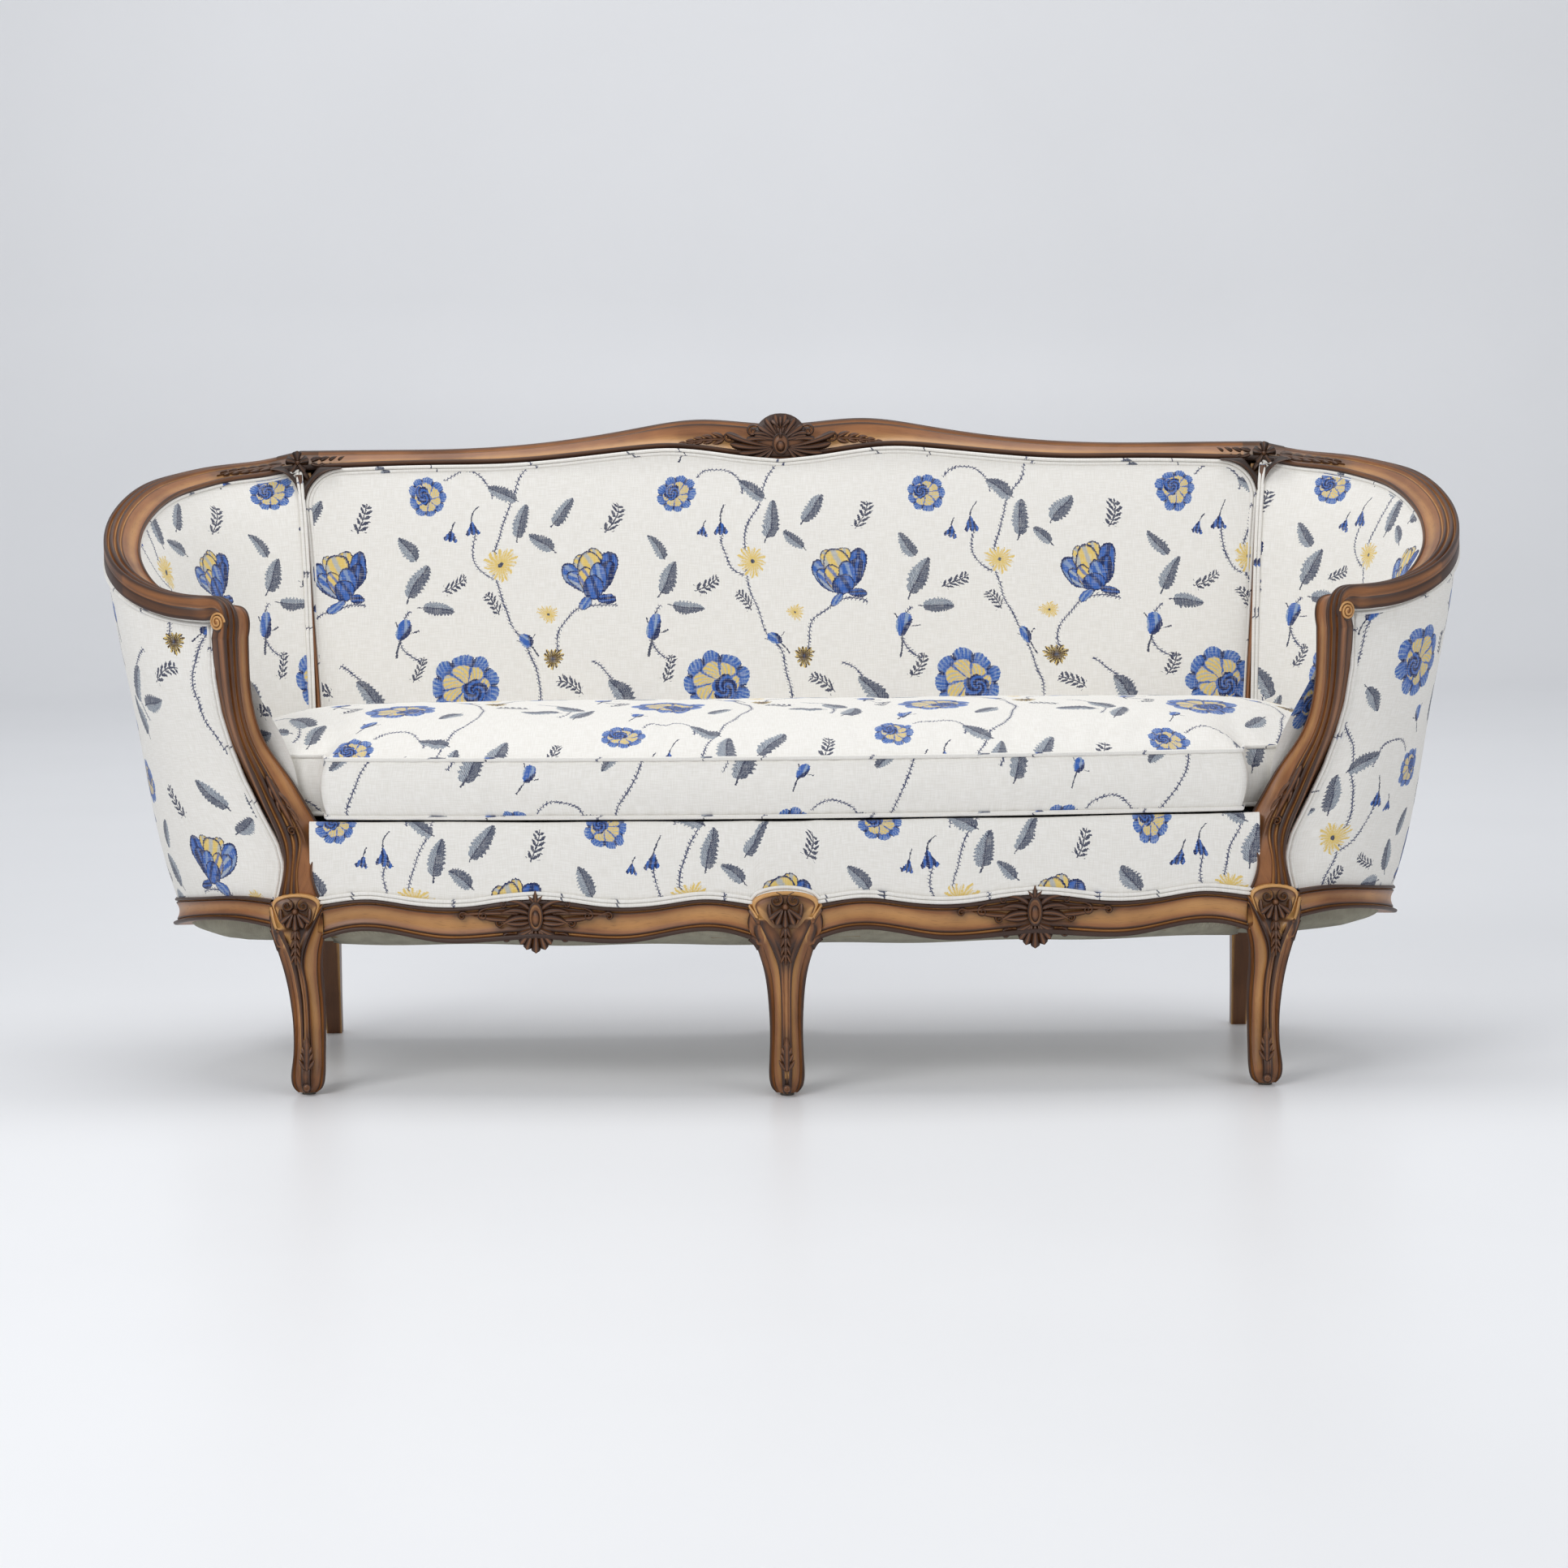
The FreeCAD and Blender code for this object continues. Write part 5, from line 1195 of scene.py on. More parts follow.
def arm_supports():
    """The ridges of the arm run down the support to the knee."""
    top = np.array(SUPPORT_TOP)
    sections = [turned_section(top, SUPPORT_TURN, 90, rail_profile())]
    run = top[2] - SEAT_RAIL_TOP
    for share, outer, inner, front, turn in SUPPORT_ROWS:
        z = top[2] - run * (1 - share)
        band = RAIL_BAND + 4 * (1 - turn / SUPPORT_TURN)
        face = RAIL_FACE - 10 * (1 - turn / SUPPORT_TURN)
        way = 90 - turn * (90 - SUPPORT_TURN) / SUPPORT_TURN
        flat = turned_section(np.array([0, 0, z]), way, 90, rail_profile(face, band))
        scale = (outer - inner) / np.ptp(flat[:, 0])
        nose = flat[:, 1].min()
        x = outer + (flat[:, 0] - flat[:, 0].max()) * scale
        y = front + (flat[:, 1] - nose) * scale
        sections.append(np.column_stack([x, y, np.full(len(x), z)]))
    support = swept("arm_support_sweep", eased(sections, 110), WOOD, flip=True)
    support = carved_onto("arm_support_right_carved", support, [support_carving()])
    return both_sides(support, "arm_support")


# The seat rails and legs share one moulding: a bead above, a hollow, and a heavier bead below
# It is drawn between a lower and an upper guide line, as (share from low to high, height) pairs.

STRIP = softened([(0.0, -26), (0.0, -6), (0.0, 0.5), (0.03, 3.2), (0.09, 4.2), (0.145, 2.6), (0.16, -3.6),
                  (0.185, -4.6), (0.205, -1.8), (0.25, -1.6), (0.36, -3.8), (0.50, -4.8), (0.64, -4.2),
                  (0.76, -2.0), (0.81, -0.6), (0.835, -1.2), (0.845, -4.6), (0.87, -4.6), (0.88, -0.4),
                  (0.91, 1.2), (0.965, 0.8), (1.0, -1.6), (1.0, -14)], 1)


def strip(lower, upper, outwards):
    """Rows of the seat moulding between two guide lines."""
    share = STRIP[None, :, 0:1]
    return lower[:, None] * (1 - share) + upper[:, None] * share + outwards[:, None] * STRIP[None, :, 1:2]


# The wave of a front rail's edges: share from its middle to its end, rise of the top, rise of the bottom
RAIL_WAVE = [(0, 8, 3), (0.15, 4.5, 0), (0.3, -1.5, -3), (0.45, -3, -2.5), (0.62, 1.5, 6), (0.78, 7, 12),
             (0.9, 4.5, 9), (1, 0, 0.5)]


def front_rails():
    """The serpentine rail between the middle leg and a corner leg."""
    x = np.linspace(CENTRE_HALF, LEG_INNER_X, 120)
    share = np.abs(x - RAIL_MIDDLE) / RAIL_HALF
    top = SEAT_RAIL_TOP + graph([(a, b) for a, b, _ in RAIL_WAVE], share)
    bottom = SEAT_RAIL_BOTTOM + graph([(a, c) for a, _, c in RAIL_WAVE], share)
    y = front_y(x)
    slope = 2 * FRONT_BOW * x / FRONT_REACH ** 2
    outwards = unit(np.stack([slope, -np.ones_like(x), np.zeros_like(x)], axis=1))
    rows = strip(np.stack([x, y, bottom], axis=1), np.stack([x, y, top], axis=1), outwards)
    rail = swept("front_rail_sweep", rows, WOOD, closed=False)
    rail = carved_onto("front_rail_right_carved", rail, front_carvings())
    return both_sides(rail, "front_rail")


def side_rails():
    """The rails that bow outwards from the front legs to the posts."""
    ts = np.linspace(SIDE.find(0, LEG_OUTER_X, 0, 0.2), 0.985, 110)
    points = SIDE.at(ts)
    heights = graph([(0, 38), (0.2, 31), (0.4, 36), (0.55, 40), (0.75, 38), (1, 38)], ts)
    outwards = -outward_of(SIDE.heading(ts))
    rows = strip(points - heights[:, None] * UP, points, outwards)
    rail = swept("side_rail_right_carved", rows, WOOD, closed=False)
    return both_sides(rail, "side_rail")


# Guide lines of the corner legs: height, then X and Y of each line from the inner edge to the outer edge.
# The middle leg gives height, X and depth of its edge, then of its rib, and has the same depths behind.
CORNER_LEG = [(3, 616, -9, 627, -15, 630, -15, 640, -8), (9, 609, -10, 625, -23, 631, -23, 645, -9),
              (22, 605, -8, 625, -26, 632, -26, 648, -7), (44, 604, -3, 625, -19, 632, -19, 646, -2),
              (71, 604, 4, 626, -11.5, 633, -11.5, 644.5, 5), (110, 604.5, 8, 627, -8, 634.5, -8, 646, 9),
              (155, 606, 1, 630, -15, 639, -15, 652, 1), (181, 607, -3, 633, -20, 644, -20, 658, -3),
              (200, 605, -3, 629, -21, 651, -20, 664, -3), (218, 602, -3, 621, -18, 660, -17, 668, -3)]
CENTRE_LEG = [(3, 13, 1, 3, -15), (9, 18, 0, 3.2, -22), (22, 21.5, 1, 3.5, -25), (44, 21.5, 5, 4, -19),
              (88, 20, 11, 4, -11), (138, 22.5, 10, 4.6, -13), (165, 26.5, 7, 6, -17), (181, 30.5, 3, 9, -19),
              (196, 37, 1, 15, -18), (208, 44, -1, 21, -15)]

LEG_DEPTHS = [(0, 20), (9, 30), (22, 34), (44, 32), (110, 26), (181, 30), (220, 40)]
LEG_STEP = 4.0               # the least drop from one point of a guide line to the next


def leg_rows(lines):
    """The front of a leg: the two mouldings and the hollow middle between them, from the top down."""
    inner, inner_rib, outer_rib, outer = [Curve(line).at(np.linspace(0, 1, 100)) for line in lines]
    inner_out = unit(np.cross(inner_rib - inner, UP) * (1, 1, 0))
    outer_out = unit(np.cross(outer - outer_rib, UP) * (1, 1, 0))
    inner_out[inner_out[:, 1] > 0] *= -1
    outer_out[outer_out[:, 1] > 0] *= -1
    profile = STRIP[(STRIP[:, 1] > -5.9) & (STRIP[:, 0] <= 1)]
    scale = np.clip(np.linalg.norm(inner_rib - inner, axis=1) / 40, 0.3, 1)[:, None, None]
    share = profile[None, :, 0:1]
    height = profile[None, :, 1:2]
    left = inner[:, None] * (1 - share) + inner_rib[:, None] * share + inner_out[:, None] * height * scale
    share = share[:, ::-1]
    height = height[:, ::-1]
    right = outer[:, None] * (1 - share) + outer_rib[:, None] * share + outer_out[:, None] * height * scale
    shares = np.array([0.15, 0.35, 0.5, 0.65, 0.85])[None, :, None]
    dip = np.array([1.0, 2.0, 2.4, 2.0, 1.0])[None, :, None]
    gap = inner_rib[:, None] * (1 - shares) + outer_rib[:, None] * shares + BACKWARDS * dip
    return np.concatenate([left, gap, right], axis=1)


def leg_back(front, depth):
    """The plain rounded back of a leg, from its outer edge round to its inner edge."""
    inner = front[:, 0]
    outer = front[:, -1]
    rows = []
    for share, deep in ((0.0, 0.35), (0.03, 0.62), (0.14, 0.9), (0.3, 1), (0.5, 1.03), (0.7, 1), (0.86, 0.9),
                        (0.97, 0.62), (1.0, 0.35)):
        point = outer + (inner - outer) * share
        rows.append(point + BACKWARDS * (depth[:, None] * deep))
    return np.stack(rows, axis=1)


def leg(name, lines):
    """A cabriole leg along its four guide lines."""
    front = leg_rows(lines)
    depth = np.interp(front[:, 0, 2], *zip(*LEG_DEPTHS))
    return swept(name, np.concatenate([front, leg_back(front, depth)], axis=1), WOOD)


def corner_lines():
    """The guide lines, which start as the rails' own beads and turn down into the leg."""
    table = sorted(CORNER_LEG, reverse=True)
    starts = [[(LEG_INNER_X, -3, 203.5)], [(LEG_INNER_X, -3, 250), (612, -9, 236)],
              [(LEG_OUTER_X - 1, 2, 254), (668, -5, 238)], [(LEG_OUTER_X, 4, 221)]]
    lines = []
    for i, start in enumerate(starts):
        line = [np.array(point, float) for point in start]
        for row in table:
            z = row[0]
            if z < line[-1][2] - LEG_STEP:
                line.append(np.array([row[1 + 2 * i], row[2 + 2 * i], z], float))
        lines.append(line)
    return lines


def carved_leg(name, lines, head, knee, knee_size, knee_lean, foot):
    """A leg with its arched head, the cartouche on its knee and the leaf on its foot."""
    parts = [leg("leg_sweep", lines), arched_head(*head)]
    knee_face = flat_face(knee, (1, 0, 0), (0, knee_lean, 1), (0, -1, knee_lean))
    foot_face = flat_face(foot, (1, 0, 0), (0, 0.16, 1), (0, -1, 0))
    cuts = [carving("knee_cartouche", knee_strokes(knee_size), knee_face, WOOD),
            carving("foot_leaf", foot_strokes(), foot_face, WOOD)]
    return carved_onto(name, joined("leg_parts", parts), cuts, 13.0)


def front_legs():
    """The two corner legs, whose knees join the front and side rails."""
    piece = carved_leg("front_leg_right_carved", corner_lines(), (638, -11, 31, 15, 26), (638, -20, 228),
                       1.12, 0.10, (627, -22.5, 34))
    return both_sides(piece, "front_leg")


def centre_leg():
    """The leg between the front rails, alike on both sides."""
    y = front_y(0)
    edge = [np.array((CENTRE_HALF + 1, y, 203.5))]
    rib = [np.array((CENTRE_HALF + 1, y, 250.0)), np.array((36, y - 8, 236.0)), np.array((28, y - 12, 221.0))]
    for z, x, deep, rib_x, rib_y in sorted(CENTRE_LEG, reverse=True):
        if z < edge[-1][2] - LEG_STEP:
            edge.append(np.array((x, y + deep, z)))
        if z < rib[-1][2] - LEG_STEP:
            rib.append(np.array((rib_x, y + rib_y, z)))
    lines = [[point * (-1, 1, 1) for point in edge], [point * (-1, 1, 1) for point in rib], rib, edge]
    piece = carved_leg("front_leg_centre_carved", lines, (0, y - 7, 43, 17, 30), (0, y - 16, 232), 1.22, 0.05,
                       (0, y - 21.5, 34))
    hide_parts("front_leg_centre")
    return [piece]


# Carving: leaves, scrolls and bosses that are laid on a face of the frame
# A stroke gives places as (across, up, out of the face) in millimetres.

def carved_leaf(across, up, angle, length, width, height=5.0, bend=0.0, lobes=0, curl=0.0, blunt=False):
    """A leaf or petal from its root outwards: a grooved crown with fluted flanks, notched into lobes."""
    along = np.linspace(0, 1, 15)
    flank = np.linspace(-1, 1, 13)
    turn = math.radians(angle) + math.radians(bend) * along
    step = length / (len(along) - 1)
    centre_u = across + np.concatenate([[0], np.cumsum(np.cos(turn[1:]) * step)])
    centre_v = up + np.concatenate([[0], np.cumsum(np.sin(turn[1:]) * step)])
    half = width / 2 * np.sin(math.pi * (0.08 + 0.92 * along) ** 0.75) ** 0.75
    if blunt:
        end = np.clip((along - 0.78) / 0.22, 0, 1)
        half = width / 2 * (0.25 + 0.75 * along) * np.sqrt(1 - 0.97 * end ** 2)
    if lobes:
        half = half * (0.72 + 0.34 * np.abs(np.sin(math.pi * lobes * along)) ** 0.6)
    half = np.maximum(half, 0.25)
    t, s = np.meshgrid(along, flank, indexing="ij")
    u = centre_u[:, None] - np.sin(turn)[:, None] * half[:, None] * s
    v = centre_v[:, None] + np.cos(turn)[:, None] * half[:, None] * s
    crown = 1 - np.abs(s) ** 2.6
    vein = 0.30 * np.exp(-(s / 0.13) ** 2)
    flutes = 0.10 * np.cos(4.5 * math.pi * s)
    swell = 0.45 + 0.55 * np.sin(math.pi * np.clip(t, 0, 1) ** 0.8) + curl * t ** 2
    out = height * swell * (crown - vein * (1 - 0.5 * t) + flutes * crown) - 1.2
    out[:, 0] = -2.0
    out[:, -1] = -2.0
    return np.stack([u, v, out], axis=-1)


def carved_scroll(across, up, radius, start, turns, width=3.0, height=4.5, tail=0.0):
    """A rounded band that winds in to an eye. Negative turns wind the other way."""
    along = np.linspace(0, 1, int(20 * abs(turns)) + 6)
    angle = math.radians(start) + 2 * math.pi * turns * along
    reach = radius * (1 - 0.86 * along ** 0.8)
    u = across + reach * np.cos(angle)
    v = up + reach * np.sin(angle)
    if tail:
        lead_angle = math.radians(start) - math.copysign(math.pi / 2, turns)
        lead = np.linspace(1, 0.15, 7) * tail
        u = np.concatenate([u[0] + lead * math.cos(lead_angle), u])
        v = np.concatenate([v[0] + lead * math.sin(lead_angle), v])
        along = np.linspace(0, 1, len(u))
    du = np.gradient(u)
    dv = np.gradient(v)
    size = np.maximum(np.hypot(du, dv), 1e-6)
    grow = np.clip(along * 5, 0.25, 1) * (1 - 0.35 * along)
    side = np.linspace(-1, 1, 9)
    band_u = u[:, None] - (dv / size * width / 2 * grow)[:, None] * side
    band_v = v[:, None] + (du / size * width / 2 * grow)[:, None] * side
    out = (height * (0.55 + 0.45 * along))[:, None] * (1 - np.abs(side) ** 2.4) - 1.0
    return np.stack([band_u, band_v, out], axis=-1)


def carved_boss(across, up, half_width, half_height, height=6.0, rim=0.0):
    """A round or oval button, with a raised rim if wanted."""
    rings = np.linspace(0, 1, 11)
    angles = np.linspace(0, 2 * math.pi, 33)
    r, a = np.meshgrid(rings, angles, indexing="ij")
    out = height * np.sqrt(np.clip(1 - r ** 2, 0, 1)) - 1.0
    if rim:
        out = np.where(r > 0.72, rim * np.sin(math.pi * (r - 0.72) / 0.28) - 0.5, out * 0.8)
    return np.stack([across + half_width * r * np.cos(a), up + half_height * r * np.sin(a), out], axis=-1)


def carving(name, strokes, host, material, mirror=False):
    """Strokes laid on a face, given by a function from (across, up, out) to a place; twice where mirrored."""
    points = []
    faces = []
    uv = []
    count = 0
    for stroke in strokes:
        for side in (1, -1) if mirror else (1,):
            rows, columns = stroke.shape[:2]
            flat = stroke.reshape(-1, 3) * (side, 1, 1)
            points.append(host(flat[:, 0], flat[:, 1], flat[:, 2]))
            uv.append(flat[:, :2] * MM)
            quads = np.array(grid_faces(rows, columns)) + count
            faces += (quads if side > 0 else quads[:, ::-1]).tolist()
            count += rows * columns
    return add_mesh(name, np.concatenate(points), faces, material, np.concatenate(uv))


def carved_onto(name, piece, carvings, reach=7.0):
    """Joins carvings to a piece. The ground between and close to the cuts is painted dark, as shade."""
    ground = points_of(piece)
    painted_shade = np.zeros(len(ground), np.float32)
    if "painted_shade" in piece.data.attributes:
        piece.data.attributes["painted_shade"].data.foreach_get("value", painted_shade)
    for cut in carvings:
        strokes = points_of(cut)
        low, high = strokes.min(axis=0) - 3 * reach, strokes.max(axis=0) + 3 * reach
        near = np.nonzero(((ground > low) & (ground < high)).all(axis=1))[0]
        for start in range(0, len(near), 400):
            part = near[start:start + 400]
            far = np.linalg.norm(ground[part, None] - strokes[None, ::5], axis=2).min(axis=1)
            painted_shade[part] = np.maximum(painted_shade[part], np.exp(-(far / reach) ** 2))
        # the carvings themselves take some painted shade
        set_painted_shade(cut, np.full(len(strokes), 0.55))
    set_painted_shade(piece, painted_shade)
    return joined(name, [piece] + list(carvings))


def flat_face(middle, across, up, out):
    """A face through a point, with its three directions."""
    middle, across, up, out = (np.array(v, float) for v in (middle, across, up, out))

    def host(u, v, h):
        return middle + u[:, None] * across + v[:, None] * up + h[:, None] * out

    return host


def flower(up, radius, petals, height):
    """An open flower with a button in the middle."""
    strokes = []
    for angle in 90 + 360 / petals * np.arange(petals):
        strokes.append(carved_leaf(0, up, angle, radius, radius * 0.95, height, curl=0.35, blunt=True))
    strokes.append(carved_boss(0, up, radius * 0.24, radius * 0.24, height + 1.5))
    return strokes


def crest_carving():
    """The shell on the middle of the back, its cabochon, acanthus leaves and sprays along the rail."""
    fan = [carved_boss(0, 0, 39, 39.5, 4.0)]
    fan += [carved_leaf(0, 1, angle, 37, 14, 6.5, curl=0.2, blunt=True) for angle in np.linspace(8, 172, 8)]
    fan += [carved_leaf(0, 18, 90 + turn, 17, 11, 9.5, curl=0.3, blunt=True) for turn in (-48, 0, 48)]
    fan += [carved_boss(0, -4, 12.5, 17, 9.5, rim=8.0), carved_boss(0, -7, 7.5, 9.5, 13),
            carved_leaf(0, 2, 90, 18, 7, 11), carved_leaf(0, -24, -90, 12, 11, 7)]
    leaves = [carved_leaf(9, -8, turn, length, 13.5, 7.5, bend=bend, curl=0.45, blunt=True)
              for turn, length, bend in ((2, 72, 22), (-12, 64, 26), (-26, 52, 26), (-42, 39, 22),
                                         (-60, 28, 12))]
    leaves += [carved_leaf(10, -1, 20, 40, 11, 7, bend=-34, curl=0.4, blunt=True),
               carved_leaf(10, 3, 40, 30, 10, 6.5, bend=-50, curl=0.4, blunt=True),
               carved_scroll(40, 13, 8.5, 100, -1.4, 4.4, 6.0, tail=9),
               carved_scroll(75, 4, 7.0, 250, 1.3, 4.0, 5.5, tail=12)]
    for i, reach in enumerate((82, 97, 111, 124, 137)):
        size = 19 - 2.2 * i
        tilt = 38 - 5 * i
        leaves.append(carved_leaf(reach, 2 - i * 0.9, tilt, size, size * 0.42, 5.2 - 0.4 * i, bend=-30))
        leaves.append(carved_leaf(reach, -i * 0.9, -tilt, size * 0.9, size * 0.40, 5.0 - 0.4 * i, bend=30))
    leaves.append(carved_leaf(78, 1, -3, 78, 5.0, 4.0))

    def host(u, v, h):
        """The face of the rail, which leans back above the shell and falls with the rail at both sides."""
        line = graph([(0, 0.0), (70, 2.5), (118, 2.5), (160, -3.0), (230, -12.0)], np.abs(u))
        lean = np.clip((v - 10) / 25, 0, 1) * 3 + BACK_BOW * (u / CORNER_X) ** 2
        return np.stack([u, BACK_Y - RAIL_WIDTH + 2 + lean - h, SHELL_Z + v + line], axis=1)

    side = carving("crest_leaves", leaves, host, WOOD, mirror=True)
    return [carving("crest_shell", fan, host, WOOD), side]


def corner_carving():
    """The five-petalled flower on the corner block, the leaf under it and sprays along both rails."""
    host = flat_face((CORNER_X - 1, 541, 812), (0.97, -0.20, 0.0), (0, 0.05, 1.0), (-0.20, -0.98, 0.10))
    strokes = flower(2, 17, 5, 6.0)
    strokes += [carved_leaf(-2, -12, -96, 34, 13, 6.0, lobes=3),
                carved_leaf(-6, -10, -140, 20, 9, 5, bend=30),
                carved_leaf(4, -10, -40, 20, 9, 5, bend=-30)]
    for i in range(4):
        strokes.append(carved_leaf(-20 - 13 * i, 5, 150 - 6 * i, 17 - 2 * i, 7.5 - i, 4.5, bend=30))
        strokes.append(carved_leaf(-20 - 13 * i, 1, 208 + 6 * i, 15 - 2 * i, 7 - i, 4.5, bend=-30))
    # the corner flower is painted in the shaded copy of the walnut
    return carving("corner_flower", strokes, host, SHADED_WOOD)


def wing_carving():
    """Scalloped leaf along the inner slope of the wing rail, next to the corner."""
    strokes = [carved_leaf(4 + 15 * i, 2, 28, 20 - 1.8 * i, 9.5 - 0.9 * i, 4.4, bend=-34) for i in range(6)]
    strokes += [carved_leaf(4 + 15 * i, -3, -24, 19 - 1.8 * i, 9 - 0.9 * i, 4.2, bend=34) for i in range(6)]
    strokes.append(carved_leaf(0, -1, 0, 98, 5, 4.0))

    def host(u, v, h):
        ts = CORNER_SEAM + u / 640
        points = WING.at(ts)
        out = outward_of(WING.heading(ts))
        return points + out * (-31 + v * 0.72 - h * 0.45)[:, None] + UP * (-9 + v * 0.55 + h * 0.85)[:, None]

    # the wing leaf is painted in the shaded copy of the walnut
    return carving("wing_leaf", strokes, host, SHADED_WOOD)


def knee_strokes(size):
    """Two scrolls that meet over a fan of petals and a drop of husks."""
    def leaf(across, up, angle, length, width, height, **options):
        return carved_leaf(across * size, up * size, angle, length * size, width * size, height, **options)

    strokes = []
    for side in (-1, 1):
        strokes.append(carved_scroll(side * 9.5 * size, 20 * size, 8.5 * size, 90, side * 1.3, 4.2 * size,
                                     6.5))
        strokes.append(leaf(side * 17, 16, -90 + side * 6, 24, 6, 5, bend=-side * 40))
        for turn in (22, 52):
            strokes.append(leaf(side * 2, 12, -90 + side * turn, 19, 11, 6.5, curl=0.35, blunt=True))
    strokes.append(leaf(0, 12, -90, 21, 11, 7.0, curl=0.35, blunt=True))
    for drop, wide in ((-8, 10), (-18, 9), (-27, 8), (-35, 6.5)):
        for side in (-1, 1):
            strokes.append(leaf(0, drop, -90 + side * 24, 13, wide * 0.62, 4.6, curl=0.3))
        strokes.append(leaf(0, drop, -90, 14, wide * 0.6, 6.0, curl=0.3))
    strokes.append(carved_boss(0, 13 * size, 4.0 * size, 4.0 * size, 8.5))
    return strokes


def foot_strokes():
    """The seven-lobed leaf on a foot, and the ringed button under it."""
    strokes = [carved_leaf(0, 0, 90, 44, 13, 4.2, lobes=5)]
    for side in (-1, 1):
        for i in range(3):
            angle = 90 - side * (44 - 6 * i)
            strokes.append(carved_leaf(side * 2, 2 + 9 * i, angle, 15 - 2 * i, 6, 3.8, bend=side * 20))
    strokes += [carved_boss(0, -22, 5.2, 5.2, 4.5, rim=3.5), carved_boss(0, -22, 2.4, 2.4, 5.0)]
    return strokes


def rail_strokes():
    """Right half of the front rail's cartouche: scrolled acanthus leaves and the fan below."""
    strokes = []
    for across, up, angle, length, width, height, bend in (
            (8, -2, 12, 34, 9, 6.5, -50), (8, 3, 32, 33, 8, 6.5, -58), (7, 8, 55, 27, 8, 6.0, -62),
            (8, -7, -14, 32, 8, 6.0, 30)):
        strokes.append(carved_leaf(across, up, angle, length, width, height, bend=bend, curl=0.3))
    for across, up, radius, start, turns, width, height, tail in (
            (41, -8, 5.5, 90, -1.3, 3.4, 6.0, 9), (36, 14, 5.0, 90, -1.3, 3.4, 5.5, 8),
            (60, 1, 6.5, 70, -1.3, 3.8, 5.5, 16), (84, 0, 5.0, 110, -1.2, 3.4, 4.8, 20),
            (33, -25, 5.5, 90, -1.3, 4.2, 6.0, 10)):
        strokes.append(carved_scroll(across, up, radius, start, turns, width, height, tail))
    for turn in (18, 40, 63):
        strokes.append(carved_leaf(3, -14, -90 + turn, 27 - turn * 0.10, 12, 6.0, curl=0.4, blunt=True))
    strokes.append(carved_leaf(20, 3, 4, 70, 5.5, 4.5, bend=-10))
    strokes.append(carved_leaf(30, -4, -2, 40, 7, 5.0, bend=16))
    return strokes


def front_carvings():
    """The carved middle of each front rail."""
    y = float(front_y(RAIL_MIDDLE))
    lean = 2 * FRONT_BOW * RAIL_MIDDLE / FRONT_REACH ** 2

    def host(u, v, h):
        u, v = u * CARTOUCHE_SIZE, v * CARTOUCHE_SIZE
        return np.stack([RAIL_MIDDLE + u - lean * h, y + lean * u + 1.5 - h, CARTOUCHE_Z + v], axis=1)

    side = carving("rail_leaves", rail_strokes(), host, WOOD, mirror=True)
    centre = [carved_leaf(0, -14, -90, 28, 13, 6.5, curl=0.4, blunt=True),
              carved_boss(0, 0, 9, 18, 6, rim=5.5), carved_boss(0, -2, 5.5, 11, 9.5),
              carved_leaf(0, 15, 90, 15, 9, 7.5, curl=0.3), carved_leaf(0, 15, 132, 12, 7, 6.5, curl=0.3),
              carved_leaf(0, 15, 48, 12, 7, 6.5, curl=0.3)]
    return [carving("rail_cartouche", centre, host, WOOD), side]


def support_carving():
    """The leaf with a small scroll on the lower part of the arm support."""
    strokes = [carved_leaf(0, 66, -84, 70, 12, 4.6, bend=-10, lobes=6)]
    for across, up, angle, length, width, bend in ((-3, 44, -118, 22, 6.5, 30), (-4, 26, -122, 20, 6, 30),
                                                   (4, 52, -60, 18, 5.5, -30), (4, 34, -58, 18, 5.5, -30)):
        strokes.append(carved_leaf(across, up, angle, length, width, 4, bend=bend))
    strokes.append(carved_scroll(5, -6, 6.0, 100, -1.3, 3.6, 5.5, tail=10))
    strokes.append(carved_leaf(-6, 8, -100, 30, 5, 4, bend=20))

    def host(u, v, h):
        z = 352 + v
        outer, inner, front = support_at(z)
        return np.stack([(outer + inner) / 2 - 4 + u, front + 4.5 - h, z], axis=1)

    return carving("support_leaf", strokes, host, WOOD)


def arched_head(x, y, half, rise, drop):
    """The rounded top of a leg between two rails, with a bead round its edge and a narrower foot."""
    foot = SEAT_RAIL_TOP - drop
    angles = np.linspace(0, math.pi, 41)
    arch = [(half * math.cos(a), SEAT_RAIL_TOP + rise * math.sin(a) ** 0.8) for a in angles]
    outline = np.array([(0.72 * half, foot)] + arch + [(-0.72 * half, foot)])
    centre = np.array([0, foot])
    rows = []
    for share, lift in ((1.0, -24), (1.0, -4), (0.985, -1.5), (0.95, 0.2), (0.91, 0.4), (0.885, -1.2),
                        (0.86, -0.6), (0.82, 0.3), (0.77, 1.2), (0.7, 2.2), (0.62, 3.1), (0.53, 3.8),
                        (0.43, 4.5), (0.33, 5.1), (0.22, 5.6), (0.11, 5.9), (0.0, 6)):
        ring = centre + (outline - centre) * share
        rows.append(np.column_stack([x + ring[:, 0], np.full(len(ring), y - lift), ring[:, 1]]))
    piece = swept("arched_head", np.array(rows), WOOD, closed=False)
    # painted shade over the whole head, darker towards its foot under the top of the rails
    height = points_of(piece)[:, 2]
    set_painted_shade(piece, 0.35 + 0.45 * np.clip((SEAT_RAIL_TOP + rise * 0.3 - height) / drop, 0, 1))
    return piece


# Upholstery

def stuffed(node):
    """Hides the construction's node that a stuffed piece in the floral linen stands in for."""
    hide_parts(node)


def stuffed_pair(panel, stem):
    """A side panel and its mirrored twin."""
    twin = mirror_piece(panel, stem + "_cloth_left")
    stuffed(stem + "_panel_right")
    stuffed(stem + "_panel_left")


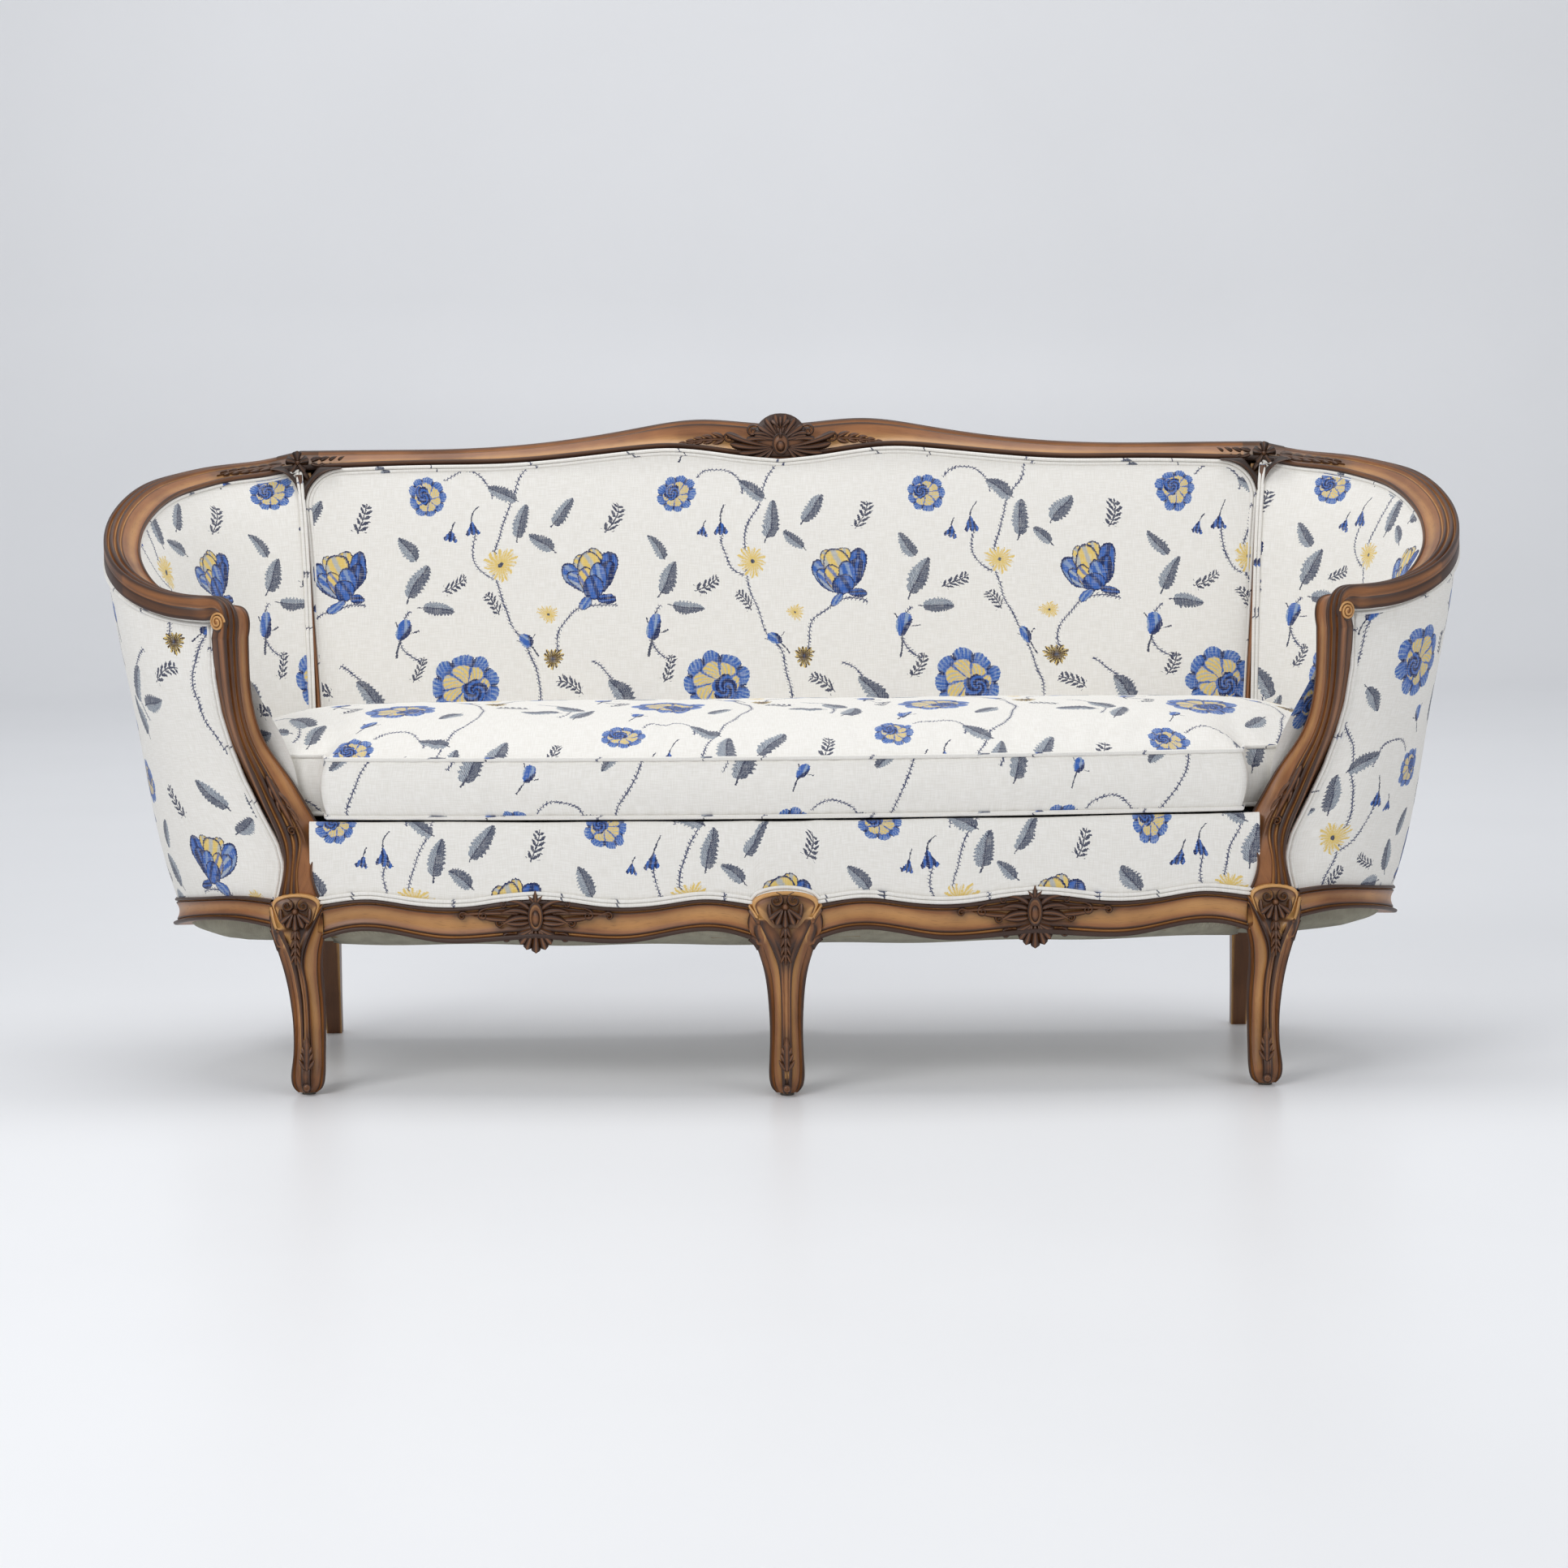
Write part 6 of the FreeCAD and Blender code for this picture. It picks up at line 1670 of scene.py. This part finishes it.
def double_welt(panel, path, facing):
    """Sews two cords along the edge of a panel, on its left as seen along the path from the side it faces."""
    path = np.asarray(path, float)
    ahead = unit(np.gradient(path, axis=0))
    facing = np.broadcast_to(np.asarray(facing, float), path.shape)
    inward = unit(np.cross(ahead, facing))
    cords = []
    for i in range(2):
        line = path + inward * WELT * (2 * i + 0.9) + facing * WELT * 0.7
        cords.append(tube("cord_" + str(i), line, WELT, LINEN, sides=8, caps=False))
    return joined(panel.name, [panel] + cords)


def back_front(x, z):
    """The plane of the inner back at a height, hollowed towards its middle."""
    ridge = ridge_front(z)
    return ridge[1] + (BACK_BOW - 4) * (1 - (x / ridge[0]) ** 2)


def pillow(share, edge=0.12):
    """0 at both ends of a panel and 1 over its middle, with round shoulders."""
    rise = np.minimum(share, 1 - share) / edge
    return np.sqrt(np.clip(1 - (1 - np.clip(rise, 0, 1)) ** 2, 0, 1))


def inner_back():
    """The back panel, swelling a little, with rounded upper corners."""
    radius = CENTRE_CORNER_RADIUS
    half = ridge_front(RAIL_TOP - RAIL_FACE - 10)[0] - RIDGE_WIDTH / 2
    outer = 1 - np.linspace(0.5, 0, 18) ** 2 * 0.36
    shares = np.unique(np.concatenate([np.linspace(0, 0.91, 50), outer]))
    shares = np.concatenate([-shares[:0:-1], shares])
    heights = np.linspace(0, 1, 60)
    rows = []
    for share in shares:
        top_x = abs(share) * half
        end = CORNER_X - CORNER_INNER
        inside = max(0.0, top_x - (half - radius))
        fall = radius - math.sqrt(max(radius ** 2 - inside ** 2, 0.0))
        top = crest_at(min(top_x, end), 2) - crest_face(min(top_x, end)) + 1.0 - fall
        row = []
        for t in heights:
            z = DECK_TOP - 8 + (top - DECK_TOP + 8) * t
            edge = ridge_front(z)[0] - RIDGE_WIDTH / 2 - 0.4
            x = share * edge
            rising = math.sin(math.pi * min(1.0, 0.12 + 0.88 * t)) ** 0.6
            swell = 14 * pillow(0.5 + share / 2, 0.10) ** 0.8 * rising
            row.append((x, back_front(x, z) + 6 - swell, z))
        rows.append(row)
    rows = np.array(rows)
    uv = np.stack([rows[..., 0], rows[..., 2] * 1.03], axis=-1) * MM
    panel = swept("inner_back_cloth", rows, LINEN, uv=uv, closed=False)
    edge = np.concatenate([rows[0, 8:], rows[1:-1, -1], rows[-1, :7:-1]])
    panel = double_welt(panel, edge, (0, -1, 0))
    stuffed("inner_back_panel")


def inner_side_curve():
    """Foot of the inner side panel in plan, from the parting ridge to the front leg."""
    ridge = ridge_front(DECK_TOP)
    start = (ridge[0] + RIDGE_WIDTH / 2 + 1, ridge[1] + 2, 0)
    widest = (SIDE_INNER_X, SEAT_SIDE[1], 0)
    end = (LEG_INNER_X + 36, LEG_BLOCK_DEPTH - 8, 0)
    return Curve([start, blend(start, widest, 0.42, 0.16, 0), blend(start, widest, 0.86, 0.52, 0), widest,
                  blend(widest, end, 0.25, 0.6, 0), blend(widest, end, 0.62, 0.88, 0), end])


def panel_rows(columns, count):
    """A cloth panel from columns of guide points, its rows following smooth lines through them."""
    return np.array([Curve(column).at(np.linspace(0, 1, count)) for column in columns])


def cloth_uv(rows, start=(0.0, 0.0)):
    """Texture places in metres: along the panel at its middle height, and up its own surface."""
    middle = rows[:, rows.shape[1] // 2]
    along = np.concatenate([[0], np.cumsum(np.linalg.norm(np.diff(middle, axis=0), axis=1))])
    steps = np.linalg.norm(np.diff(rows, axis=1), axis=2)
    up = np.concatenate([np.zeros((len(rows), 1)), np.cumsum(steps, axis=1)], axis=1)
    return np.stack([np.broadcast_to(along[:, None], up.shape) * MM + start[0], up * MM + start[1]], axis=-1)


def side_facing(count, start, sign):
    """Which way the cloth of a side faces along its welt: one way beside a post, then as the rail turns."""
    share = np.clip((np.arange(count) - start) / (count - start), 0, 1)
    if sign > 0:
        share = 1 - share
    ts = CLOTH_START + (INNER_CLOTH_END - CLOTH_START) * share
    return outward_of(WING.heading(ts)) * sign


def inner_side():
    """The padded lining of the wing and arm."""
    curve = inner_side_curve()
    columns = []
    for s in np.linspace(0, 1, 70):
        t = CLOTH_START + (INNER_CLOTH_END - CLOTH_START) * s
        out = outward_of(WING.heading(t))
        rail = WING.at(t) + out * (1.5 - RAIL_WIDTH) - UP * (RAIL_FACE - 1)
        seat = curve.at(s)
        low_out = outward_of(curve.heading(s))
        bottom = seat + UP * (DECK_TOP - 20)
        shoulder = seat + UP * (DECK_TOP + 70) + low_out * 3
        middle = (shoulder + rail) * 0.5 - (out + low_out) * 4
        columns.append([bottom, shoulder, middle, rail * 0.85 + middle * 0.15 - out * 3, rail + out * 2])
    rows = panel_rows(columns, 50)
    panel = swept("inner_side_cloth_right", rows, LINEN, uv=cloth_uv(rows, (0.11, 0.33)), closed=False)
    edge = np.concatenate([rows[0, 12:], rows[1:, -1]])
    panel = double_welt(panel, edge, side_facing(len(rows) + len(rows[0]) - 13, len(rows[0]) - 13, -1))
    stuffed_pair(panel, "inner_side")


def outer_side():
    """The cloth over the outside of the wing and arm, and down the side of the arm support."""
    first = SIDE.find(0, LEG_OUTER_X + 2, 0, 0.2)
    last = SIDE.find(0, LEG_OUTER_X + 4, 0.8, 1)
    columns = []
    for s in np.linspace(0, 1, 80):
        t = CLOTH_START + (OUTER_CLOTH_END - CLOTH_START) * s
        out = outward_of(WING.heading(t))
        rail = WING.at(t) - out * 0.5 - UP * (RAIL_BAND - 1)
        q = last + (first - last) * s
        low_out = -outward_of(SIDE.heading(q))
        seat = SIDE.at(q) - low_out * 3 - UP * 2
        middle = (seat + rail) * 0.5 + (out + low_out) * 4
        low = seat * 0.9 + middle * 0.1 + low_out * 3
        high = rail * 0.9 + middle * 0.1 + out * 1.5
        columns.append([seat, low, middle, high, rail])
    rows = panel_rows(columns, 50)
    edge = np.array([support_edge(z) for z in rows[-1, :, 2]])
    lead = edge - rows[-1]
    lead[:, 2] = 0
    shares = np.clip((np.linspace(0, 1, len(rows)) - 0.62) / 0.38, 0, 1) ** 2
    rows = rows + shares[:, None, None] * lead
    uv = cloth_uv(rows, (0.05, 0.2))
    panel = swept("outer_side_cloth_right", rows, LINEN, uv=uv, closed=False, flip=True)
    edge = np.concatenate([rows[:, -1], rows[-1, -2::-1]])[::-1]
    panel = double_welt(panel, edge, side_facing(len(edge), len(rows[0]) - 1, 1))
    stuffed_pair(panel, "outer_side")


def outer_back():
    """The cloth over the back of the sofa."""
    half = POST_SEAT[0] + POST_SIZE / 2 + 8
    columns = []
    for x in np.linspace(-half, half, 90):
        rail_x = x * (CORNER_X + 0.4 * POST_SIZE) / half
        place = min(abs(rail_x), CORNER_X - CORNER_INNER)
        top_y = crest_at(place, 1)
        top_z = crest_at(place, 2)
        low = np.array([x, SEAT_BACK_Y + 8.5, SEAT_RAIL_TOP - 20])
        high = np.array([rail_x, top_y - 1, top_z - RAIL_BAND + 1])
        columns.append([low, (low + high) / 2 + (0, 3, 0), high])
    folds = np.array([[0, 22, 0], [0, 15, 0], [0, 7, 0]])
    first = [list(columns[0] - folds * share) for share in (1.0, 0.6, 0.2)]
    last = [list(columns[-1] - folds * share) for share in (0.2, 0.6, 1.0)]
    rows = panel_rows(first + columns + last, 40)
    panel = swept("outer_back_cloth", rows, LINEN, uv=cloth_uv(rows, (0.0, 0.1)), closed=False, flip=True)
    stuffed("outer_back_panel")


def seat_front_line(x):
    """Height of the top of the front rail under the cloth."""
    share = np.abs(np.abs(x) - RAIL_MIDDLE) / RAIL_HALF
    line = SEAT_RAIL_TOP + graph([(a, b) for a, b, _ in RAIL_WAVE], np.clip(share, 0, 1))
    dome = 14 * np.sqrt(np.clip(1 - (np.asarray(x, float) / 40) ** 2, 0, 1))
    return line + dome


def seat_front():
    """The stuffed front and top of the seat below the cushion."""
    half = LEG_INNER_X + 16
    x = np.linspace(-half, half, 170)
    low = seat_front_line(x) - 3
    y = front_y(x)
    rows = []
    for depth, rise in ((5.5, 0.0), (3.0, 0.06), (1.4, 0.2), (0.6, 0.45), (0.8, 0.75), (1.8, 0.95),
                        (4.5, 1.06), (9, 1.085), (18, 1.07), (40, 1.02), (70, 1.0), (200, 1.0), (330, 1.0),
                        (470, 1.0)):
        rows.append(np.stack([x, y + depth, low + (DECK_TOP - 1 - low) * rise], axis=1))
    rows = np.array(rows)
    uv = cloth_uv(rows.transpose(1, 0, 2), (0.17, 0.26)).transpose(1, 0, 2)
    panel = swept("seat_front_cloth", rows, LINEN, uv=uv, closed=False)
    edge = np.stack([x, y + 2, low + 3], axis=1)[::-1]
    panel = double_welt(panel, edge, (0, -1, 0))
    stuffed("seat_deck")


# The loose cushion

CUSHION_COLUMNS = 150
CUSHION_ROWS = 62
FILL_STEPS = 20              # steps of the simulation that fills the cushion
FILL_LIMIT = 0.012           # the most that it may move the cover, in metres


def cushion_outline():
    """Right half of the cushion's plan, from the middle of the front round to the middle of the back."""
    front = [(x, float(front_y(x)) + 10) for x in np.linspace(0, LEG_INNER_X - 8, 24)]
    corner = [(LEG_INNER_X - 1, LEG_BLOCK_DEPTH)]
    curve = inner_side_curve()
    side = []
    for s in np.linspace(0.90, 0.05, 24):
        point = curve.at(s) - outward_of(curve.heading(s)) * 5
        side.append((point[0], point[1]))
    edge = ridge_front(DECK_TOP)[0]
    back = [(x, float(back_front(x, DECK_TOP)) - 6) for x in np.linspace(edge * 0.9, 0, 24)]
    return front, corner + side, back


def cushion_boundary():
    """The four sides of the cushion's plan as even lines between its corners."""
    def across(line):
        return resampled([(-x, y) for x, y in line[:0:-1]] + line, CUSHION_COLUMNS)

    front, side, back = cushion_outline()
    front_line, back_line = across(front), across(back[::-1])
    start, finish = front_line[-1], back_line[-1]
    right_line = resampled([tuple(start)] + side + [tuple(finish)], CUSHION_ROWS)
    return front_line, right_line, back_line, right_line * (-1, 1)


def cushion_grid():
    """Plan of the cushion as a grid, drawn between its four sides."""
    front, right, back, left = cushion_boundary()
    u = np.linspace(0, 1, CUSHION_COLUMNS)[None, :, None]
    v = np.linspace(0, 1, CUSHION_ROWS)[:, None, None]
    across = left[:, None] * (1 - u) + right[:, None] * u
    along = front[None] * (1 - v) + back[None] * v
    front_corners = front[0] * (1 - u) * (1 - v) + front[-1] * u * (1 - v)
    return across + along - (front_corners + back[0] * (1 - u) * v + back[-1] * u * v)


def seam_loop(grid):
    """The cells round the rim of a grid, in order."""
    return np.concatenate([grid[0], grid[1:, -1], grid[-1, -2::-1], grid[-2:0:-1, 0]])


def edge_distance(plan):
    """How far each point of the grid lies from the cushion's edge, in millimetres."""
    flat = plan.reshape(-1, 2)
    distance = np.full(len(flat), 1e9)
    for point in seam_loop(plan):
        distance = np.minimum(distance, np.linalg.norm(flat - point, axis=1))
    return distance.reshape(plan.shape[:2])


def metres_of(mesh):
    """The points of a mesh as it is stored, one row each."""
    places = np.empty(3 * len(mesh.vertices), np.float32)
    mesh.vertices.foreach_get("co", places)
    return places.reshape(-1, 3)


def cushion():
    """Top, bottom and boxing of the cushion, with its seams drawn in by the piping."""
    plan = cushion_grid()
    distance = edge_distance(plan)
    rise = 1 - np.exp(-distance / 55)
    top = np.dstack([plan, CUSHION_SEAM + (CUSHION_CROWN - CUSHION_SEAM) * rise])
    bottom_drop = (CUSHION_LOW_SEAM - CUSHION_BOTTOM) * np.clip(distance / 90, 0, 1)
    bottom = np.dstack([plan, CUSHION_LOW_SEAM - bottom_drop])
    index = np.arange(CUSHION_ROWS * CUSHION_COLUMNS).reshape(CUSHION_ROWS, CUSHION_COLUMNS)
    loop = seam_loop(index)
    count = index.size
    faces = grid_faces(CUSHION_ROWS, CUSHION_COLUMNS)
    faces += [[count + i for i in face[::-1]] for face in faces]
    points = [top.reshape(-1, 3), bottom.reshape(-1, 3)]
    high = top.reshape(-1, 3)[loop]
    low = bottom.reshape(-1, 3)[loop]
    out = unit((high - (0, 220, 0)) * (0.5, 1, 0))
    rings = [loop]
    steps = 8
    for k in range(1, steps):
        share = k / steps
        belly = 7 * math.sin(math.pi * share)
        points.append(high + (low - high) * share + out * belly)
        rings.append(np.arange(len(loop)) + 2 * count + (k - 1) * len(loop))
    rings.append(loop + count)
    for upper, lower in zip(rings, rings[1:]):
        for i in range(len(loop)):
            j = (i + 1) % len(loop)
            faces.append([upper[j], upper[i], lower[i], lower[j]])
    piece = add_mesh("seat_cushion_cover", np.concatenate(points), faces, LINEN, body=CUSHION_BODY)
    cushion_uv(piece, loop, count)
    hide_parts("seat_cushion")
    return piece, loop, count


def cushion_uv(piece, loop, count):
    """Top and bottom keep their plan, and the boxing runs round the cushion."""
    mesh = piece.data
    co = metres_of(mesh)
    steps = np.linalg.norm(np.diff(co[loop], axis=0), axis=1)
    along = np.concatenate([[0], np.cumsum(steps)])
    place = {int(v): along[i] for i, v in enumerate(loop)}
    place.update({int(v) + count: along[i] for i, v in enumerate(loop)})
    for i in range(2 * count, len(co)):
        place[i] = along[(i - 2 * count) % len(loop)]
    layer = mesh.uv_layers.new(name="cloth")
    values = np.empty((len(mesh.loops), 2), np.float32)
    for face in mesh.polygons:
        corners = list(face.vertices)
        flat = all(v < count for v in corners) or all(count <= v < 2 * count for v in corners)
        for k, v in zip(face.loop_indices, corners):
            if flat:
                values[k] = co[v][0] + 0.06, co[v][1] * 1.02 + 0.21
            else:
                values[k] = place[v] + 0.31, co[v][2] + 0.02
        ends = [values[k][0] for k in face.loop_indices]
        if not flat and max(ends) - min(ends) > 1:
            for k in face.loop_indices:
                if values[k][0] < 1:
                    values[k][0] += along[-1]
    layer.data.foreach_set("uv", values.ravel())


def puff(piece, loop, count):
    """Fills the cushion by a short cloth simulation under pressure, held at its seams and bottom."""
    mesh = piece.data
    before = metres_of(mesh)
    group = piece.vertex_groups.new(name="held")
    held = [int(v) for v in loop] + [int(v) + count for v in loop] + list(range(count, 2 * count))
    group.add(sorted(set(held)), 1.0, "REPLACE")
    cloth = piece.modifiers.new("fill", "CLOTH")
    settings = cloth.settings
    settings.quality = 5
    settings.mass = 0.3
    settings.tension_stiffness = 12
    settings.compression_stiffness = 12
    settings.shear_stiffness = 6
    settings.bending_stiffness = 0.4
    settings.use_pressure = True
    settings.uniform_pressure_force = 4.0
    settings.vertex_group_mass = "held"
    settings.effector_weights.gravity = 0.0
    settings.shrink_min = -0.012        # the cover is cut 1.2 per cent wide
    cloth.collision_settings.use_collision = False
    scene = bpy.context.scene
    scene.frame_start = 1
    scene.frame_end = FILL_STEPS
    for step in range(1, FILL_STEPS + 1):
        scene.frame_set(step)
    filled = piece.evaluated_get(bpy.context.evaluated_depsgraph_get())
    move = metres_of(filled.to_mesh()) - before
    filled.to_mesh_clear()
    piece.modifiers.remove(cloth)
    scene.frame_set(1)
    length = np.linalg.norm(move, axis=1)
    move *= (FILL_LIMIT * np.tanh(length / FILL_LIMIT) / np.maximum(length, 1e-9))[:, None]
    mesh.vertices.foreach_set("co", (before + move).ravel())
    mesh.update()


def cushion_pieces():
    """The filled cushion and the piping along its two seams."""
    piece, loop, count = cushion()
    puff(piece, loop, count)
    co = metres_of(piece.data) / MM + (0, MIDDLE_Y, 0)
    for label, ring in (("top", loop), ("bottom", loop + count)):
        path = co[ring]
        out = unit((path - path.mean(axis=0)) * (1, 1, 0))
        tube("cushion_piping_" + label, path + out * 1.2, PIPING, LINEN, closed=True, sides=10, caps=False,
             body=CUSHION_BODY)


# Inside and below

def dust_cover():
    """The pale cloth tacked under the seat, sagging below the rails."""
    def outline(inset):
        """Plan of the cloth inside the rails and round the legs."""
        points = [(x, float(front_y(x)) + 14 + inset) for x in np.linspace(0, LEG_INNER_X - 8, 30)]
        points.append((LEG_INNER_X - 8 - inset * 0.4, LEG_BLOCK_DEPTH + 2 + inset * 0.6))
        points.append((LEG_OUTER_X + 10 - inset * 0.6, LEG_BLOCK_DEPTH + 2 + inset * 0.6))
        for q in np.linspace(0.22, 0.7, 16):
            point = SIDE.at(q) + outward_of(SIDE.heading(q)) * (14 + inset)
            points.append((point[0], point[1]))
        points.append((POST_SEAT[0] + 24 - inset * 0.5, POST_SEAT[1] - 24 - inset))
        points.append((POST_SEAT[0] - 24 - inset, POST_SEAT[1] - 24 - inset))
        points += [(x, SEAT_BACK_Y - 40 - inset) for x in np.linspace(600 - inset, 0, 20)]
        left = [(-x, y) for x, y in points[-2:0:-1]]
        return resampled(points + left + points[:1], 300)[:-1]

    rings = []
    for inset, z in ((-3, 226), (-1, 208), (8, 200), (26, 193.5), (50, 189), (70, 187.2), (110, 187)):
        plan = outline(inset)
        sag = 1.2 * np.sin(plan[:, 0] / 37) * min(1.0, inset / 40) if inset > 0 else 0 * plan[:, 0]
        rings.append(np.column_stack([plan, z + sag]))
    middle = plan[:, 1].mean()
    for share in (0.66, 0.33, 0.0):
        inner = np.column_stack([plan[:, 0] * (0.7 + 0.3 * share), middle + (plan[:, 1] - middle) * share])
        rings.append(np.column_stack([inner, np.full(len(inner), 187.0)]))
    piece = swept("dust_cloth_sheet", rings, DUST_CLOTH, caps=False)
    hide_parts("dust_cover")


def dress_inner_nodes():
    """Materials for the construction's own pieces that stay in view from below."""
    beech = ("back_rail_right", "back_rail_left", "seat_stretcher", "corner_braces", "back_tack_rail")
    chosen = ((BEECH, beech), (PLAIN_WALNUT, ("rear_leg_centre",)), (STEEL, ("foot_glides", "seat_springs")),
              (JUTE, ("seat_webbing",)))
    for material, names in chosen:
        for name in names:
            for slot in frame["nodes"][name].material_slots:
                slot.material = material


# Stage, in metres

WALL_Y = 7.6
WALL_BEND = 1.2              # radius between the floor and the wall
LENS = 93.02
CAMERA_AHEAD = 5.250         # from the front of the seat
CAMERA_HEIGHT = 0.927
CAMERA_PITCH = 5.716         # degrees below the level
CAMERA_ROLL = 0.58
# Lights: name, place, what they face, size, power
LIGHTS = [("key", (-2.6, -3.4, 3.2), (0, 0, 0.5), (2.2, 1.6), 82),
          ("fill", (3.2, -3.0, 2.6), (0, 0, 0.5), (2.4, 1.8), 32),
          ("wall", (0.0, 2.5, 3.6), (0, 7.6, 1.6), (5.0, 1.0), 60),
          ("top", (0.0, 0.4, 3.2), (0, 0, 0.5), (3.0, 1.6), 38)]


def stage_material(name, colour, roughness):
    """A faintly cloudy surface."""
    paint = Paint(name, roughness, 0.4)
    x, y, z = paint.position()
    cloudy = paint.noise(paint.joined(x, y, z), scale=1.1, detail=5.0)
    darker = tuple(value * 0.97 for value in colour[:3]) + (1.0,)
    paint.colour(paint.mix(cloudy.ramp(0.3, 0.7), colour, darker))
    return paint.material


def stage():
    """A pale studio floor that curves up into a pale wall."""
    line = [(-7.5, 0.0), (5.6, 0.0)]
    for angle in np.linspace(0, math.pi / 2, 16):
        across, up = WALL_BEND * math.sin(angle), WALL_BEND * (1 - math.cos(angle))
        line.append((WALL_Y - WALL_BEND + across, up))
    line.append((WALL_Y, 7.0))
    points = [(x, y, z) for y, z in line for x in (-9.0, 9.0)]
    mesh = bpy.data.meshes.new("studio")
    mesh.from_pydata(points, [], grid_faces(len(line), 2))
    mesh.shade_smooth()
    mesh.materials.append(stage_material("studio_floor", srgb(244, 244, 245), 0.35))
    floor = bpy.data.objects.new("studio", mesh)
    bpy.context.scene.collection.objects.link(floor)


def area_light(name, place, target, size, power):
    """A soft rectangular light that faces its target."""
    lamp = bpy.data.lights.new(name, "AREA")
    lamp.shape = "RECTANGLE"
    lamp.size, lamp.size_y = size
    lamp.energy = power
    holder = bpy.data.objects.new(name, lamp)
    bpy.context.scene.collection.objects.link(holder)
    holder.location = place
    way = Vector(target) - Vector(place)
    holder.rotation_euler = way.to_track_quat("-Z", "Y").to_euler()


def light():
    """A pale sky and four soft lights."""
    world = bpy.data.worlds.new("studio_world")
    bpy.context.scene.world = world
    world.use_nodes = True
    background = world.node_tree.nodes["Background"]
    background.inputs["Color"].default_value = srgb(236, 240, 246)
    background.inputs["Strength"].default_value = 0.58
    for values in LIGHTS:
        area_light(*values)


def camera():
    """The photograph's viewpoint: far away, a little above the sofa, looking down and turned a little."""
    data = bpy.data.cameras.new("camera")
    data.lens = LENS
    data.sensor_width = 36.0
    data.sensor_fit = "HORIZONTAL"
    data.clip_end = 100
    holder = bpy.data.objects.new("camera", data)
    bpy.context.scene.collection.objects.link(holder)
    pitch = math.radians(90 - CAMERA_PITCH)
    roll = math.radians(-CAMERA_ROLL)
    turn = Matrix.Rotation(pitch, 4, "X") @ Matrix.Rotation(roll, 4, "Z")
    place = Matrix.Translation((0, -CAMERA_AHEAD - MIDDLE_Y * MM, CAMERA_HEIGHT))
    holder.matrix_world = place @ turn
    bpy.context.scene.camera = holder


camera()
light()
stage()
bpy.context.scene.view_settings.view_transform = "Standard"

wooden = crest_rail() + rear_posts() + wing_rails() + arm_rails() + arm_supports()
wooden += front_rails() + side_rails() + front_legs() + centre_leg()
# Each wooden piece notes its ridges, painted golden as wear and highlight, and its grooves, painted dark as
# shade
for piece in wooden:
    mark_wear_and_painted_light(piece)

inner_back()
inner_side()
outer_side()
outer_back()
seat_front()
cushion_pieces()
dust_cover()
dress_inner_nodes()
